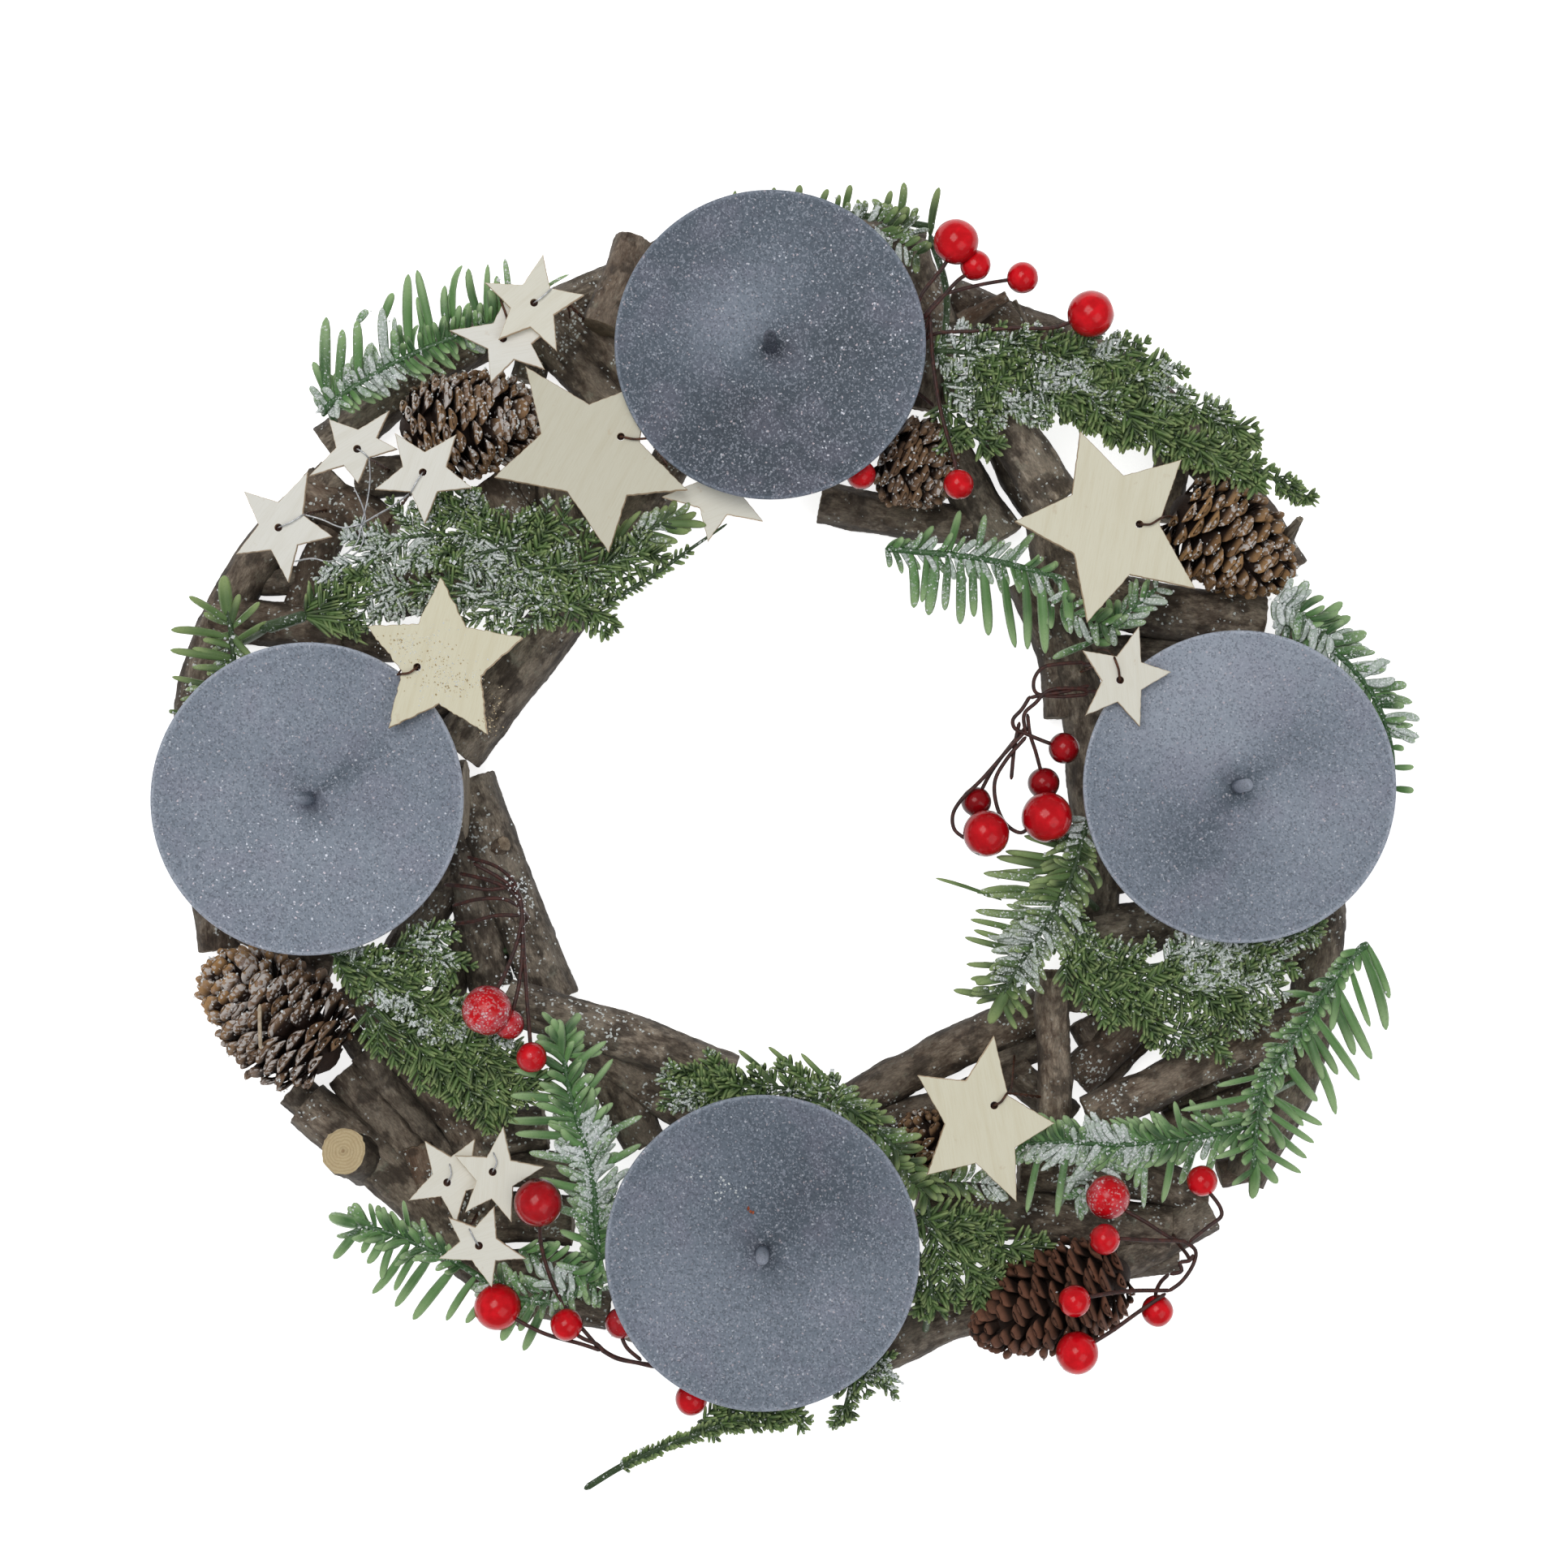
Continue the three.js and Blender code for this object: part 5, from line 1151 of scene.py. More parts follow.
        # ridge across the thick tip
        P = P + nor * (0.28 * th_tip * np.exp(-((ts - 0.86) / 0.1) ** 2)[:, None] * (1 - np.abs(loop_u))[None, :] * (loop_s > 0)[None, :])[..., None]
        v = np.vstack([P.reshape(-1, 3), root[None], (P[-1].mean(0) + fwd * 0.25)[None]])
        sides = 12
        n = len(ts) * sides
        j = np.arange(sides)
        tri = np.vstack([np.stack([np.full(sides, n), j, (j + 1) % sides], -1), np.stack([np.full(sides, n + 1), n - sides + (j + 1) % sides, n - sides + j], -1)])
        qd = tube_quads(len(ts), sides)
        if np.dot(np.cross(fwd, tan), nor) > 0:
            tri, qd = tri[:, ::-1], qd[:, ::-1]
            tri, qd = tri[:, ::-1], qd[:, ::-1]
        tipv = np.concatenate([np.repeat(ts, sides), [0, 1]])
        umbo = np.concatenate([(np.exp(-((ts - 0.95) / 0.045) ** 2)[:, None] * np.exp(-(loop_u / 0.35) ** 2)[None, :]).ravel(), [0, 0.9]])
        wv = warm * (1.0 if name != "cone_left_lower" else float(np.clip((y - 0.35) / 0.4, 0.1, 1)))
        B.add(v, tri, qd, tip=tipv, rand=rng.uniform() * (0.3 if wv > 0.8 else 1.0), umbo=umbo, frost=frost * rng.uniform(0.4, 1.3), warm=wv)
        if rad[2] > -0.1 and rng.uniform() < min(frost, 0.6) * 1.2:
            for _ in range(rng.poisson(5)):
                LOOSE.append((P[rng.integers(3, 8), rng.integers(0, 12)] + rad * 0.12 + rng.normal(0, 0.18, 3), rng.uniform(0.15, 0.45)))
    if name == "cone_left_lower":  # a loose straw across the scales
        wire(B, plan_line([(320, 1238, 35.6), (320, 1262, 36.4), (321, 1292, 35.0)]), 0.5, 7, 0.8, mat=1, tip=0.9, rand=0.0, umbo=0.0, frost=0.6, warm=1.0)
    B.make(name + ".scales", [CONE] + [STRAW] * (name == "cone_left_lower"), "wreath", replaces=[name])
    frosting(name)

# ------------------------------------------------------------------ greenery picks
PX = 5.0  # plan units per mm


class Greens:
    """Collects the blades, stems and frost of one pick."""

    def __init__(self, seed):
        self.rng = np.random.default_rng(seed)
        self.blade = []  # base xyz, tip xyz, bend xyz, width, frost, rand, style
        self.stem = []
        self.grain = []
        self.given = []

    def needle(self, base, tip, width, frost, bend=(0, 0, 0), style=0, rand=None):
        r = self.rng.uniform() if rand is None else rand
        self.blade.append((*base, *tip, *bend, width, frost, r, style))


def blades(build, rows, rng, style, mat):
    """Flat moulded needles (style 0) or thin round branchlets (style 1)."""
    a = np.array([r for r in rows if r[-1] == style], float)
    if not len(a):
        return
    base, tip, bend, width, frost, rand = a[:, 0:3], a[:, 3:6], a[:, 6:9], a[:, 9], a[:, 10], a[:, 11]
    if style == 0:
        ts = np.array([0, 0.1, 0.3, 0.52, 0.72, 0.86, 0.95, 1.0])
        wid = np.array([0.36, 0.64, 0.92, 1.0, 0.97, 0.84, 0.58, 0.16])
        sec = np.array([[-1, 0], [-0.5, 0.40], [0, 0.34], [0.5, 0.40], [1, 0], [0, -0.42]])
        rib = np.array([1.0, 0.25, 0.5, 0.25, 1.0, 0.2])
        flat = 0.62
    else:
        ts = np.array([0, 0.3, 0.65, 0.9, 1.0])
        wid = np.array([0.8, 1.0, 0.9, 0.6, 0.15])
        sec = np.array([[-1, 0], [0, 0.9], [1, 0], [0, -0.8]])
        rib = np.array([0.2, 0.6, 0.2, 0.1])
        flat = 0.9
    d = tip - base
    axis = unit(d)
    side = unit(np.cross(axis, np.array([0, 0, 1.0])) + 1e-9)
    nor = np.cross(side, axis)
    roll = rng.normal(0, 0.24, len(a))[:, None]
    side, nor = side * np.cos(roll) + nor * np.sin(roll), nor * np.cos(roll) - side * np.sin(roll)
    c = base[:, None] + d[:, None] * ts[None, :, None] + bend[:, None] * (4 * ts * (1 - ts))[None, :, None]
    half = 0.5 * width[:, None] * wid[None]
    v = (c[:, :, None] + side[:, None, None] * (half[..., None] * sec[:, 0])[..., None]
         + nor[:, None, None] * (half[..., None] * sec[:, 1] * flat)[..., None])
    N, R, S = len(a), len(ts), len(sec)
    q = tube_quads(R, S)
    per = R * S
    quads = (q[None] + (np.arange(N) * per)[:, None, None]).reshape(-1, 4)
    fan = np.array([[0, k + 1, k] for k in range(1, S - 1)] + [[per - S, per - S + k, per - S + k + 1] for k in range(1, S - 1)])
    tris = (fan[None] + (np.arange(N) * per)[:, None, None]).reshape(-1, 3)
    build.add(v.reshape(-1, 3), tris, quads, mat,
              t=np.broadcast_to(ts[None, :, None], (N, R, S)).ravel(), rand=np.repeat(rand, per),
              frost=np.repeat(frost, per), rib=np.broadcast_to(rib, (N, R, S)).ravel())


def line_px(points, step_mm=0.5):
    """Plan polyline with heights, resampled: plan points, heights and directions."""
    p = np.array([q if len(q) == 3 else (*q, 31.0) for q in points], float)
    w = p * (1 / PX, 1 / PX, 1)
    path, s = resample(spline(w), step=step_mm)
    t = unit(np.gradient(path, axis=0))
    return path * (PX, PX, 1), s, t


def fir_auto(G, points, t0, t1, gap, length, angle, sides, frost, width=2.0, rise=(-1.0, 2.5), zmax=36.0, thin=0.25):
    """Needles along a stem, alternating or on one side."""
    path, s, t = line_px(points)
    rng = G.rng
    gap = gap * 1.4
    n = int((t1 - t0) * s[-1] / gap) + 1
    for k in range(n):
        f = t0 + (t1 - t0) * (k + rng.uniform(-0.3, 0.3)) / max(n - 1, 1)
        i = int(np.clip(f, 0, 1) * (len(path) - 1))
        for side in sides:
            d = t[i][:2]
            nor = np.array([d[1], -d[0]]) * side
            a = math.radians(angle + rng.normal(0, 9))
            dirn = d * math.cos(a) + nor * math.sin(a)
            L = length * rng.uniform(0.75, 1.15) * (1 - thin * abs(2 * f - 1))
            b = path[i]
            e = b + np.array([dirn[0] * L * PX, dirn[1] * L * PX, rng.uniform(*rise)])
            e[2] = min(e[2], zmax)
            base, tip = plan(*b), plan(*e)
            bend = np.array([rng.normal(0, 0.06) * L, rng.normal(0, 0.06) * L, rng.uniform(0.02, 0.1) * L])
            G.needle(base, tip, width * rng.uniform(0.72, 1.12), float(np.clip(frost * rng.uniform(0.4, 1.4), 0, 1.2)), bend)


def fir_given(G, rows, frost=0.15, z=31.5, tip_z=33.0):
    """Needles placed one by one: base u, v, tip u, v, width."""
    rng = G.rng
    for r in rows:
        fr = r[5] if len(r) > 5 else frost
        zb, zt = z + rng.uniform(-0.8, 0.8), tip_z + rng.uniform(-1.2, 1.2)
        base, tip = plan(r[0], r[1], zb), plan(r[2], r[3], zt)
        L = np.linalg.norm(tip - base)
        bend = np.array([rng.normal(0, 0.03) * L, rng.normal(0, 0.03) * L, rng.uniform(0.02, 0.09) * L])
        G.given.append(len(G.blade))
        G.needle(base, tip, r[4] / PX * 1.0, fr * rng.uniform(0.6, 1.3), bend, rand=rng.uniform(0.35, 1.0))


def stem(G, points, r0, r1=None):
    G.stem.append((np.array([q if len(q) == 3 else (*q, 31.0) for q in points], float), r0, r0 if r1 is None else r1))


def spray(G, points, w0, w1, frost0, frost1, gap=1.9, needle=3.2, thick=1.0, z_spread=3.2, zmax=35.5, stem_r=0.7, sub=0.95):
    """A flat cypress spray: side branches along the stem, fine branchlets along each."""
    rng = G.rng
    path, s, t = line_px(points)
    stem(G, points, stem_r, stem_r * 0.55)
    gap, needle, thick, sub = gap * 1.9, needle * 1.18, thick * 1.05, sub * 1.75
    n = max(2, int(s[-1] / gap))
    for k in range(n):
        f = (k + rng.uniform(0.0, 0.9)) / n
        i = int(f * (len(path) - 1))
        frost = frost0 + (frost1 - frost0) * f
        for side in (1, -1):
            if rng.uniform() < 0.08:
                continue
            d = t[i][:2]
            nor = np.array([d[1], -d[0]]) * side
            a = math.radians(rng.uniform(28, 58))
            dirn = d * math.cos(a) + nor * math.sin(a)
            L = (w0 + (w1 - w0) * f) / PX / math.sin(a) * rng.uniform(0.65, 1.12) * (1 - 0.35 * max(0, f - 0.75) / 0.25)
            b = path[i].copy()
            e = b + np.array([dirn[0] * L * PX, dirn[1] * L * PX, rng.uniform(-0.6, 1.0) * z_spread])
            e[2] = min(e[2], zmax)
            m = (b + e) / 2 + np.array([rng.normal(0, 0.06) * L * PX, rng.normal(0, 0.06) * L * PX, rng.uniform(-0.3, 0.6)])
            side_branch(G, [b, m, e], frost, needle, thick, sub, zmax)
    side_branch(G, [path[int(len(path) * 0.6)], path[int(len(path) * 0.8)], path[-1]], frost1, needle, thick, sub, zmax)


def side_branch(G, pts, frost, needle, thick, sub, zmax):
    rng = G.rng
    line, s, t = line_px([tuple(p) for p in pts], 0.4)
    G.stem.append((np.array(pts), 0.34, 0.2))
    n = max(2, int(s[-1] / sub))
    for k in range(n):
        f = (k + rng.uniform(0.1, 0.9)) / n
        i = int(f * (len(line) - 1))
        for side in (1, -1):
            d = t[i][:2]
            nor = np.array([d[1], -d[0]]) * side
            a = math.radians(rng.uniform(30, 48))
            dirn = d * math.cos(a) + nor * math.sin(a)
            L = needle * rng.uniform(0.7, 1.1) * (1 - 0.55 * f)
            b = line[i]
            e = b + np.array([dirn[0] * L * PX, dirn[1] * L * PX, rng.uniform(-0.8, 1.6)])
            e[2] = min(e[2], zmax)
            G.needle(plan(*b), plan(*e), thick * rng.uniform(0.8, 1.2), float(np.clip(frost * rng.uniform(0.3, 1.5), 0, 1.3)), (0, 0, rng.uniform(0, 0.25)), 1)
    b, e = line[-2], line[-1] + (line[-1] - line[-2]) * 3
    e[2] = min(e[2], zmax)
    G.needle(plan(*b), plan(*e), thick, frost, (0, 0, 0), 1)


def finish_pick(name, G, main):
    B = Build(t=1, rand=1, frost=1, rib=1)
    for pts, r0, r1 in G.stem:
        wire(B, plan_line(pts), r0, 6, 1.0, taper=r1 / r0, mat=0, t=0.1, rand=0.25, frost=0.25, rib=0.0)
    drift = np.array(G.blade, float)
    on_stem = np.vstack([resample(spline(plan_line(pts)), step=0.6)[0] for pts, r0, r1 in G.stem])
    for i in G.given:  # a needle starts on its stem
        far = np.linalg.norm(on_stem - drift[i, 0:3], axis=1)
        if 0.7 < far.min() < 9.0:
            drift[i, 0:3] = on_stem[far.argmin()]
    where = (drift[:, 0:3] + drift[:, 3:6]) / 2
    drift[:, 10] *= np.clip(0.62 + 1.5 * noise3(where / 7.5, 71) + 0.5 * noise3(where / 2.6, 72), 0.05, 1.7)
    blades(B, drift, G.rng, 0, 0)
    blades(B, drift, G.rng, 1, 0)
    # frost grains lodge on the blades
    a = drift
    rng = G.rng
    grains = []
    size = []
    for row in a[a[:, 10] > 0.08]:
        k = rng.poisson(row[10] * (4.0 if row[12] == 0 else 2.6))
        for _ in range(k):
            f = rng.uniform(0.05, 0.95)
            pos = row[0:3] + (row[3:6] - row[0:3]) * f + row[6:9] * 4 * f * (1 - f)
            pos = pos + np.array([*rng.normal(0, 0.28 * row[9], 2), rng.uniform(0.1, 0.32) * row[9]])
            grains.append(pos)
            size.append(rng.uniform(0.16, 0.46) * (1.7 if rng.uniform() < 0.16 else 1))
    for pos, k in G.grain:
        grains.append(pos)
        size.append(k)
    o = B.make(name + ".needles", [main], "wreath", replaces=[name])
    if grains:
        F = Build()
        crystals(F, np.array(grains), np.array(size), rng, 0)
        F.make(name + ".frost", [FROST_MAT], "wreath", smooth=False)


def pick_fir_left():
    G = Greens(501)
    S = [(398, 512, 29), (405, 500, 31), (480, 450, 32), (560, 415, 32), (640, 385, 31)]
    stem(G, S, 0.9, 0.6)
    stem(G, [(405, 500, 31), (412, 520, 24), (420, 530, 12)], 0.9)
    fir_given(G, [
        (400, 505, 402, 391, 15), (416, 494, 422, 406, 12), (444, 476, 440, 395, 13), (410, 500, 386, 446, 11, 0.6), (404, 506, 382, 476, 10, 0.7), (440, 398, 453, 382, 10), (472, 443, 471, 379, 13), (471, 398, 484, 361, 11),
        (480, 428, 486, 391, 8), (504, 433, 503, 338, 13), (533, 418, 514, 333, 12), (515, 410, 514, 366, 8), (541, 418, 557, 356, 10), (562, 414, 569, 327, 11),
        (592, 392, 577, 331, 11), (600, 400, 601, 326, 9), (630, 388, 622, 319, 8), (645, 382, 701, 338, 5), (612, 380, 612, 340, 10), (552, 412, 548, 352, 10)], 0.55)
    fir_auto(G, S, 0.05, 1.0, 1.5, 9, 62, (1,), 0.35, 2.2, zmax=36)
    fir_auto(G, S, 0.05, 1.0, 1.3, 8, 58, (-1,), 0.9, 1.9, rise=(-2.5, 1.0))
    fir_auto(G, S, 0.1, 1.0, 1.6, 5, 75, (1, -1), 0.9, 1.8, rise=(1.0, 3.5))
    fir_auto(G, [(440, 478, 31), (412, 492, 31), (402, 508, 29)], 0.1, 0.9, 1.4, 5, 50, (1, -1), 0.9, 2.0)
    finish_pick("fir_pick_left", G, FIR)


def pick_upper_left():
    G = Greens(502)
    # outer left sprig
    fir_given(G, [
        (279, 763, 276, 709, 18, 0.05), (291, 770, 295, 732, 10, 0.05), (276, 767, 233, 735, 10, 0.05), (276, 770, 251, 755, 9), (279, 788, 211, 776, 11), (279, 812, 210, 801, 10),
        (257, 812, 237, 799, 9, 0.4), (272, 824, 237, 822, 9, 0.7), (253, 837, 212, 834, 8), (222, 877, 208, 876, 6), (295, 774, 320, 742, 10), (300, 790, 330, 766, 9), (268, 840, 228, 850, 9, 0.7),
        (282, 800, 250, 788, 9), (262, 858, 222, 862, 8, 0.5), (290, 780, 310, 810, 9)], 0.12, z=31, tip_z=31.5)
    stem(G, [(279, 740, 31), (285, 780, 31), (287, 830, 30), (270, 870, 28), (256, 880, 14)], 0.8)
    fir_auto(G, [(284, 780, 31), (280, 830, 30), (262, 872, 28)], 0, 1, 1.3, 6.5, 55, (1, -1), 0.75, 1.8, rise=(-1, 1.0), zmax=33)
    # cut green stem with its fan
    stem(G, [(327, 774, 32), (350, 767, 32), (378, 758, 32)], 1.65, 1.5)
    for (u, v) in [(408, 786), (421, 788), (434, 786), (446, 788), (454, 795), (398, 776), (428, 762), (440, 770), (412, 748), (430, 745)]:
        b = plan(374 + G.rng.uniform(-6, 6), 758, 32)
        G.needle(b, plan(u, v, 32.5 + G.rng.uniform(-1, 1)), 1.1, 0.1, (0, 0, 0.4), 1)
    spray(G, [(366, 760, 31.6), (400, 752, 32), (436, 748, 32)], 40, 24, 0.1, 0.3, 1.4, 5.0, 1.0, 2.0, 33.5)
    stem(G, [(327, 774, 32), (318, 780, 26), (300, 790, 12)], 1.2)
    # frosted body between the stars
    spray(G, [(720, 735, 30.5), (640, 690, 31), (560, 660, 31.5), (470, 672, 32), (425, 720, 31)], 52, 46, 0.35, 1.0, 1.6, 4.4, 1.05, 3.4, 33.6)
    spray(G, [(690, 752, 30), (620, 740, 31), (530, 720, 31.5), (452, 738, 31.5)], 40, 38, 0.3, 0.9, 1.7, 4.2, 1.0, 3.0, 34.0)
    spray(G, [(600, 650, 31), (560, 626, 31.5), (540, 616, 31.6)], 40, 26, 0.7, 0.9, 1.6, 4.0, 1.0, 2.4, 34.0)
    spray(G, [(560, 690, 31), (640, 668, 31.8), (700, 640, 32)], 44, 28, 0.7, 0.6, 1.7, 4.0, 1.0, 2.6, 33.6)
    spray(G, [(640, 700, 31), (700, 700, 31.4), (770, 690, 32), (800, 672, 32)], 46, 26, 0.2, 0.25, 1.5, 5.0, 1.05, 3.0, 33.6)
    spray(G, [(640, 730, 30.5), (700, 745, 31), (756, 762, 31)], 36, 20, 0.2, 0.1, 1.6, 4.6, 1.05, 2.6, 34)
    # fir tips to the right
    S = [(720, 690, 30), (770, 665, 31.5), (815, 645, 31.8)]
    stem(G, S, 0.8, 0.5)
    fir_given(G, [(819, 635, 870, 647, 11), (812, 647, 849, 655, 11), (796, 660, 835, 668, 11), (787, 670, 822, 678, 11), (806, 628, 858, 632, 11), (790, 640, 842, 640, 10, 0.5), (776, 652, 812, 660, 10, 0.5), (812, 622, 850, 620, 10, 0.6)], 0.15, z=31.2, tip_z=31.4)
    fir_auto(G, S, 0.2, 1, 1.4, 9, 35, (1, -1), 0.35, 2.1, rise=(-1.5, 0.2), zmax=33.0)
    # thin needled sprig into the open middle
    T = [(748, 742, 30), (771, 730, 31), (812, 704, 31), (847, 679, 31), (895, 646, 30.5)]
    stem(G, T, 0.75, 0.32)
    fir_auto(G, T, 0.05, 0.68, 0.9, 2.6, 48, (1, -1), 0.1, 0.95, rise=(-0.5, 1.2))
    stem(G, [(640, 700, 30.5), (650, 720, 22), (640, 760, 12)], 0.9)
    finish_pick("cypress_pick_upper_left", G, CYPRESS)


def pick_top_right():
    G = Greens(503)
    stem(G, [(900, 268, 30), (1000, 262, 31), (1080, 268, 31), (1150, 280, 31)], 0.9)
    fir_given(G, [
        (901, 252, 906, 235, 6), (946, 250, 954, 231, 8), (980, 252, 986, 228, 10), (1010, 256, 1020, 233, 9), (1039, 264, 1048, 228, 9), (1061, 268, 1065, 250, 9, 0.6), (1091, 262, 1098, 235, 9),
        (1107, 270, 1114, 225, 10), (1110, 295, 1119, 255, 10), (1131, 295, 1157, 231, 10), (1139, 292, 1150, 257, 9), (1080, 285, 1076, 245, 10, 0.9), (1095, 290, 1088, 250, 10, 0.9),
        (1068, 272, 1056, 246, 8, 0.9), (1122, 288, 1130, 256, 9, 0.4), (1030, 262, 1034, 240, 8, 0.5)], 0.15, z=31, tip_z=33)
    fir_auto(G, [(1040, 274, 31), (1085, 274, 32), (1120, 290, 32)], 0, 1, 1.0, 6.5, 65, (1,), 1.1, 1.8)
    fir_auto(G, [(1080, 280, 31), (1110, 300, 31), (1130, 312, 31)], 0, 1, 1.2, 6.0, 60, (1, -1), 1.0, 1.8, zmax=34)
    stem(G, [(1146, 290, 31), (1166, 360, 30.5), (1160, 450, 31)], 0.9)
    # frosted mass, then long green arcs
    spray(G, [(1150, 432, 31), (1220, 436, 32), (1300, 444, 32.5), (1380, 448, 32.5), (1432, 470, 32)], 34, 30, 0.95, 0.55, 1.5, 4.2, 1.05, 3.2, 35.5)
    spray(G, [(1160, 474, 31), (1230, 474, 32), (1310, 484, 33), (1380, 490, 33)], 36, 30, 1.0, 0.7, 1.5, 4.2, 1.05, 3.2, 35.5)
    spray(G, [(1170, 500, 30.5), (1240, 498, 31.5), (1300, 500, 32)], 28, 24, 0.8, 0.6, 1.6, 4.0, 1.0, 2.6, 35)
    spray(G, [(1190, 420, 31), (1270, 420, 32), (1340, 432, 32)], 22, 18, 0.8, 0.6, 1.7, 3.6, 1.0, 2.6, 35)
    spray(G, [(1297, 475, 32), (1380, 505, 33), (1440, 530, 33), (1500, 560, 33), (1552, 598, 32)], 34, 14, 0.35, 0.1, 1.2, 5.4, 1.1, 2.6, 36)
    spray(G, [(1330, 500, 32), (1400, 528, 33), (1460, 552, 33), (1520, 580, 33)], 26, 12, 0.2, 0.1, 1.2, 5.4, 1.1, 2.4, 36)
    spray(G, [(1380, 470, 32), (1440, 490, 33), (1500, 516, 33), (1550, 546, 32)], 22, 12, 0.5, 0.15, 1.3, 5.0, 1.05, 2.4, 36)
    spray(G, [(1400, 440, 32), (1440, 452, 32)], 14, 8, 0.3, 0.2, 1.4, 3.6, 1.0, 1.8, 35)
    spray(G, [(1540, 572, 32), (1580, 596, 31.5), (1615, 615, 31)], 14, 10, 0.1, 0.1, 1.2, 3.4, 1.0, 1.6, 34)
    spray(G, [(1180, 510, 30), (1196, 534, 31), (1224, 550, 31)], 30, 16, 0.15, 0.1, 1.4, 4.4, 1.1, 2.0, 34)
    spray(G, [(1160, 500, 30), (1170, 530, 31), (1182, 548, 31)], 20, 12, 0.15, 0.1, 1.4, 4.4, 1.1, 2.0, 34)
    stem(G, [(1230, 474, 31), (1240, 490, 24), (1236, 500, 18)], 0.9)
    finish_pick("cypress_pick_top_right", G, CYPRESS)


def pick_right_inner():
    G = Greens(504)
    S = [(1092, 676, 30.5), (1131, 680, 31), (1182, 685, 31.5), (1233, 693, 31.5), (1310, 713, 31)]
    stem(G, S, 0.9, 0.8)
    fir_given(G, [
        (1122, 685, 1126, 749, 13), (1153, 695, 1144, 758, 15), (1182, 695, 1183, 769, 13), (1208, 703, 1218, 783, 13), (1233, 708, 1251, 798, 13), (1279, 713, 1288, 805, 14),
        (1325, 779, 1297, 811, 10), (1310, 723, 1317, 774, 14), (1126, 670, 1150, 648, 10), (1169, 672, 1183, 629, 11), (1207, 670, 1214, 634, 10), (1205, 688, 1228, 662, 10),
        (1243, 685, 1274, 657, 10), (1258, 712, 1266, 800, 12), (1196, 700, 1200, 760, 11), (1168, 692, 1164, 752, 11), (1140, 690, 1136, 742, 10), (1100, 676, 1122, 664, 9, 0.6)], 0.22, z=31, tip_z=30.5)
    fir_auto(G, S, 0.0, 1.0, 1.3, 8, 62, (-1,), 0.75, 2.0, rise=(-1.5, 0.5), zmax=33)
    fir_auto(G, S, 0.0, 0.9, 1.4, 6.5, 52, (1,), 0.6, 1.9, rise=(-1.0, 1.5), zmax=33)
    fir_auto(G, [(1348, 790, 29), (1392, 752, 30.5), (1424, 726, 30.5)], 0, 1, 1.3, 7, 40, (1, -1), 0.5, 2.0, zmax=33)
    fir_auto(G, [(1290, 740, 30), (1330, 760, 30.5), (1370, 772, 31)], 0, 1, 1.3, 7, 55, (1, -1), 0.85, 2.0, zmax=33)
    stem(G, [(1348, 790, 29), (1392, 752, 30.5), (1424, 726, 30.5)], 0.7)
    stem(G, [(1300, 712, 31), (1316, 730, 22), (1316, 750, 12)], 0.9)
    finish_pick("fir_pick_right_inner", G, FIR)


def pick_right_outer():
    G = Greens(505)
    S = [(1580, 750, 30.5), (1600, 776, 31), (1641, 800, 32), (1690, 854, 32), (1714, 921, 31), (1716, 974, 31)]
    stem(G, S, 0.9, 0.6)
    fir_given(G, [
        (1636, 781, 1684, 780, 16), (1641, 803, 1683, 800, 12), (1658, 827, 1706, 824, 13), (1679, 846, 1703, 843, 10), (1692, 859, 1722, 858, 12), (1700, 870, 1728, 868, 9), (1706, 886, 1733, 885, 9),
        (1708, 899, 1731, 897, 9), (1714, 921, 1730, 923, 8), (1716, 945, 1742, 945, 8), (1716, 972, 1742, 974, 9), (1620, 760, 1654, 742, 14, 0.5), (1600, 742, 1612, 716, 14, 0.5), (1626, 768, 1664, 760, 14, 0.4), (1585, 740, 1592, 712, 12, 0.6)], 0.2, z=31.5, tip_z=32.5)
    fir_auto(G, S, 0.0, 0.75, 1.0, 9, 55, (1,), 0.75, 2.3, zmax=36)
    fir_auto(G, S, 0.0, 1.0, 1.2, 8, 50, (-1,), 0.7, 2.1, rise=(-2.5, 0.0), zmax=32)
    fir_auto(G, [(1570, 740, 31), (1600, 752, 32), (1640, 786, 33)], 0, 1, 1.0, 7, 65, (1, -1), 1.1, 2.2, zmax=36)
    stem(G, [(1600, 776, 31), (1604, 786, 22), (1608, 800, 12)], 0.9)
    finish_pick("fir_pick_right_outer", G, FIR)


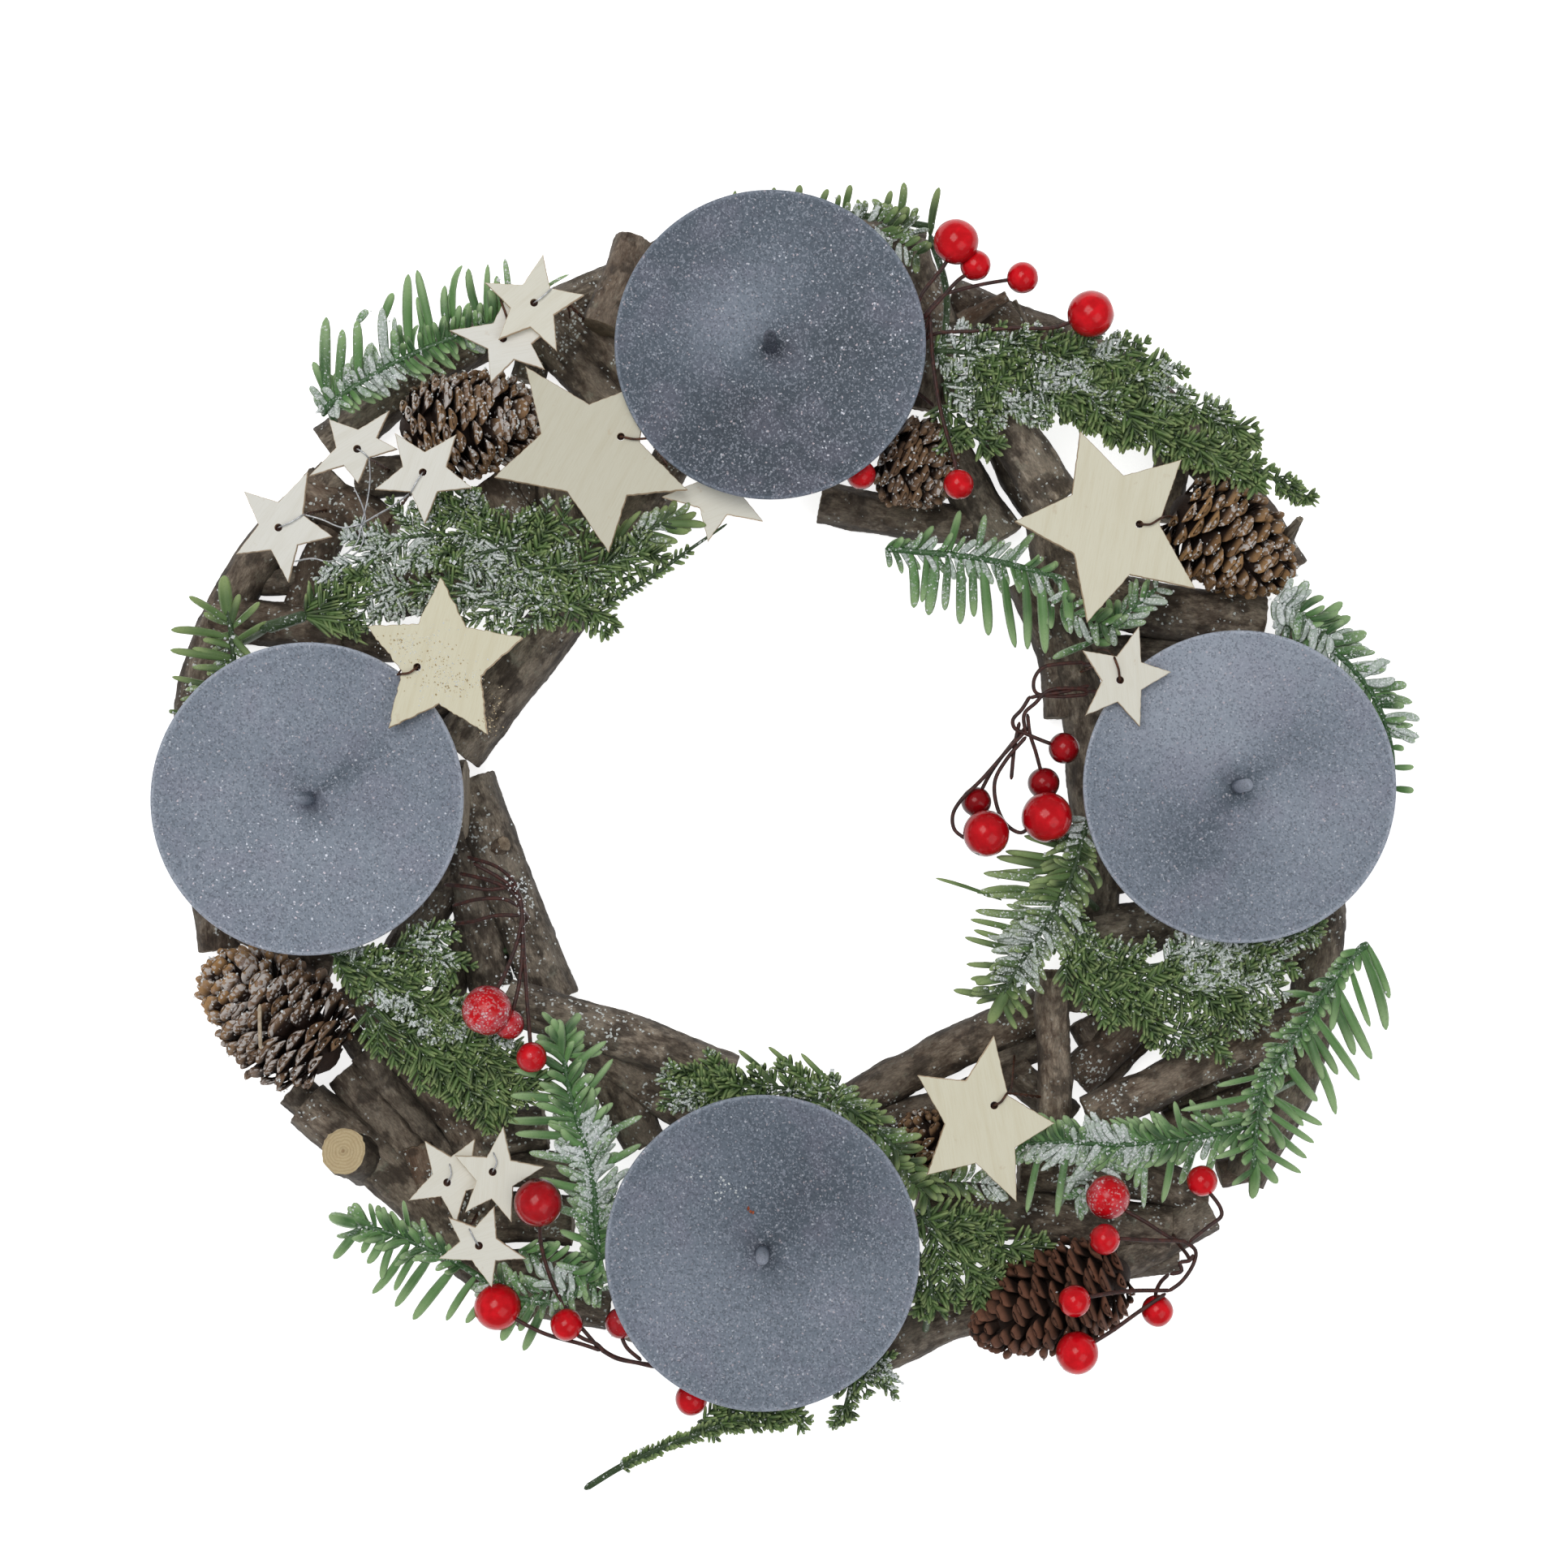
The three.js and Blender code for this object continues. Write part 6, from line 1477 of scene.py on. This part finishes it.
def pick_right_lower():
    G = Greens(506)
    S = [(1340, 1010, 30), (1323, 1072, 31), (1294, 1129, 31.5), (1257, 1187, 31.5), (1234, 1230, 31)]
    stem(G, S, 0.9, 0.7)
    fir_given(G, [
        (1288, 1049, 1239, 1049, 10, 0.3), (1297, 1060, 1227, 1075, 9, 0.3), (1288, 1095, 1212, 1103, 9, 0.3), (1234, 1109, 1153, 1082, 5, 0.0), (1251, 1135, 1196, 1133, 8), (1251, 1164, 1189, 1155, 8),
        (1257, 1189, 1191, 1188, 8), (1222, 1221, 1175, 1220, 9), (1248, 1207, 1219, 1261, 16), (1262, 1230, 1248, 1250, 10), (1246, 1150, 1200, 1146, 8), (1240, 1205, 1196, 1206, 8), (1300, 1040, 1262, 1030, 9, 0.5),
        (1296, 1084, 1212, 1076, 11, 0.5), (1290, 1100, 1204, 1100, 11, 0.3), (1286, 1118, 1202, 1122, 11, 0.4), (1298, 1066, 1228, 1056, 11, 0.4)], 0.2, z=31, tip_z=31)
    fir_auto(G, S, 0.0, 1.0, 0.9, 11, 58, (-1,), 0.95, 2.0, zmax=34)
    fir_auto(G, S, 0.0, 1.0, 1.0, 10, 50, (1,), 0.95, 2.0, zmax=34)
    fir_auto(G, S, 0.05, 0.95, 1.2, 6, 70, (1, -1), 1.1, 1.9, rise=(1.0, 3.5), zmax=36)
    # frosted cypress below the right plate
    spray(G, [(1310, 1110, 30), (1330, 1160, 31), (1400, 1190, 31.5), (1470, 1180, 32), (1560, 1172, 32)], 30, 44, 0.35, 1.0, 1.4, 4.4, 1.05, 2.4, 33.4)
    spray(G, [(1340, 1180, 31), (1400, 1210, 32), (1470, 1220, 32.5), (1560, 1206, 32.5)], 34, 40, 0.2, 0.85, 1.5, 4.6, 1.05, 2.6, 34)
    spray(G, [(1470, 1200, 31), (1500, 1240, 32), (1540, 1262, 32)], 36, 22, 0.7, 0.5, 1.5, 4.2, 1.05, 2.4, 34)
    spray(G, [(1560, 1170, 31), (1600, 1150, 32), (1622, 1148, 32)], 26, 14, 0.95, 0.6, 1.6, 3.8, 1.0, 2.0, 33.4)
    spray(G, [(1310, 1180, 30.5), (1350, 1216, 31.5), (1420, 1250, 32)], 34, 24, 0.2, 0.15, 1.5, 5.0, 1.1, 2.4, 34)
    spray(G, [(1400, 1240, 30), (1440, 1270, 30.6), (1500, 1290, 30.6)], 26, 18, 0.25, 0.3, 1.7, 4.4, 1.05, 2.0, 33)
    stem(G, [(1320, 1100, 30.5), (1340, 1110, 22), (1352, 1120, 12)], 0.9)
    finish_pick("cypress_pick_right_lower", G, CYPRESS)


def pick_lower_right():
    G = Greens(507)
    K = [(1684, 1162, 31), (1669, 1177, 31.5), (1631, 1224, 32), (1607, 1262, 32), (1574, 1309, 32), (1560, 1333, 32), (1551, 1366, 32), (1546, 1413, 32), (1545, 1440, 32)]
    stem(G, K, 1.1, 0.7)
    fir_given(G, [
        (1545, 1428, 1543, 1477, 16), (1676, 1168, 1708, 1269, 14), (1671, 1194, 1688, 1265, 9), (1662, 1224, 1690, 1305, 13), (1645, 1229, 1669, 1300, 13), (1640, 1262, 1675, 1331, 12), (1626, 1274, 1648, 1324, 11),
        (1619, 1290, 1646, 1373, 13), (1591, 1309, 1623, 1357, 12), (1586, 1347, 1629, 1386, 10), (1570, 1342, 1606, 1387, 10), (1562, 1365, 1619, 1408, 9), (1570, 1392, 1610, 1427, 10), (1556, 1411, 1603, 1445, 9),
        (1553, 1425, 1574, 1458, 13), (1560, 1380, 1581, 1416, 12), (1617, 1227, 1579, 1224, 12), (1546, 1312, 1499, 1338, 8), (1539, 1345, 1455, 1368, 9), (1546, 1378, 1492, 1387, 8), (1539, 1408, 1497, 1427, 8),
        (1537, 1444, 1518, 1460, 8), (1650, 1202, 1640, 1270, 11), (1608, 1264, 1630, 1330, 11), (1680, 1165, 1690, 1200, 12), (1690, 1170, 1712, 1230, 10)], 0.08, z=32, tip_z=32.5)
    fir_auto(G, K, 0.05, 0.95, 1.5, 6, 42, (1, -1), 0.2, 2.0, zmax=35)
    fir_auto(G, K, 0.1, 0.8, 2.0, 4, 55, (1, -1), 0.3, 1.9, rise=(1.5, 3.0), zmax=36)
    L = [(1560, 1380, 31), (1499, 1397, 31.5), (1389, 1410, 31.5), (1300, 1407, 31.5), (1257, 1410, 31)]
    stem(G, L, 1.0, 0.6)
    fir_given(G, [
        (1422, 1367, 1367, 1387, 8), (1459, 1397, 1447, 1357, 9), (1489, 1397, 1466, 1355, 9), (1447, 1412, 1432, 1482, 10), (1476, 1417, 1454, 1459, 11), (1409, 1415, 1399, 1464, 11), (1414, 1432, 1409, 1489, 10),
        (1354, 1424, 1300, 1494, 10, 0.7), (1315, 1444, 1302, 1499, 10), (1285, 1439, 1265, 1494, 9), (1332, 1482, 1332, 1504, 8), (1500, 1402, 1486, 1450, 10), (1520, 1396, 1500, 1350, 9), (1540, 1390, 1512, 1372, 9)], 0.25, z=31.3, tip_z=31.5)
    fir_auto(G, L, 0.05, 0.5, 1.1, 9, 50, (1, -1), 0.35, 2.1, rise=(-1, 1.5), zmax=33)
    fir_auto(G, L, 0.45, 1.0, 0.75, 9, 50, (1, -1), 1.0, 2.0, rise=(-1, 1.5), zmax=33)
    fir_auto(G, L, 0.4, 1.0, 1.0, 6, 70, (1, -1), 1.1, 1.9, rise=(0.5, 1.8), zmax=33)
    fir_auto(G, [(1340, 1400, 31), (1350, 1440, 31), (1330, 1470, 30.6)], 0, 1, 1.0, 8, 50, (1, -1), 0.9, 2.0, zmax=32.5)
    stem(G, [(1560, 1350, 31.5), (1580, 1340, 22), (1600, 1330, 11)], 0.9)
    finish_pick("fir_pick_lower_right", G, FIR)


def pick_bottom_outer():
    G = Greens(508)
    S = [(721, 1834, 29.6), (767, 1806, 30.4), (823, 1780, 31), (890, 1756, 31), (960, 1740, 31), (1010, 1720, 30.5), (1060, 1690, 29), (1090, 1660, 20)]
    stem(G, S, 0.95, 0.8)
    fir_auto(G, S, 0.12, 0.5, 0.62, 3.0, 40, (1, -1), 0.08, 1.05, rise=(-0.6, 1.2))
    fir_auto(G, S, 0.12, 0.5, 0.9, 2.4, 60, (1, -1), 0.1, 1.0, rise=(0.5, 1.6))
    spray(G, [(860, 1752, 31), (920, 1744, 31.5), (985, 1740, 31)], 22, 12, 0.1, 0.15, 1.1, 3.6, 1.0, 1.6, 34)
    spray(G, [(900, 1738, 31), (950, 1732, 31.5), (986, 1752, 31)], 18, 10, 0.2, 0.15, 1.2, 3.4, 1.0, 1.6, 34)
    spray(G, [(1050, 1700, 30), (1044, 1724, 30.6), (1036, 1752, 30.6)], 16, 10, 0.7, 0.2, 1.2, 3.4, 1.0, 1.6, 34)
    spray(G, [(1040, 1690, 30), (1066, 1700, 31), (1092, 1706, 31)], 26, 14, 0.9, 0.6, 1.2, 3.4, 1.0, 1.8, 34)
    spray(G, [(1060, 1680, 30), (1078, 1682, 31), (1094, 1684, 31)], 20, 12, 0.9, 0.6, 1.2, 3.2, 1.0, 1.8, 34)
    finish_pick("cypress_pick_bottom_outer", G, CYPRESS)


def pick_bottom_inner():
    G = Greens(509)
    fir_given(G, [(941, 1323, 910, 1294, 7), (987, 1330, 947, 1290, 7), (1027, 1338, 987, 1298, 7), (1010, 1350, 970, 1316, 7), (960, 1340, 930, 1312, 7, 0.4), (1060, 1362, 1024, 1330, 8, 0.3)], 0.1, z=31, tip_z=31.6)
    spray(G, [(1040, 1370, 30.5), (980, 1344, 31), (900, 1336, 31), (836, 1340, 31)], 34, 26, 0.4, 0.85, 1.4, 4.2, 1.05, 2.4, 33)
    spray(G, [(960, 1356, 30), (900, 1350, 31), (830, 1352, 31)], 26, 22, 0.6, 0.95, 1.5, 3.8, 1.0, 2.4, 33)
    spray(G, [(900, 1330, 30.5), (866, 1316, 31), (836, 1320, 31)], 26, 16, 0.6, 0.7, 1.5, 3.8, 1.0, 2.2, 33)
    spray(G, [(960, 1352, 30), (1020, 1360, 31), (1070, 1380, 31)], 30, 18, 0.25, 0.2, 1.4, 4.6, 1.1, 2.2, 32.5)
    fir_auto(G, [(1130, 1462, 30.5), (1180, 1456, 30.5), (1232, 1462, 30.5)], 0, 1, 1.0, 6, 50, (1, -1), 0.8, 1.9, zmax=32)
    spray(G, [(1180, 1516, 30), (1230, 1534, 30.5), (1290, 1540, 30.5)], 26, 14, 0.15, 0.1, 1.3, 5.0, 1.1, 2.0, 32.5)
    K = [(1030, 1352, 31), (1080, 1392, 31), (1116, 1430, 30.6), (1140, 1470, 30)]
    stem(G, K, 0.9, 0.8)
    fir_auto(G, K, 0.0, 1.0, 1.1, 8, 48, (1, -1), 0.5, 2.0, zmax=32.5)
    fir_auto(G, [(1090, 1420, 30.5), (1112, 1450, 31), (1130, 1464, 31)], 0, 1, 0.9, 6, 55, (1, -1), 1.0, 1.9, zmax=32.5)
    spray(G, [(1130, 1490, 30), (1160, 1530, 31), (1196, 1560, 31), (1220, 1590, 31)], 46, 26, 0.15, 0.1, 1.3, 4.8, 1.1, 2.4, 34)
    spray(G, [(1140, 1500, 30), (1180, 1508, 31), (1232, 1512, 31)], 30, 14, 0.1, 0.1, 1.3, 5.0, 1.1, 2.2, 33)
    spray(G, [(1130, 1540, 30), (1146, 1580, 30.5), (1150, 1612, 30.5)], 26, 20, 0.2, 0.85, 1.3, 4.2, 1.05, 2.2, 34)
    spray(G, [(1120, 1590, 30), (1150, 1600, 30.5), (1176, 1602, 30.5)], 18, 12, 0.9, 0.8, 1.4, 3.4, 1.0, 1.8, 33)
    stem(G, [(1140, 1470, 30), (1150, 1540, 30), (1146, 1600, 30), (1140, 1640, 14)], 0.9)
    finish_pick("cypress_pick_bottom_inner", G, CYPRESS)


def pick_lower_left():
    G = Greens(510)
    N = [(691, 1262, 32), (697, 1318, 32), (709, 1371, 32), (723, 1418, 32), (732, 1465, 31.6), (735, 1509, 31.4), (738, 1553, 31)]
    stem(G, N, 0.7, 1.1)
    back = N[::-1]
    fir_given(G, [
        (692, 1306, 689, 1256, 17), (703, 1295, 720, 1271, 12), (694, 1297, 659, 1284, 14), (697, 1321, 670, 1303, 12), (711, 1321, 747, 1283, 10), (688, 1330, 635, 1318, 12), (717, 1344, 732, 1324, 11),
        (720, 1362, 755, 1305, 9), (682, 1362, 629, 1350, 12), (676, 1390, 623, 1381, 12), (732, 1388, 755, 1359, 10), (738, 1406, 791, 1375, 10, 0.3), (685, 1412, 635, 1397, 11), (744, 1421, 763, 1390, 10, 0.4),
        (700, 1340, 722, 1300, 11), (704, 1352, 664, 1334, 11), (710, 1380, 740, 1340, 10), (708, 1376, 660, 1360, 11), (716, 1400, 748, 1362, 10), (690, 1280, 672, 1266, 11), (699, 1300, 742, 1296, 9),
        (742, 1440, 790, 1410, 10, 0.6), (744, 1470, 776, 1440, 10, 0.7), (700, 1440, 652, 1420, 11, 0.6), (712, 1470, 664, 1452, 11, 0.7), (720, 1500, 680, 1484, 11, 0.7), (726, 1530, 690, 1516, 11, 0.6)], 0.1, z=32, tip_z=33.2)
    fir_auto(G, back, 0.45, 0.97, 1.2, 8.5, 42, (1, -1), 0.12, 2.2, zmax=35.5)
    fir_auto(G, back, 0.0, 0.55, 0.75, 10, 48, (1, -1), 0.9, 2.0, zmax=34.5)
    fir_auto(G, back, 0.0, 0.6, 1.0, 6, 65, (1, -1), 1.05, 1.9, rise=(0.8, 2.2), zmax=34.5)
    T = [(439, 1509, 31), (483, 1520, 31), (538, 1544, 31), (568, 1559, 31), (640, 1600, 30.5), (700, 1600, 31), (738, 1553, 31)]
    stem(G, T, 0.7, 1.0)
    fir_given(G, [
        (447, 1509, 405, 1498, 22), (449, 1506, 436, 1482, 13), (477, 1515, 465, 1485, 10), (506, 1526, 497, 1479, 9), (445, 1517, 411, 1551, 12), (456, 1526, 446, 1544, 10), (471, 1529, 453, 1557, 12),
        (497, 1544, 459, 1594, 12), (527, 1556, 487, 1610, 12), (556, 1573, 509, 1626, 13), (579, 1585, 550, 1627, 10), (638, 1632, 618, 1652, 14), (670, 1635, 645, 1664, 12), (462, 1512, 428, 1494, 10),
        (484, 1532, 470, 1576, 10), (512, 1550, 486, 1590, 10), (530, 1536, 520, 1500, 9, 0.3), (490, 1520, 482, 1492, 9), (600, 1600, 574, 1630, 11, 0.3), (660, 1610, 640, 1640, 11, 0.3)], 0.08, z=31, tip_z=31)
    back2 = T[:4][::-1]
    fir_auto(G, back2, 0.0, 0.95, 1.3, 8, 42, (1, -1), 0.15, 2.1, zmax=34)
    fir_auto(G, [(740, 1545, 30.5), (700, 1580, 30.5), (650, 1596, 30.5), (600, 1580, 30.5)], 0, 1, 1.0, 8, 50, (1, -1), 0.45, 2.0, zmax=32.5)
    fir_auto(G, [(640, 1540, 30.5), (690, 1560, 31), (740, 1590, 31)], 0, 1, 1.0, 7, 55, (1, -1), 0.75, 2.0, zmax=33)
    stem(G, [(735, 1509, 31), (750, 1530, 22), (770, 1600, 11)], 1.0)
    finish_pick("fir_pick_lower_left", G, FIR)


def pick_left_lower():
    G = Greens(511)
    spray(G, [(405, 1172, 30.5), (450, 1196, 31.5), (520, 1236, 32), (590, 1284, 32)], 34, 30, 1.15, 1.0, 1.1, 4.0, 1.05, 2.6, 34.5)
    spray(G, [(420, 1190, 31), (480, 1210, 32), (560, 1256, 32)], 30, 26, 1.15, 1.05, 1.2, 4.0, 1.05, 2.6, 34.5)
    spray(G, [(480, 1170, 31), (520, 1170, 31.5), (548, 1190, 32)], 30, 26, 0.9, 0.9, 1.4, 3.8, 1.05, 2.2, 33.5)
    spray(G, [(500, 1150, 30.5), (540, 1160, 31), (560, 1200, 31)], 26, 18, 0.4, 0.3, 1.5, 4.0, 1.05, 2.2, 33)
    spray(G, [(450, 1240, 30.5), (500, 1280, 31), (560, 1320, 31.5), (620, 1350, 31.5)], 38, 28, 0.25, 0.1, 1.3, 6.0, 1.0, 2.4, 34)
    spray(G, [(500, 1270, 31), (560, 1296, 32), (620, 1316, 32), (650, 1340, 31.5)], 38, 26, 0.3, 0.1, 1.3, 6.0, 1.0, 2.4, 34)
    spray(G, [(540, 1300, 30.5), (580, 1340, 31), (622, 1384, 31)], 34, 18, 0.1, 0.1, 1.4, 5.5, 1.0, 2.2, 33)
    stem(G, [(520, 1236, 31), (530, 1230, 22), (566, 1180, 12), (640, 1170, 8)], 0.9)
    finish_pick("cypress_pick_left_lower", G, CYPRESS)


for make_pick in (pick_fir_left, pick_upper_left, pick_top_right, pick_right_inner, pick_right_outer, pick_right_lower,
                  pick_lower_right, pick_bottom_outer, pick_bottom_inner, pick_lower_left, pick_left_lower):
    make_pick()

# ------------------------------------------------------------------ loose grains and specks
rng = np.random.default_rng(901)
for (u0, v0, su, sv, n) in [(498, 792, 14, 9, 60), (545, 824, 26, 17, 150), (566, 846, 16, 9, 60), (530, 780, 12, 9, 25)]:
    for _ in range(n):
        LOOSE.append((plan(u0 + rng.normal(0, su), v0 + rng.normal(0, sv), 43.02), rng.uniform(0.10, 0.26)))
frosting("star_large_left", "large_star_left")

DUST = wire_material("dust_look", rgb(176, 152, 108), rgb(226, 212, 182), 0.6)
spots, sizes = [], []
for (u0, v0, su, sv, n) in [(540, 822, 24, 16, 110), (562, 846, 16, 9, 50), (600, 892, 7, 9, 40), (494, 790, 14, 7, 40), (612, 858, 5, 14, 24)]:
    for _ in range(n):
        spots.append(plan(u0 + rng.normal(0, su), v0 + rng.normal(0, sv), 43.02))
        sizes.append(rng.uniform(0.10, 0.30))
F = Build()
crystals(F, np.array(spots), np.array(sizes), rng, 0)
F.make("star_large_left.dust", [DUST], "large_star_left", smooth=False)

RUST = wire_material("rust_look", rgb(150, 70, 44), rgb(190, 104, 66), 0.8)
F = Build()
crystals(F, np.array([plan(925, 1493, 36.45), plan(922, 1489, 36.5), plan(928, 1494, 36.45)]), np.array([0.8, 0.6, 0.5]), rng, 0)
F.make("candle_plate_bottom.speck", [RUST], "plate_bottom", smooth=False)

for u0, v0, n in [(888, 1462, 9), (900, 1470, 7), (862, 1446, 4), (876, 1480, 4)]:
    for _ in range(n):
        p = plan(u0 + rng.normal(0, 6), v0 + rng.normal(0, 5), 38.0)
        far = np.linalg.norm(p[:2] - plan(*PLATE_MID["bottom"], T0 + 3.4)[:2])
        LOOSE.append((np.array([p[0], p[1], T0 + 3.4 * (far - 5) / 33.0]), rng.uniform(0.22, 0.5)))
frosting("candle_plate_bottom", "plate_bottom")

for u0, v0 in [(1145, 1475), (1158, 1500)]:
    for _ in range(26):
        d = unit(rng.normal(size=3)) * rng.uniform(0.5, 1.0)
        LOOSE.append((plan(u0, v0, 12.2) + d, rng.uniform(0.5, 0.75)))
for line in [[(640, 1084), (645, 1100), (642, 1118), (646, 1136)], [(628, 1090), (640, 1104)], [(630, 1196), (618, 1206)], [(634, 1150), (640, 1176)]]:
    for u0, v0 in line:
        for _ in range(16):
            LOOSE.append((plan(u0 + rng.normal(0, 4.5), v0 + rng.normal(0, 7), 34.2 + rng.normal(0, 0.5)), rng.uniform(0.15, 0.42)))
frosting("wreath_grains")


# ------------------------------------------------------------------ floor, light, camera
def floor_material():
    m = Mat("floor_look", 0.95, spec=0.0)
    n = m.noise(m.place(), 0.004, 2)
    m.set("Base Color", m.mix(n, rgb(246, 246, 246), rgb(250, 250, 250)))
    m.set("Emission Color", (1, 1, 1, 1))
    m.set("Emission Strength", 0.78)
    return m.m


FM = bpy.data.meshes.new("floor")
FM.from_pydata([(-9, -9, -0.0006), (9, -9, -0.0006), (9, 9, -0.0006), (-9, 9, -0.0006)], [], [(0, 1, 2, 3)])
FM.materials.append(floor_material())
floor = bpy.data.objects.new("floor", FM)
bpy.context.scene.collection.objects.link(floor)

world = bpy.data.worlds.new("studio")
bpy.context.scene.world = world
world.use_nodes = True
world.node_tree.nodes["Background"].inputs[0].default_value = (0.96, 0.98, 1.0, 1)
world.node_tree.nodes["Background"].inputs[1].default_value = 0.34


def area(name, loc, size, power, aim=(0, 0, 0.03), color=(1, 1, 1)):
    light = bpy.data.lights.new(name, "AREA")
    light.shape = "RECTANGLE"
    light.size, light.size_y = size
    light.energy = power
    light.color = color
    o = bpy.data.objects.new(name, light)
    bpy.context.scene.collection.objects.link(o)
    o.location = loc
    o.rotation_euler = (Vector(aim) - Vector(loc)).to_track_quat("-Z", "Y").to_euler()
    return o


area("key", (-0.30, 0.34, 1.2), (0.7, 0.7), 6.4, color=(1.0, 0.985, 0.96))
area("fill", (0.6, -0.5, 1.0), (0.8, 0.8), 2.6)

cam = bpy.data.cameras.new("camera")
cam.lens = 65.217
cam.sensor_width = 36
cam.clip_start = 0.05
camera = bpy.data.objects.new("camera", cam)
bpy.context.scene.collection.objects.link(camera)
camera.location = ((EYE[0] - SHIFT[0]) * MM, (EYE[1] - SHIFT[1]) * MM, EYE[2] * MM)
camera.rotation_euler = (math.radians(2), 0, 0)
bpy.context.scene.camera = camera
bpy.context.scene.view_settings.view_transform = "Standard"
